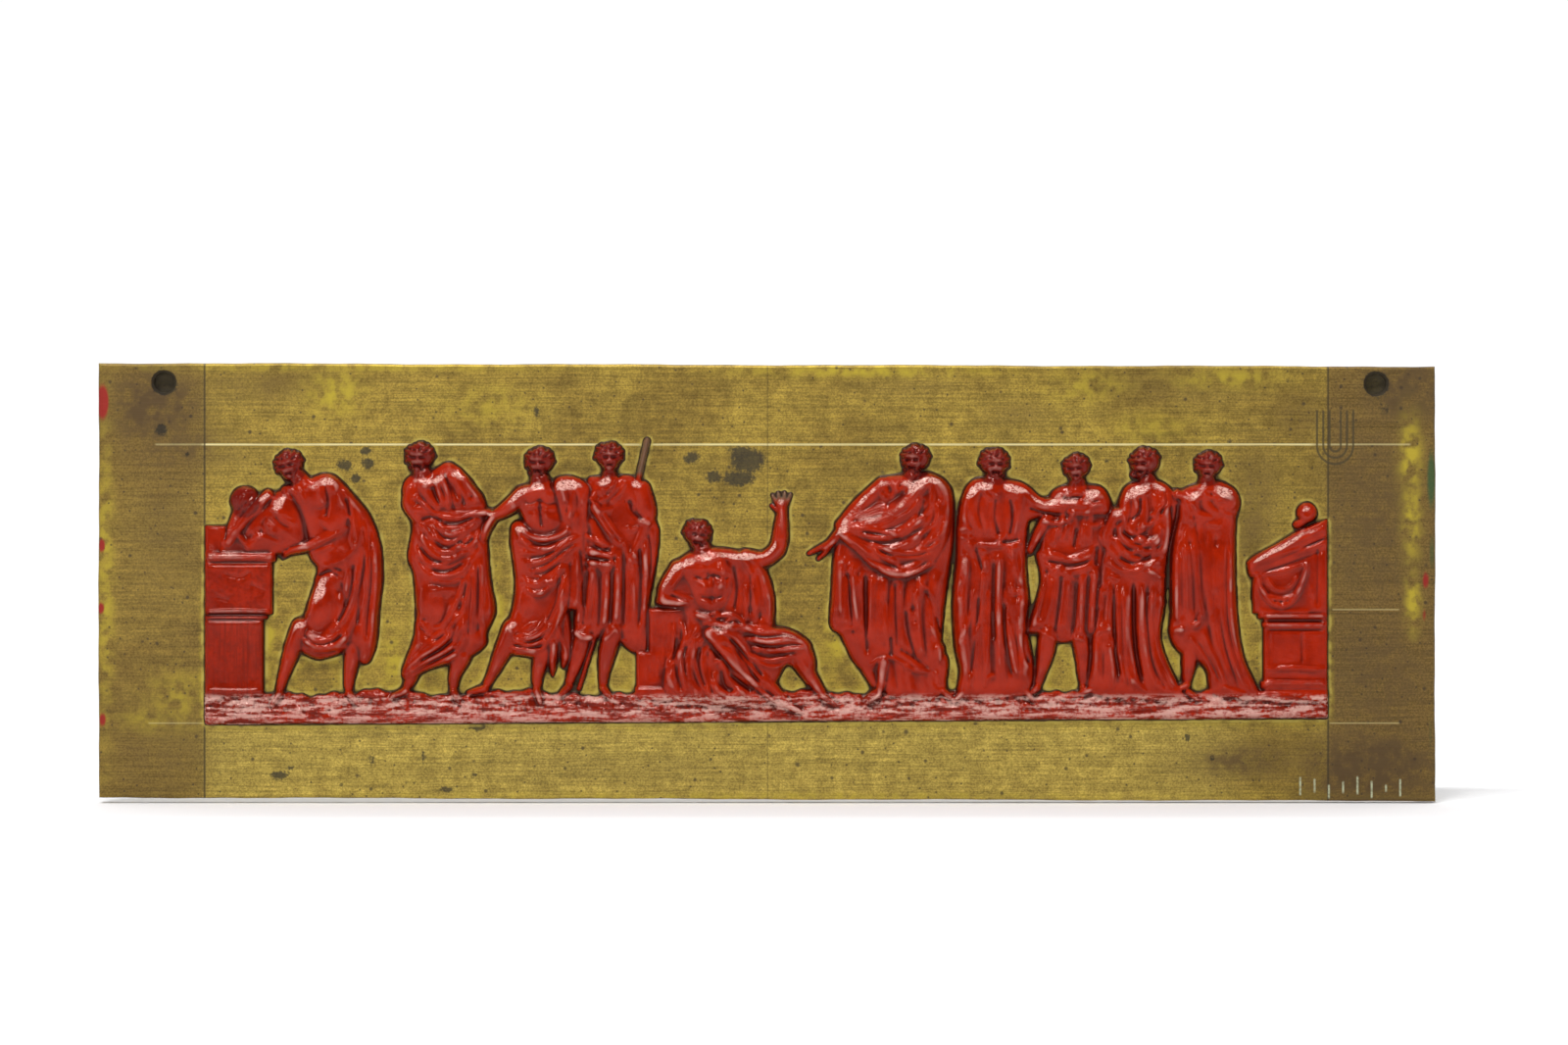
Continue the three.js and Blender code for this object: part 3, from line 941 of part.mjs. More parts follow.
function waxGeometry() {
  const { points, faces } = closeSheet(layMesh());
  const sheet = solid(Float32Array.from(points), Uint32Array.from(faces.flat()));
  const length = FIELD_RIGHT - FIELD_LEFT + 1;
  const room = new THREE.BoxGeometry(length, 8, 60);
  const places = room.attributes.position;
  for (let i = 0; i < places.count; i += 1) {
    const front = places.getY(i) < 0;
    places.setY(i, front ? -PLATE_THICKNESS - 8 : -PLATE_THICKNESS);
  }
  const box = indexed(room);
  const keep = solid(box.attributes.position.array, Uint32Array.from(box.index.array));
  return toGeometry(sheet.intersect(keep));
}

// ---- the brass plate, a little out of square, with two holes to hang it by ----
function plateGeometry() {
  const half = PLATE_LENGTH / 2 - PLATE_BEVEL;
  const side = PLATE_HEIGHT / 2 - PLATE_BEVEL;
  const corners = [[-half, -side], [half, -side - PLATE_SLOPE], [half, side - PLATE_SLOPE],
    [-half, side]];
  const outline = new THREE.Shape();
  corners.forEach(([x, z], k) => {
    const [nx, nz] = corners[(k + 1) % 4];
    const parts = k % 2 === 0 ? 10 : 4;
    for (let i = 0; i < parts; i += 1) {
      const t = i / parts;
      const wave = i === 0 ? 0 : PLATE_WAVE * (Math.sin(9 * t + k) - 1);
      const inward = [[0, 1], [-1, 0], [0, -1], [1, 0]][k];
      const point = [x + (nx - x) * t - wave * inward[0], z + (nz - z) * t - wave * inward[1]];
      if (k === 0 && i === 0) {
        outline.moveTo(...point);
      } else {
        outline.lineTo(...point);
      }
    }
  });
  for (const [x, z] of HOLE_PLACES) {
    const hole = new THREE.Path();
    hole.absarc(x, z, HOLE_RADIUS + PLATE_BEVEL, 0, 2 * Math.PI, true);
    outline.holes.push(hole);
  }
  const plate = new THREE.ExtrudeGeometry(outline, {
    depth: PLATE_THICKNESS - 2 * PLATE_BEVEL,
    bevelThickness: PLATE_BEVEL,
    bevelSize: PLATE_BEVEL,
    bevelSegments: 1,
    curveSegments: HOLE_SIDES,
  });
  const places = plate.attributes.position;
  const deep = PLATE_THICKNESS - PLATE_BEVEL;
  for (let i = 0; i < places.count; i += 1) {
    const along = places.getZ(i);
    const square = along < -PLATE_BEVEL / 2 ? 0 : -(along + PLATE_BEVEL);
    const level = along > deep - PLATE_BEVEL / 2 ? -PLATE_THICKNESS : square;
    places.setXYZ(i, places.getX(i), level, places.getY(i));
  }
  const geometry = indexed(plate);
  geometry.computeVertexNormals();
  return geometry;
}

ground();
pedestal();
weeper();
leaner();
folded();
staffMan();
bareChest();
seated();
youth();
orator();
listener();
cloaked();
elder();
lectern();
soften();

const brass = new THREE.MeshStandardMaterial({ color: 0x8f7c40, roughness: 0.45, metalness: 0.9 });
const wax = new THREE.MeshStandardMaterial({ color: 0xa32414, roughness: 0.3, metalness: 0 });

const plate = new THREE.Mesh(plateGeometry(), brass);
plate.name = "brass_plate";

const frieze = new THREE.Mesh(waxGeometry(), wax);
frieze.name = "wax_frieze";

const plaque = new THREE.Group();
plaque.add(plate, frieze);

export default plaque;
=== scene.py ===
"""A relief plaque: a red wax frieze of eleven figures on a brass plate, standing upright and facing -Y."""
import math

import bmesh
import bpy
import numpy as np
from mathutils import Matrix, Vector


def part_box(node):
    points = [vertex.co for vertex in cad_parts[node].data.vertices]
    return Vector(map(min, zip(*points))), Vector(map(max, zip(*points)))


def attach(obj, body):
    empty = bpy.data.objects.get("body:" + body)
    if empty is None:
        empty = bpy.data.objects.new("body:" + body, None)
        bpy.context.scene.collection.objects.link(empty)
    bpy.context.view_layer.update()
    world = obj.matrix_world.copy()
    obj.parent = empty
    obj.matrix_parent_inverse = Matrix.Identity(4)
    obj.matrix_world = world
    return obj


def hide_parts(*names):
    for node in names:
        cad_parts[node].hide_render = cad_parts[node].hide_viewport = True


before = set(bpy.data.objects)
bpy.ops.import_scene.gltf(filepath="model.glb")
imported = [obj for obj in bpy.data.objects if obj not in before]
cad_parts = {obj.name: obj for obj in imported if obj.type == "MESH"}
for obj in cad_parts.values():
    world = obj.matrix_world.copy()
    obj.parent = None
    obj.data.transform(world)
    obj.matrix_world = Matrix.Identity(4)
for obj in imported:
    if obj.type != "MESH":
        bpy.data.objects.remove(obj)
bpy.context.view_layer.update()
MM = 0.001

# ---- the camera ----
LENS, SENSOR = 110, 36
CAMERA_PLACE = (0.00246, -0.691, 0.0083)

camera = bpy.data.objects.new("camera", bpy.data.cameras.new("camera"))
camera.data.lens = LENS
camera.data.sensor_width = SENSOR
camera.data.clip_start = 0.05
camera.data.clip_end = 50
camera.location = CAMERA_PLACE
camera.rotation_euler = (math.radians(90), 0, 0)
bpy.context.scene.collection.objects.link(camera)
bpy.context.scene.camera = camera

# ---- the relief: heights above the plate, in millimetres ----
CELL = 0.1
# The mesh takes every second row and column, and every row where the heads are.
THIN, HEAD_ROWS = 2, (13.6, 20.0)
X_LO, X_HI, Z_LO, Z_HI = -81.6, 81.4, -21.6, 20.8
OUTSIDE = -2.4
WALL = 4.0
MARGIN = 0.65
CURVE_STEPS = 6
FOLD_STEPS = 16
EDGE_FADE = 0.45
SOFTNESS, HEAD_SOFTNESS = 0.14, 0.08
# What is lower than FLAT isn't raised or pressed, and nothing is pressed below LEAST.
FLAT, LEAST = 0.08, 0.06
LEAST_CLOTH = 0.1

columns = int(round((X_HI - X_LO) / CELL)) + 1
rows = int(round((Z_HI - Z_LO) / CELL)) + 1
xs = X_LO + CELL * np.arange(columns)
zs = Z_LO + CELL * np.arange(rows)
relief = np.full((rows, columns), OUTSIDE)


def pairs(points):
    """Points as rows of x and z. A line or outline is mostly written flat: x, z, x, z and so on."""
    return np.reshape(np.asarray(points, float), (-1, 2))


def smooth(points, closed=False):
    """A Catmull-Rom curve through the points."""
    p = pairs(points)
    n = len(p)
    out = []
    for i in range(n if closed else n - 1):
        if closed:
            a, b, c, d = p[i - 1], p[i], p[(i + 1) % n], p[(i + 2) % n]
        else:
            b, c = p[i], p[i + 1]
            a = p[i - 1] if i > 0 else 2 * b - c
            d = p[i + 2] if i + 2 < n else 2 * c - b
        for k in range(CURVE_STEPS):
            t = k / CURVE_STEPS
            out.append(0.5 * (2 * b + (c - a) * t + (2 * a - 5 * b + 4 * c - d) * t * t
                              + (3 * b - a - 3 * c + d) * t ** 3))
    if not closed:
        out.append(p[-1])
    return np.array(out)


def window(points, margin):
    """The grid cells round some points, and the x and z of each."""
    points = pairs(points)
    lo, hi = points.min(0) - margin, points.max(0) + margin
    i0, i1 = max(0, int((lo[0] - X_LO) / CELL)), min(columns, int((hi[0] - X_LO) / CELL) + 2)
    j0, j1 = max(0, int((lo[1] - Z_LO) / CELL)), min(rows, int((hi[1] - Z_LO) / CELL) + 2)
    x, z = np.meshgrid(xs[i0:i1], zs[j0:j1])
    return (slice(j0, j1), slice(i0, i1)), x, z


def nearest(line, radii, x, z):
    """How far each place is off a line, in radii, with its share of the way along and the radius there."""
    count = len(line) - 1
    off, share, radius = np.full(x.shape, 1e9), np.zeros(x.shape), np.ones(x.shape)
    for i in range(count):
        a, d = line[i], line[i + 1] - line[i]
        t = np.clip(((x - a[0]) * d[0] + (z - a[1]) * d[1]) / max(d @ d, 1e-9), 0, 1)
        r = radii[i] * (1 - t) + radii[i + 1] * t
        q = np.hypot(x - a[0] - t * d[0], z - a[1] - t * d[1]) / r
        better = q < off
        off = np.where(better, q, off)
        share = np.where(better, (i + t) / count, share)
        radius = np.where(better, r, radius)
    return off, share, radius


def depth_inside(outline, x, z):
    """The distance to a closed outline, positive inside it."""
    best, odd = np.full(x.shape, 1e9), np.zeros(x.shape, bool)
    for i in range(len(outline)):
        a, b = outline[i - 1], outline[i]
        d = b - a
        t = np.clip(((x - a[0]) * d[0] + (z - a[1]) * d[1]) / max(d @ d, 1e-12), 0, 1)
        best = np.minimum(best, (x - a[0] - t * d[0]) ** 2 + (z - a[1] - t * d[1]) ** 2)
        if a[1] != b[1]:
            odd ^= ((a[1] > z) != (b[1] > z)) & (x < d[0] * (z - a[1]) / d[1] + a[0])
    return np.where(odd, 1, -1) * np.sqrt(best)


def put(place, top, inside):
    """Adds a form: its top where it is thick enough, a steep wall at its outline."""
    form = np.maximum(np.minimum(top, WALL * inside), OUTSIDE)
    relief[place] = np.maximum(relief[place], form)


def alter(place, change):
    """Raises or presses what is already there."""
    was = relief[place]
    relief[place] = np.where(was > FLAT, np.maximum(was + change, LEAST), was)


def arch(share):
    """A round section: 1 on its middle line and 0 at its edge."""
    return np.sqrt(np.clip(1 - share * share, 0, 1))


def ease(share):
    t = np.clip(share, 0, 1)
    return t * t * (3 - 2 * t)


def taper(share, end=0.17):
    """Fades a line in and out over a share of its length."""
    return ease(share / end) * ease((1 - share) / end)


def limb(points, radii, lift, flat):
    """A rounded arm, leg, neck or roll of cloth along a line, as thick as its radii say."""
    line = smooth(points)
    sizes = np.interp(np.linspace(0, 1, len(line)), np.linspace(0, 1, len(radii)), radii)
    place, x, z = window(line, max(radii) + MARGIN)
    off, _, radius = nearest(line, sizes, x, z)
    put(place, lift + flat * radius * arch(off), radius * (1 - off))


def spin(x0, z0, rx, rz, turn, x, z):
    """Where places lie on the axes of a turned oval, as shares of its radii."""
    c, s = math.cos(math.radians(turn)), math.sin(math.radians(turn))
    return ((x - x0) * c + (z - z0) * s) / rx, ((z - z0) * c - (x - x0) * s) / rz


def oval(x0, z0, rx, rz, turn, lift, depth):
    """A rounded lump with an outline of its own."""
    place, x, z = window((x0, z0), max(rx, rz) + MARGIN)
    off = np.hypot(*spin(x0, z0, rx, rz, turn, x, z))
    put(place, lift + depth * arch(off), (1 - off) * min(rx, rz))


def dent(x0, z0, rx, rz, depth, turn=0):
    """A soft hollow, or a soft lump when depth is negative."""
    place, x, z = window((x0, z0), 2.2 * max(rx, rz))
    u, v = spin(x0, z0, rx, rz, turn, x, z)
    alter(place, -depth * np.exp(-(u * u + v * v)))


def ridge(points, rise, width):
    """A thin raised line on what is there already."""
    line = smooth(points)
    place, x, z = window(line, 3 * width)
    off, share, _ = nearest(line, np.full(len(line), width), x, z)
    alter(place, rise * np.exp(-1.4 * off * off) * taper(share, 0.1))


def line_cut(points, depth, width):
    """A thin cut line."""
    ridge(points, -depth, width)


def crease(points, depth, width):
    """A fold that is pressed into a cloth along a line."""
    line = smooth(points)

    def height(x, z):
        off, share, _ = nearest(line, np.full(len(line), width), x, z)
        return -depth * np.exp(-1.6 * off * off) * taper(share, 0.2)
    return height


def evenly(points):
    """The curve through the points, cut into equal steps."""
    line = smooth(points)
    s = np.linspace(0, len(line) - 1, FOLD_STEPS + 1)
    i = np.minimum(s.astype(int), len(line) - 2)
    return line[i] + (line[i + 1] - line[i]) * (s - i)[:, None]


def sheaf(first, last, count, rise, fill):
    """Fold ridges that pass evenly from a first line to a last one."""
    a, b = evenly(first), evenly(last)
    gap = np.maximum(np.hypot(*(b - a).T) / max(count - 1, 1), 0.35)

    def height(x, z):
        h = np.zeros(x.shape)
        for k in range(count):
            t = k / max(count - 1, 1)
            if 0 < k < count - 1:
                t += 0.28 / count * math.sin(2.4 * k + 5.1 * count)
            vary = 0.82 + 0.22 * math.sin(3.7 * k + 1.3 * count)
            widths = gap * fill * (0.95 + 0.12 * math.sin(1.9 * k + 0.7))
            off, share, radius = nearest(a * (1 - t) + b * t, widths, x, z)
            size = np.minimum(radius / (gap.mean() * fill), 1.25)
            h = np.maximum(h, rise * vary * size * np.clip(1 - off * off, 0, 1) * taper(share, 0.15))
        return h
    return height


def cloth(points, height, rounding, folds, lift):
    """A closed patch of cloth or flesh: rounded at its edge, with its folds on top."""
    outline = smooth(points, True)
    place, x, z = window(outline, MARGIN)
    inside = depth_inside(outline, x, z)
    top = lift + height * arch(1 - np.clip(inside / rounding, 0, 1))
    fade = np.clip(inside / EDGE_FADE, 0, 1)
    for fold in folds:
        top = top + fold(x, z) * fade
    put(place, np.maximum(top, LEAST_CLOTH), inside)


def slab(corners, height, bevel):
    """A flat form with straight sides and a bevelled edge."""
    place, x, z = window(corners, MARGIN)
    inside = depth_inside(pairs(corners), x, z)
    put(place, height * np.clip(0.55 + 0.45 * inside / bevel, 0, 1), 2 * inside)


def block(x0, z0, x1, z1, height, bevel):
    slab((x0, z0, x1, z0, x1, z1, x0, z1), height, bevel)


def local(x0, z0, turn, size):
    """A function from a form's own upright axes to the plaque's."""
    c, s = math.cos(math.radians(turn)), math.sin(math.radians(turn))
    return lambda u, v: [x0 + size * (u * c - v * s), z0 + size * (u * s + v * c)]


head_places = []


def head(x0, z0, turn, tilt, beard, size, lift):
    """A calm, plain head. turn runs from -1, facing left, to 1, facing right."""
    at = local(x0, z0, tilt, size)
    head_places.append((x0, z0, size))

    def ball(u, v, ru, rv, low, depth, spin_by=0):
        oval(*at(u, v), ru * size, rv * size, tilt + spin_by, lift + low, depth)

    def press(u, v, ru, rv, depth):
        dent(*at(u, v), ru * size, rv * size, depth, tilt)

    def strand(points, rise, width):
        ridge([at(u, v) for u, v in points], rise, width * size)

    side = 1 - 0.25 * abs(turn)
    mid = 0.75 * turn
    ball(-0.35 * turn, 0.45, 2.05, 1.9, 0, 1.15)
    ball(0.35 * turn, -0.25, 1.5 * side, 1.95, 0.15, 1.35)
    if abs(turn) > 0.55:
        ball(0.95 * turn, -0.1, 0.85, 1.45, 0.1, 1.1)
    limb([at(mid + 0.12 * turn, 0.5), at(mid + 0.55 * turn, -0.45)], [0.2 * size, 0.34 * size],
        lift + 1.5, 0.9)
    for e in (-1, 1):
        eye = mid + 0.6 * e * side - 0.05 * turn
        press(eye, 0.14, 0.38, 0.27, 0.72)
        press(eye, 0.1, 0.19, 0.12, -0.34)
        strand([(eye - 0.45, 0.5), (eye, 0.66), (eye + 0.45, 0.5)], 0.34, 0.17)
        press(eye * 1.1, -0.5, 0.42, 0.3, -0.24)
        press(eye - 0.1 * e, -0.85, 0.2, 0.3, 0.26)
    strand([(mid - 0.42, -1.0), (mid + 0.1 * turn, -0.94), (mid + 0.46, -1.02)], -0.5, 0.15)
    press(mid + 0.1 * turn, -1.24, 0.34, 0.13, -0.26)
    press(mid + 0.05 * turn, -1.66, 0.42, 0.26, -0.3)
    if abs(turn) > 0.25:
        press(-1.0 * turn, -0.1, 0.3, 0.45, -0.34)
        press(-1.0 * turn, -0.1, 0.13, 0.22, 0.3)
    if beard:
        for row in range(3):
            for k in range(4 + row):
                across = k - (3 + row) / 2
                u = mid + 0.46 * side * across
                v = -1.02 - 0.4 * row * beard + 0.16 * abs(across)
                sway = 0.14 * math.sin(3 * k + 2 * row)
                ball(u, v, 0.27, 0.4, 0.2, 1.3 - 0.16 * row, 14 * math.sin(3 * k + row))
                strand([(u + 0.2, v + 0.34), (u + sway + 0.22, v), (u - sway + 0.2, v - 0.36)], -0.34,
                    0.13)
        press(mid + 0.1 * turn, -0.98, 0.34, 0.1, 0.34)
    for row in range(3):
        count = 12 - 2 * row
        for k in range(count + 1):
            along = (k + 0.5 * (row % 2)) / count
            angle = math.radians(-12 + 204 * along - 34 * turn + 5 * math.sin(5 * k + row))
            u = -0.35 * turn + (1.92 - 0.46 * row) * math.cos(angle)
            v = 0.45 + (1.88 - 0.42 * row) * 0.93 * math.sin(angle)
            if v > (0.85 if row == 2 else -0.8):
                grow = 1 + 0.25 * math.sin(4.3 * k + 2.1 * row)
                swirl = math.degrees(angle) + 60 * math.sin(7 * k + row)
                ball(u, v, 0.38 * grow, 0.3 * grow, -0.05 + 0.24 * row, 1.05 + 0.26 * row, swirl)
                press(u + 0.24 * math.cos(3 * k), v + 0.24 * math.sin(3 * k), 0.14, 0.14, 0.42)


def hand(x0, z0, turn, size, spread, lift, thumb):
    """A hand with four fingers, and a thumb on the side that thumb gives, 1 or -1."""
    at = local(x0, z0, turn, size)
    limb([at(0, 0), at(1.1, 0)], [0.5 * size, 0.72 * size], lift, 0.6)
    for k in range(4):
        across = (k - 1.5) * 0.36
        fan = math.radians((k - 1.5) * spread)
        length = 1.25 - 0.12 * abs(k - 1.4)
        tip = at(1.2 + length * math.cos(fan), across + length * math.sin(fan))
        limb([at(1.1, across), tip], [0.23 * size, 0.18 * size], lift + 0.1, 0.8)
    limb([at(0.3, 0.45 * thumb), at(1.0, 1.15 * thumb)], [0.26 * size, 0.2 * size], lift, 0.8)


def foot(x0, z0, turn, length, lift):
    """A foot that stands on the ground strip, with the ground pressed down round it."""
    at = local(x0, z0, turn, 1)
    ridge([at(-0.3, 0), at(length / 2, 0), at(length + 0.3, 0)], -0.5, 0.95)
    limb([at(0, 0), at(length / 2, 0), at(length, 0)], [0.62, 0.58, 0.42], lift + 0.35, 0.9)
    for k in range(4):
        across = 0.22 * (k - 1.5)
        oval(*at(length - 0.1 - 0.1 * k, across), 0.3, 0.13, turn, lift + 0.3, 0.5)
        ridge([at(length - 0.5, across + 0.11), at(length + 0.1, across + 0.11)], -0.14, 0.08)


def pedestal():
    """Pedestal at the left."""
    block(-80.7, 3.6, -77.6, 7.9, 0.75, 0.3)
    block(-80.7, 2.6, -70.4, 4.1, 1.45, 0.5)
    block(-80.7, -4.4, -70.9, 2.7, 1.2, 0.25)
    block(-80.7, -4.9, -70.9, -4.1, 1.5, 0.4)
    block(-80.7, -5.6, -71.6, -5.0, 1.45, 0.3)
    block(-80.7, -16.6, -72.2, -5.6, 1.05, 0.25)
    for k in range(11):
        line_cut([[-79.9 + 0.72 * k, -6.2], [-79.8 + 0.7 * k, -15.6]], 0.12, 0.16)


def weeper():
    """The one who weeps over the pedestal."""
    cloth((-78.4, 3.6, -78, 5.6, -76.8, 7, -74.6, 6.6, -74, 3.6), 0.8, 0.35, [], 0.1)
    cloth((-75.2, 3.6, -75.4, 7, -74.3, 9.6, -71.6, 11.9, -69.8, 13, -67.6, 12.4, -66.4, 10, -66, 7,
        -66.5, 4.6, -70.5, 3.6), 1.7, 4.2, [
        sheaf((-71.2, 11.6, -69.4, 10.8), (-68.2, 13.4, -66.6, 11.8), 4, 0.22, 0.5),
        crease((-73.5, 7.4, -71.5, 6.6, -69.4, 5.6), 0.22, 0.5),
        crease((-71.5, 9.2, -70.4, 8.2, -68.6, 7.2), 0.2, 0.35)], 0.0)
    oval(-74.9, 11.4, 2.15, 2.15, 0, 0.3, 1.15)
    for k in range(6):
        ridge([[-76.7 + 0.62 * k, 12.6 - 0.2 * k], [-76.9 + 0.5 * k, 11.2], [-77.0 + 0.55 * k, 9.8]],
            0.22, 0.2)
    limb((-75.7, 9.8, -76.6, 7.6, -77.3, 5), [1.0, 0.9, 0.6], 0.6, 0.7)
    limb((-71.6, 12.2, -74.3, 9.4, -77.2, 5.4), [0.95, 0.95, 0.75], 0.85, 0.75)
    limb((-76.6, 7.3, -75.3, 6, -74, 4.5), [0.5, 0.6, 0.5], 0.75, 0.6)


def leaner():
    """The leaning man."""
    limb((-66.9, -6.8, -68, -9.6, -69.3, -13.5, -70, -16), [1.5, 1.35, 0.85, 0.6], 0.35, 0.85)
    foot(-69.9, -16.2, 235, 2.0, 0.55)
    limb((-59.3, -8.5, -59.6, -11.5, -60, -14.5, -60, -16), [1.4, 1.15, 0.75, 0.6], 0.3, 0.8)
    foot(-60, -16.2, -50, 2.0, 0.5)
    limb((-67.4, 14.9, -66, 13), [1.25, 1.6], 0.6, 0.6)
    cloth((-66.2, 14.5, -63.6, 15.4, -61.7, 14.9, -59.2, 12.2, -56.9, 9.3, -55.4, 5, -55.1, 0.5,
        -55.6, -4.5, -56, -9.2, -57.1, -11.8, -58.4, -11.8, -59.4, -10, -62, -10.8, -64.6, -11.4,
        -67.1, -10.1, -67.6, -8.4, -66.8, -6, -66, -3.4, -64.9, 0.2, -64.6, 1.8, -65.7, 3.4, -66, 6,
        -66.9, 9, -68.3, 11.4, -69.8, 13.2, -67.8, 14.1),
          1.5, 2.6, [
        sheaf((-64, 14.8, -63.9, 12.4, -63.6, 10.4), (-60.3, 13.4, -58.4, 9.5, -58.3, 6.2, -59.6, 3.8,
            -62.6, 2.4), 3, 0.42, 0.5),
        sheaf((-59.2, 2.6, -60.6, -2, -61, -5.4, -63.6, -8.6, -66.2, -8),
            (-56.4, 6.5, -56.2, 0, -56.6, -5, -57.2, -11), 5, 0.34, 0.55),
        sheaf((-66.6, -7.2, -64.6, -8.9, -61.5, -8.9, -59.6, -7.4),
            (-66.6, -9.3, -64.4, -10.7, -61.6, -10.2, -59.8, -9.2), 3, 0.42, 0.55),
        crease((-60.6, 1.2, -62.6, 1.6, -64.7, 0.3), 0.45, 0.4),
        crease((-61.6, -0.6, -60.6, -3.5, -61.6, -6.4), 0.25, 0.5)], 0.1)
    oval(-63.9, -4, 2.2, 4.4, -14, 0.5, 1.45)
    limb((-60.6, 13, -58.6, 9.6, -58.5, 6, -60.6, 3.3, -63.6, 2.5), [0.5, 0.5, 0.5, 0.55, 0.4], 1.35,
        0.75)
    limb((-62.6, 13.4, -61.6, 10.4, -61.4, 7.6), [1.7, 1.5, 1.2], 0.95, 0.62)
    limb((-61.4, 7.3, -64.8, 5.3, -68.3, 4.2), [1.25, 1, 0.62], 1.15, 0.65)
    hand(-68.2, 4.1, 198, 0.72, 8, 1.05, -1)
    limb((-69.8, 4.9, -68.7, 4.9), [0.35, 0.35], 1.4, 0.6)
    head(-68.6, 16.3, -0.35, 14, 0, 1.0, 0.35)


def folded():
    """The man with folded arms."""
    limb((-50.4, -12, -51, -14, -52, -15.8), [1.1, 0.9, 0.6], 0.35, 0.85)
    foot(-51.8, -15.8, 205, 2.3, 0.5)
    limb((-43.9, -11, -44.8, -13.6, -45, -15.6), [1.5, 0.9, 0.62], 0.35, 0.85)
    foot(-45, -15.9, -62, 1.9, 0.5)
    cloth((-48.2, 15.8, -46, 17, -44.2, 16.3, -42, 13.9, -40.2, 10.8, -40, 5, -39.6, 0, -38.9, -4.4,
        -40.1, -7.4, -40.3, -9.4, -42.6, -11.2, -43.9, -12.6, -46, -12.2, -49.2, -13.2, -51.2, -14.6,
        -52.5, -13.6, -51.8, -11, -50.6, -7.5, -50.5, -3, -50.8, 1, -51.6, 3.4, -51, 7.8, -51.9, 10.4,
        -52.4, 13.2, -51.2, 15.1), 1.45, 2.4, [
        sheaf((-49.5, 14.2, -48.2, 11.8, -46.6, 10.2), (-44.2, 16, -42.2, 13, -41.2, 10.8), 5, 0.5, 0.55),
        sheaf((-50.2, 7.6, -47.6, 3.4, -44.6, 3.6, -41.2, 6.6), (-47.6, 8.4, -46, 6.8, -44.4, 6.8,
            -42.4, 8.2), 4, 0.5, 0.55),
        sheaf((-51, 4.5, -48.5, 0.6, -44.8, 0.2, -41.6, 3.4), (-50.4, 6.5, -47.6, 2.2, -44.4, 2.2,
            -41.2, 5), 3, 0.35, 0.55),
        sheaf((-43, 2, -43.4, -4, -44.4, -8.6), (-40.3, 3.6, -39.8, -1.5, -39.9, -6), 4, 0.42, 0.52),
        sheaf((-44.4, -2, -46, -6.5, -49, -9.6, -51.6, -12.2), (-42.6, -6.4, -44.6, -10.4, -48, -12.2,
            -51, -14), 4, 0.42, 0.52),
        crease((-50, -5.6, -49.6, -7.6, -47.6, -8.3, -45.3, -6.8), 0.35, 0.35)], 0.1)
    oval(-47.8, -3.4, 2.6, 4.6, 6, 0.5, 1.35)
    limb((-51, 13, -51.1, 10.8, -49.9, 8.9), [1.2, 1.3, 1.1], 0.9, 0.6)
    limb((-50, 10.2, -46.5, 9.3, -43, 9.5, -39.9, 9.7), [1.05, 0.95, 0.8, 0.7], 1.2, 0.55)
    limb((-50.4, 12.4, -48.8, 10.6, -47, 9.7), [0.4, 0.55, 0.4], 1.6, 0.7)
    limb((-42.6, 7, -41, 4.6, -43.4, 2.6), [0.6, 0.5, 0.4], 1.3, 0.7)
    limb((-49.6, 15.6, -49, 14), [1.3, 1.7], 0.6, 0.6)
    head(-49.9, 17.4, -0.3, 0, 0.8, 1.0, 0.4)


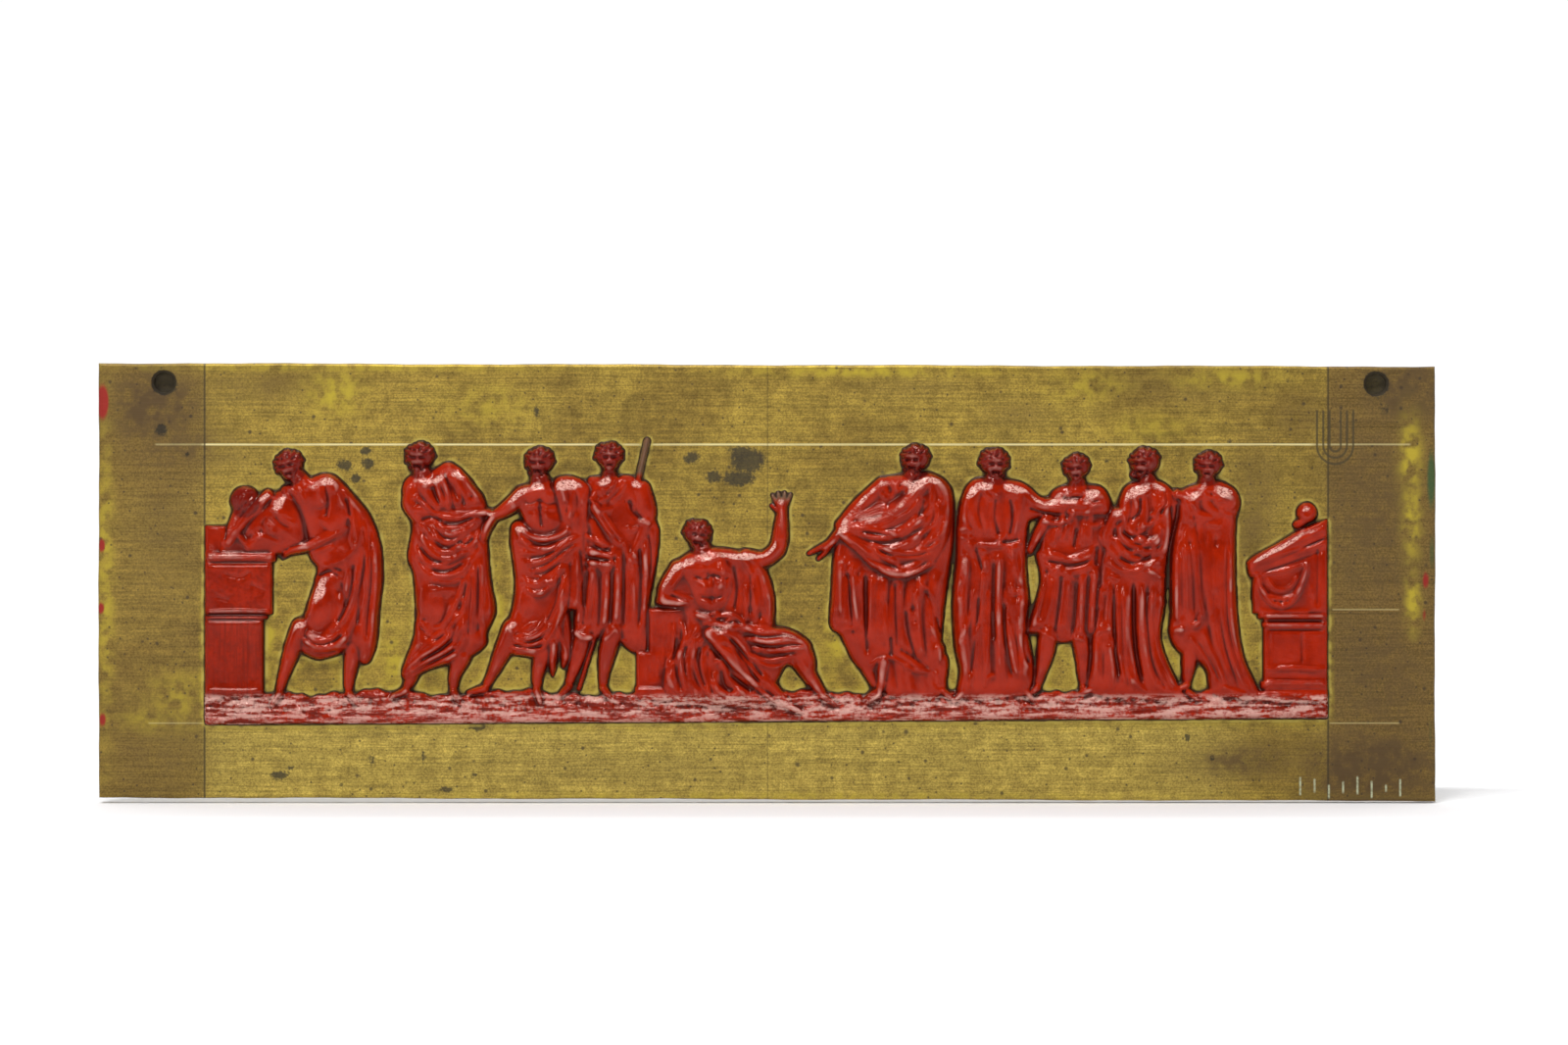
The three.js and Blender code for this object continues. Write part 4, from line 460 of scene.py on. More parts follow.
def bare_chest():
    """The bare-chested one."""
    limb((-36.4, -7, -38, -10.4, -39.4, -13.4, -40.6, -15.6), [1.7, 1.3, 0.8, 0.55], 0.35, 0.85)
    foot(-40.4, -15.5, 195, 2.4, 0.5)
    limb((-31.4, -6.6, -32.2, -10.4, -32.9, -13.6, -33, -15.6), [1.6, 1.4, 0.85, 0.6], 0.4, 0.85)
    foot(-33, -15.8, -75, 1.9, 0.55)
    cloth((-36, 8.6, -36.9, 6, -36.2, 0, -36.7, -4.4, -38, -7.6, -38.4, -9.6, -37, -10.6, -35, -10.9,
        -33, -11.2, -31.6, -10, -31.4, -12, -30.7, -14, -29.9, -11, -29.4, -8.8, -28.4, -4.6, -26.4, -4,
        -26, 2, -25.4, 8, -25, 12.4, -26, 14.2, -28.4, 15.1, -30.6, 14.4, -31, 11, -31, 8), 1.45, 2.2, [
        sheaf((-30.4, 14.4, -29.4, 11.6, -28.6, 8.2), (-26.2, 13.6, -26.2, 9.6, -26.8, 6.4), 4, 0.5,
            0.52),
        sheaf((-35.8, 8.4, -34.6, 5.6, -31.6, 4.4, -28.2, 6.4),
            (-35.6, 2.4, -32, 2.8, -29, 5, -26.2, 6.6), 4, 0.42, 0.52),
        sheaf((-35.4, -0.8, -33.2, -1.8, -31, -0.4, -29.8, 1.4), (-35.4, 1.8, -32.6, 1, -30.2, 2.6,
            -28, 4.4), 3, 0.4, 0.52),
        sheaf((-29.4, 0, -30.6, -4, -33.2, -7.4, -37, -8.4), (-28.8, -3, -30, -6, -32.4, -9.6,
            -36, -10.4), 4, 0.42, 0.52),
        sheaf((-29.2, 2, -29.4, -3, -30.6, -7, -30.8, -13), (-26.2, 4, -26.6, -1, -27, -4.4), 4, 0.4,
            0.5)], 0.25)
    limb((-29.6, -4.6, -29.2, -8, -28.9, -10.6, -29.2, -12.4), [1.3, 1.3, 0.9, 0.3], 0.5, 0.6)
    oval(-34.2, -3, 2.0, 4.3, -6, 0.6, 1.3)
    cloth((-35.4, 13.6, -33, 14, -30.8, 13.6, -29.6, 11.4, -28.9, 8.2, -30, 6.8, -32, 6.2, -34.2, 7,
        -35.3, 9.2, -36.2, 11.6), 1.5, 2.0, [
        crease((-32.6, 12.6, -32.4, 9.6, -32.2, 7.2), 0.2, 0.4),
        crease((-34.6, 10.2, -33.4, 9.9, -32.4, 10.4, -31, 9.7, -29.8, 9.8), 0.16, 0.4)], 0.35)
    ridge((-35.4, 8.2, -34, 6.4, -31.6, 5.9, -29.4, 6.5, -28.2, 7.6), 0.3, 0.3)
    limb((-35, 12.2, -37.2, 10.4, -39.2, 9.2), [1.5, 1.2, 0.85], 0.9, 0.7)
    limb((-39.2, 9.2, -40.2, 7.4, -40.6, 6), [0.8, 0.8, 0.6], 1.2, 0.7)
    limb((-39.6, 9.6, -40.7, 9.2), [0.4, 0.3], 1.5, 0.7)
    limb((-32.6, 14.6, -32.4, 13), [1.4, 1.8], 0.7, 0.6)
    head(-32.7, 16.7, -0.3, 0, 0.85, 1.0, 0.45)


def staff_man():
    """The young man with the staff."""
    limb((-26.2, -7, -27, -10.4, -28, -13.6, -28.6, -15.2), [1.4, 1.25, 0.75, 0.55], 0.3, 0.8)
    foot(-28.4, -15.2, 225, 1.9, 0.45)
    limb((-22, -7, -22.9, -10.4, -23.4, -13.4, -23.5, -15.2), [1.5, 1.3, 0.8, 0.6], 0.3, 0.8)
    foot(-23.5, -15.4, -55, 1.9, 0.5)
    cloth((-26, 13.9, -24.4, 15, -22, 14.8, -20.4, 15.2, -18.6, 14.6, -17.2, 12, -15.8, 8.4, -15.4, 6.4,
        -15.9, 2, -16.9, -3.8, -17.6, -9.4, -19, -10.4, -20.6, -9.4, -22.2, -7.2, -24.6, -8.6, -27.4, -8,
        -27.8, -5, -27, 0, -26.4, 6), 1.1, 1.9, [
        sheaf((-25.6, 12.8, -24, 11, -22.6, 9.2), (-21.4, 15, -22.6, 12.6, -24.6, 11.4), 3, 0.28, 0.5),
        sheaf((-26.4, 9, -25.4, 5, -24.6, 3.4), (-24.6, 10, -22.4, 7, -21, 5.4), 3, 0.35, 0.5),
        sheaf((-26, 2.4, -26.6, -2, -27.2, -7), (-17.4, 6, -17.4, 0, -18, -8.6), 8, 0.4, 0.5),
        sheaf((-26, 4.6, -23.6, 3.4, -21.4, 4.4), (-25.6, 3, -23.6, 2, -21.6, 2.8), 2, 0.4, 0.5),
        crease((-19.9, 12, -18.8, 10, -17.6, 8.6), 0.25, 0.35)], 0.0)
    limb((-17.2, 20, -18.4, 14.6, -19.2, 9.7, -25.8, -11.8, -27, -15.6), [0.46, 0.42, 0.38, 0.33, 0.33],
        0.75, 1.0)
    limb((-18, 13, -17.2, 10, -17.4, 8), [1.4, 1.4, 1.1], 0.5, 0.6)
    limb((-24.6, 10.4, -23, 8.2, -21.2, 5.6), [1.1, 1, 0.75], 0.85, 0.65)
    limb((-17.4, 8, -18.4, 5.4, -19.4, 3.4), [0.95, 0.85, 0.6], 0.8, 0.7)
    hand(-20.6, 5.2, -50, 0.62, 6, 1.0, 1)
    oval(-19.2, 3.2, 0.95, 1.25, 0, 0.9, 0.9)
    dent(-19.3, 3.2, 0.2, 0.8, 0.3, 30)
    dent(-18.8, 2.8, 0.2, 0.7, 0.25, 30)
    cloth((-27.6, -7, -26, -7.6, -24.8, -7.6, -24.8, -8.6, -26.4, -8.8, -27.8, -8), 0.6, 0.6, [], 1.0)
    limb((-22.6, 15.2, -22.6, 13.6), [1.1, 1.5], 0.6, 0.6)
    head(-22.6, 17.5, 0.1, 0, 0, 0.97, 0.4)


def seated():
    """The seated man."""
    block(-18.8, -16.4, -13, -10.2, 0.95, 0.25)
    slab((-19, -15.2, -12.5, -15.2, -12.5, -17.2, -19, -17.2), 1.15, 0.25)
    block(-17, -11, -11, -3.9, 0.9, 0.3)
    slab((-18.8, -10.4, -17.2, -10.2, -16.9, -4, -17.1, -3.9, -18, -8), 0.6, 0.25)
    for k in range(7):
        line_cut([[-16.6 + 0.75 * k, -5], [-16.9 + 0.75 * k, -14.6]], 0.12, 0.18)
    limb((-5.7, -7.5, -2.4, -12, 1.2, -16.2, 3.6, -18.2), [2.4, 1.7, 1.1, 0.75], 0.7, 0.75)
    foot(3, -18, -25, 2.2, 0.6)
    cloth((-14.4, 1, -12.8, 2.8, -11, 4.2, -8.4, 4.8, -5.4, 4.6, -2.6, 4, -0.8, 3, 0.4, 0.6, 1.2, -2.8,
        1.2, -6.8, 3, -7.4, 5.4, -8.5, 6.8, -10.4, 7, -13.2, 6, -15.2, 3.2, -12.2, 1.6, -14.4, 0.6, -17.6,
        -2.6, -18.4, -7, -18.3, -12, -18, -14.6, -16.6, -15, -13.6, -13, -9.4, -12, -5.4, -13.6, -3.4,
        -15.9, -3.4, -15.4, -1),
          1.35, 2.4, [
        sheaf((-9.6, -6.4, -12.4, -10, -13.8, -13, -14, -16.6), (-6.6, -8.4, -8.8, -12, -7.6, -15.6,
            -3.6, -17.9), 5, 0.5, 0.55),
        sheaf((-6, -9.6, -6, -13, -3, -16.4, 0, -17.4), (-1.6, -9.4, -1.8, -12, -0.4, -14.4, 1, -16), 4,
            0.42, 0.52),
        sheaf((-2.8, 3.6, -2, 0, -2.4, -4.4), (0.2, 1.6, 0.6, -2, 0.9, -6), 3, 0.35, 0.52),
        sheaf((-10.2, -4.6, -6.6, -6.2, -2.6, -6.6, 1.6, -7.4),
            (-9.6, -6.2, -6, -8.2, -2, -8.4, 4.6, -9.2), 3, 0.5, 0.55),
        sheaf((-0.6, -9.6, 2, -9.6, 4.8, -11.4, 6.4, -14), (0.6, -8.2, 3, -8.6, 5.6, -10, 6.8, -12.8), 2,
            0.35, 0.5)], 0.2)
    limb((-1, -7.9, 2.6, -8.6, 4.6, -9.6), [1.6, 1.8, 1.7], 1.05, 0.6)
    limb((4.8, -9.8, 5.6, -12.6, 7.2, -15.2, 8.3, -16.6), [1.7, 1.2, 0.85, 0.6], 0.7, 0.75)
    foot(8, -16.6, -35, 2.2, 0.6)
    cloth((-13.8, 1.6, -12, 3.6, -9.4, 4.6, -6.8, 4.6, -5, 2, -4.8, -1.6, -6, -4.4, -8.6, -5, -10.6, -3.4,
        -11.8, -0.6), 1.7, 2.2, [
        crease((-8.6, 3.4, -8.4, 0, -8, -3.6), 0.22, 0.35),
        crease((-11.2, 0.9, -9.8, 0.5, -8.5, 1, -7, 0.6, -5.6, 0.9), 0.18, 0.35),
        crease((-10, -2.2, -8.2, -2.7, -6, -2.2), 0.18, 0.35),
        sheaf((-6.8, 4.2, -6.2, 1.6, -6.6, -1.6), (-5.4, 4, -5.2, 1.4, -5.6, -2.4), 2, 0.3, 0.5)], 0.45)
    limb((-12.6, 1.6, -14.2, -0.8, -14.8, -2.6), [1.5, 1.35, 1.1], 1.0, 0.65)
    limb((-14.8, -2.7, -12.8, -3.1, -10.8, -3.1), [1.1, 0.85, 0.65], 1.2, 0.65)
    hand(-11, -3.1, -8, 0.62, 6, 1.3, 1)
    limb((-3, 3.2, -0.6, 3, 1.4, 4.4, 2, 6.6), [1.4, 1.25, 1.3, 1.2], 0.7, 0.65)
    limb((1.9, 6, 2.1, 8.4, 2.2, 10), [1.25, 1, 0.75], 0.7, 0.7)
    hand(2.2, 9.5, 92, 1.3, 17, 0.5, 1)
    cloth((-10, -4.2, -7, -5.2, -4, -5.8, -1.6, -6.4, -2, -7.6, -5, -7.4, -8.6, -6.4, -10.6, -5.2), 0.9,
        0.7, [
        sheaf((-9.8, -4.8, -6, -5.8, -2.4, -6.6), (-9.6, -5.6, -6, -6.8, -2.4, -7.3), 2, 0.35, 0.5)], 1.2)
    limb((-9.4, 4.9, -9, 3.2), [1.3, 1.7], 0.8, 0.6)
    head(-9.95, 6.4, 0.25, -8, 0.7, 0.97, 0.5)


def orator():
    """The speaker."""
    cloth((14.4, -10.6, 14.9, -12.6, 16.2, -14.2, 17.2, -16.6, 20.6, -17, 24.6, -17, 25.8, -14.6,
        25, -10), 1, 0.9, [
        sheaf((17, -11, 17.6, -13.4, 18, -16.6), (24, -11, 23.6, -14, 24.4, -16.6), 5, 0.26, 0.5)], 0.15)
    limb((14.4, -12.6, 15.4, -14.6, 15.9, -15.8), [1, 0.8, 0.6], 0.4, 0.8)
    foot(15.8, -15.9, 215, 2.2, 0.5)
    limb((24, -10, 24.6, -13.6, 25.2, -15.8), [1.6, 1.1, 0.75], 0.4, 0.8)
    foot(25.3, -15.9, -38, 2.2, 0.5)
    cloth((10, 6, 9.4, 2, 9.2, -2, 9, -6.4, 10.4, -7.8, 11.2, -9.4, 12.6, -12, 14.8, -13.6, 17.4, -12.4,
        19.6, -12.8, 21.4, -14.4, 24.6, -14.8, 25.8, -14.6, 25.2, -9, 25.4, -5, 26.2, 1, 26.9, 6,
        26.9, 11, 26.4, 13.4, 25, 14.9, 22.8, 15.6, 18.8, 15.2, 16.4, 14.6, 14.8, 11.8, 11.6, 9.8), 1.35,
        2.3, [
        sheaf((11.6, 1, 11.2, -3, 11.4, -7), (24.6, 1.6, 23.6, -5, 24.2, -13), 8, 0.42, 0.5),
        sheaf((10.6, 3.6, 10.2, 0, 10, -5.6), (12.6, 3, 12, -1, 12, -8), 2, 0.4, 0.5),
        crease((18.6, -9.4, 21.6, -11.4, 24.4, -13.6), 0.35, 0.4)], 0.1)
    oval(17.4, -6.2, 2.3, 4.8, 6, 0.5, 1.25)
    cloth((9.8, 6.4, 10.2, 7.6, 13.2, 9.4, 16.6, 10.8, 18.8, 11.8, 20.8, 14, 22, 15.2, 24.2, 15.2,
        26.2, 13.2, 26.6, 9, 25.8, 5, 23.6, 1.8, 20.8, 0.2, 18, 0, 15.2, 1.4, 12.4, 4), 0.95, 1.4, [
        sheaf((10.8, 5.8, 14.4, 2.4, 18.4, 0.8, 22.8, 2.2), (12.4, 8.2, 16.4, 8.8, 20.4, 11.4,
            22.8, 14.6), 6, 0.5, 0.55),
        sheaf((22.4, 3, 25, 6.6, 25.2, 11), (20.4, 5, 23.2, 8.6, 23.8, 13), 3, 0.36, 0.52)], 1.0)
    limb((16.6, 13.6, 13.2, 10.4, 10.8, 7.8), [1.3, 1.35, 1.1], 0.6, 0.6)
    limb((10.8, 7.2, 9.4, 5.6, 8.4, 4.6), [0.95, 0.75, 0.62], 0.8, 0.7)
    hand(8.9, 5.0, 213, 0.62, 4, 0.6, -1)
    limb((8.9, 5.4, 7.5, 4.6, 6, 3.85), [0.5, 0.42, 0.3], 0.7, 0.8)
    limb((8.9, 4.6, 8.2, 3.8, 7.4, 3.1), [0.42, 0.36, 0.28], 0.7, 0.8)
    limb((21, 15.4, 20.4, 13.4), [1.2, 1.8], 0.7, 0.6)
    cloth((18.4, 15, 20, 14.4, 21.6, 13.6, 20.4, 12, 18.6, 11.6, 16.8, 12.2, 16.8, 14.2), 1.2, 1.6, [],
        0.3)
    head(21.2, 17.1, -0.55, 0, 0.8, 1.0, 0.5)


def listener():
    """The man beside the speaker, turned away to the group."""
    foot(28.2, -16, 225, 1.9, 0.5)
    foot(37, -15.6, -55, 2, 0.5)
    cloth((31.2, 14.8, 29.2, 14.2, 27.9, 12, 27.2, 8, 27.1, 3, 26.6, -3, 26.9, -9.4, 27.6, -13,
        27.3, -16.6, 30, -17.4, 34.4, -17, 37.6, -16.4, 38.4, -13, 37.9, -9.4, 37.4, -6.4, 37.7, -2.8,
        37.3, 2, 37.5, 7.6, 38.6, 8.8, 42, 9.2, 44.6, 9.6, 44.8, 11.6, 41.6, 12, 39.4, 12, 37.2, 13.8,
        35, 14.5), 1.4, 2.2, [
        sheaf((30, 13.4, 29.4, 10, 30.6, 6.4), (36.4, 13.2, 36, 9.6, 35.2, 6), 5, 0.36, 0.5),
        sheaf((28.2, 4, 27.9, -4, 28.6, -16), (36.6, 4, 36.4, -5, 37, -16), 6, 0.42, 0.5),
        sheaf((36.4, 12.6, 39.4, 10.4, 43.6, 9.9), (37, 13, 40, 11.6, 43.8, 11.4), 3, 0.36, 0.5),
        sheaf((33, -3, 34.6, -9, 37.4, -14.6), (35.4, -2, 36.4, -7, 38, -11.6), 2, 0.3, 0.5)], 0.15)
    oval(34.6, -2.6, 1.7, 3.4, -6, 0.7, 1.15)
    limb((28.6, 5.6, 32, 4.8, 36.4, 5.4), [0.5, 0.55, 0.5], 1.3, 0.9)
    limb((29.4, 12.2, 28.7, 8.6, 29, 5.4), [1.3, 1.2, 1], 0.8, 0.65)
    limb((29, 5.2, 30.4, 2.8, 31.2, 1), [0.95, 0.75, 0.6], 1.15, 0.7)
    hand(30.9, 1.6, -75, 0.62, 6, 1.2, 1)
    limb((32.6, 14.8, 32.6, 13.2), [1.3, 1.8], 0.7, 0.6)
    head(32.7, 16.5, 0.2, 0, 1, 1.03, 0.5)


def youth():
    """The youth in the short tunic."""
    limb((40.4, -7.4, 40, -10.4, 39.3, -13.4, 38.8, -15.2), [1.5, 1.3, 0.8, 0.6], 0.25, 0.8)
    foot(38.8, -15.4, 220, 1.7, 0.4)
    limb((44.8, -7.4, 45.3, -10.4, 45.4, -13.6, 45.6, -15.4), [1.4, 1.2, 0.8, 0.6], 0.25, 0.8)
    foot(45.4, -15.4, -95, 1.6, 0.4)
    cloth((42.8, 13.7, 40.8, 12.6, 39.6, 9.6, 39.2, 5, 38.6, 3.6, 39.2, -0.4, 37.6, -5.6, 37, -7.4,
        39.6, -8, 42.2, -9, 44.6, -8.6, 47.6, -8.4, 48.4, -3, 49.2, 4, 49.8, 9.6, 48.6, 13, 46.4, 13.8),
        1.0, 1.8, [
        sheaf((41.6, 12.6, 42.6, 10, 41.6, 6), (47.8, 12.6, 46.4, 9, 46, 5), 5, 0.34, 0.5),
        sheaf((40.2, 1.6, 39.4, -3, 38.6, -7.4), (47, 2, 46.6, -3, 46.4, -8), 5, 0.4, 0.5),
        sheaf((39.4, 4, 43, 2.8, 47.4, 4.2), (39.6, 2.4, 43, 1.2, 47.4, 2.6), 2, 0.4, 0.5)], 0.0)
    limb((40.4, 9.4, 39, 6.8, 37.8, 4.4), [0.95, 0.8, 0.6], 0.6, 0.7)
    hand(38.2, 5, 240, 0.6, 6, 0.6, -1)
    cloth((44.4, 12.4, 47, 13.2, 48.8, 12, 49.2, 9.6, 47, 9.2, 43.6, 9, 42.4, 10.4), 0.7, 1.2, [
        sheaf((43, 10, 46, 9.8, 48.8, 10), (44.4, 11.8, 46.6, 12, 48.4, 11.8), 3, 0.36, 0.5)], 0.75)
    limb((44.6, 14, 44.6, 12.8), [1.2, 1.5], 0.5, 0.6)
    head(44.4, 15.9, -0.35, 6, 0, 0.92, 0.35)


def elder():
    """The old man in profile."""
    foot(46.6, -15.6, 200, 1.7, 0.5)
    foot(60.4, -16, -35, 1.9, 0.5)
    cloth((52, 13.9, 50.7, 12.2, 49.9, 9.4, 48.5, 7.8, 48.2, 4.8, 47.6, 1.6, 47.2, -4, 46.5, -8,
        46.3, -12, 46, -16, 50, -17, 55, -17.4, 60.6, -17.4, 59.4, -15.4, 57.2, -10.6, 56.6, -7.4,
        57.2, -3.4, 57.4, 2, 58.6, 8, 59, 11.4, 57.6, 13.6, 55.4, 14.5),
          1.5, 2.4, [
        sheaf((51.4, 12.8, 51.2, 9.6, 49.8, 7), (56.6, 13.4, 57.4, 8.4, 57.2, 3), 5, 0.44, 0.52),
        sheaf((48.4, 6.2, 51, 2.6, 54.2, 1, 57, 1.6), (50.6, 9, 52.4, 6.6, 54.6, 5.4, 57, 6), 4, 0.42,
            0.52),
        sheaf((48, 0, 47.4, -6, 47, -15.6), (56.4, -2, 56.4, -9, 59.6, -16.6), 7, 0.42, 0.5),
        crease((52.6, 0.6, 52.6, -5, 52.9, -10.4, 53.8, -15), 0.5, 0.4)], 0.2)
    oval(48.9, -8.6, 1.7, 4.6, 2, 0.8, 1.2)
    limb((48.6, 2.6, 51.4, 1, 54.6, 0.2, 57, 0.6), [0.5, 0.6, 0.6, 0.4], 1.35, 0.8)
    limb((50.2, 9.4, 49, 6.4, 49.4, 3.8), [1.2, 1.1, 0.9], 1.0, 0.6)
    limb((54.6, 14.4, 54.8, 13), [1.3, 1.8], 0.7, 0.6)
    head(54, 16.6, -0.85, 0, 1, 1.03, 0.5)


def cloaked():
    """The last one, in a long cloak."""
    limb((60.8, -8.4, 60.6, -12, 60.2, -14.6), [1.3, 1.1, 0.7], 0.25, 0.8)
    foot(60.3, -15, 205, 1.9, 0.4)
    cloth((62, 14, 60, 13.3, 58.7, 12.2, 58.8, 9, 58, 5, 57.8, 0, 58, -4, 57.7, -7.6, 59, -10.2,
        61.4, -11.4, 63, -13, 63.8, -16.4, 67, -17.2, 71.2, -17.4, 70.2, -14.8, 68.6, -11.2, 67.8, -7,
        67.4, -1.6, 67.3, 4, 67.4, 8.6, 68, 11, 67.4, 12.9, 65.8, 14, 64, 14.4), 1.35, 2.2, [
        sheaf((60, 12.4, 60.2, 9, 63.4, 8.6), (64.6, 13.6, 64.6, 11.6, 65.8, 9.8), 4, 0.34, 0.5),
        sheaf((59.4, 6, 59, 0, 59.8, -8), (62.6, 6, 62.6, 0, 62.2, -6.6), 3, 0.42, 0.5),
        sheaf((63.8, 6, 63.6, -2, 64.2, -9, 66, -16.4), (66.6, 6.4, 66.4, -1, 67, -9, 70, -16.4), 4, 0.42,
            0.5)], 0.1)
    cloth((58.3, 4, 60, 8.6, 62.6, 9.6, 63, 4, 62.6, -2, 62.2, -5.6, 60.4, -7.4, 58.2, -5.6, 57.9, -1),
        0.6, 1.0, [
        sheaf((59.2, 4.6, 59, -1, 59.4, -5.6), (61.8, 7, 61.8, 0, 61.4, -5.6), 3, 0.36, 0.5)], 0.95)
    oval(66, 11.2, 1.7, 1.7, 0, 0.7, 1.15)
    dent(66, 11.4, 0.9, 0.25, 0.3, 25)
    limb((58.9, 12.4, 61.4, 11.2, 64.4, 11), [0.8, 0.9, 0.9], 0.9, 0.7)
    limb((63.2, 14.4, 63.2, 13), [1.2, 1.6], 0.6, 0.6)
    head(63.3, 16.2, -0.3, 0, 0, 0.95, 0.4)


def lectern():
    """Lectern at the right."""
    slab((68.8, 2.7, 70, 3.7, 73.1, 5.3, 76, 7.1, 78.9, 8.3, 80.5, 8.9, 80.5, 6.2, 69, 0.9), 1.35, 0.35)
    slab((69, 1.6, 80.5, 6.2, 80.5, 4.4, 69.3, 0.3), 1.1, 0.3)
    slab((69.7, 0.6, 80.5, 4.6, 80.5, -4.8, 69.7, -4.8), 1.05, 0.25)
    ridge((69.2, 2.6, 74, 4.6, 80.3, 7.6), 0.3, 0.35)
    ridge((69.2, 1.3, 75, 3.4, 80.3, 5.2), 0.3, 0.3)
    oval(77.5, 9.7, 1.5, 1.5, 0, 0.4, 1.0)
    limb((76.2, 8, 77.3, 8.6), [0.7, 0.6], 0.4, 0.9)
    dent(77.5, 9.7, 0.5, 0.5, 0.3)
    limb((70.4, 0.2, 71.6, -2.5, 73.8, -3.6, 76, -2.2, 77.2, 1.4), [0.35, 0.6, 0.75, 0.6, 0.35], 1.0, 0.7)
    for k in range(7):
        dent(70.9 + 0.95 * k, 0.1 - 3.4 * math.sin(math.pi * (k + 0.5) / 7), 0.2, 0.45, 0.25, 40 - 13 * k)
    limb((70, 0.4, 69.9, -2.6), [0.3, 0.35], 1.0, 0.6)
    limb((78, 1.8, 78.2, -2.2), [0.3, 0.4], 1.0, 0.6)
    block(70.4, -5.5, 80.5, -4.7, 1.45, 0.35)
    block(71, -6.7, 80.5, -6.0, 1.3, 0.3)
    block(71.2, -16.8, 80.5, -5.2, 0.95, 0.25)
    block(71.2, -13.1, 80.5, -12.3, 1.2, 0.3)
    block(70.8, -15.6, 80.5, -14.4, 1.3, 0.3)
    block(70.4, -17.4, 80.5, -15.8, 1.2, 0.3)
    line_cut((76.7, -7.2, 76.7, -12), 0.2, 0.22)
    line_cut((72.2, -7.2, 72.2, -12), 0.16, 0.22)


def pressed(rise, width, *lines):
    """Several thin folds of one rise and width; below nothing, they are cut in."""
    for line in lines:
        ridge(line, rise, width)


def soft_lumps(rise, *places):
    """Soft lumps, each with its middle, two radii and turn; below nothing, they are hollows."""
    for x, z, rx, rz, turn in places:
        dent(x, z, rx, rz, -rise, turn)


# ---- finer folds, one function for each figure ----
def fine_pedestal():
    pressed(0.16, 0.2, (-80.2, 2.9, -75, 3.0, -70.6, 2.8), (-80.2, -4.5, -76, -4.3, -71, -4.6),
            (-80.2, -5.3, -76, -5.4, -71.8, -5.3), (-80.4, -15.8, -76, -15.9, -72.4, -15.8))
    pressed(-0.14, 0.2, (-80.2, 2.3, -71, 2.3), (-80.2, -4.95, -71.2, -4.95), (-74, -9, -73.8, -15))
    pressed(-0.1, 0.3, (-78, 1, -75.6, 0.4, -74, 1.2), (-74, -0.6, -72, -1.6), (-79, -2.4, -77, -3))


def fine_weeper():
    head_places.append((-74.9, 11.5, 0.9))
    pressed(0.22, 0.2, (-71, 12.2, -70.1, 11.2, -69.8, 10.4), (-71.2, 9.4, -70.2, 8.1, -68.8, 7.1),
        (-71.9, 8.4, -71.3, 7.4, -70.2, 6.6),
            (-70.6, 10.2, -69.2, 8.8, -67.4, 8))
    pressed(-0.2, 0.24, (-70.6, 9.2, -69.6, 8.2, -68.2, 7.4), (-71.6, 9.2, -72.4, 8, -72.4, 6.6),
            (-72.3, 10.9, -74.4, 8.9, -76.4, 7), (-73.6, 12.6, -74.4, 11.4, -76.4, 9.6))
    pressed(0.26, 0.22, (-71.8, 12, -72.7, 10, -75, 8.3, -77, 6.4), (-76, 6.7, -75, 5.4, -74, 4.4),
            (-75.2, 12.8, -73.4, 12.9, -72.2, 12.4), (-77.2, 8.6, -77.8, 6.6, -78, 4.9))
    soft_lumps(0.3, (-69, 9.6, 1.7, 0.7, -30), (-70.4, 9.9, 0.7, 0.4, -20), (-72.8, 6.2, 0.5, 0.3, 0))
    soft_lumps(-0.25, (-74, 6.3, 0.7, 0.5, 30), (-71.8, 7.6, 0.8, 0.4, -50))


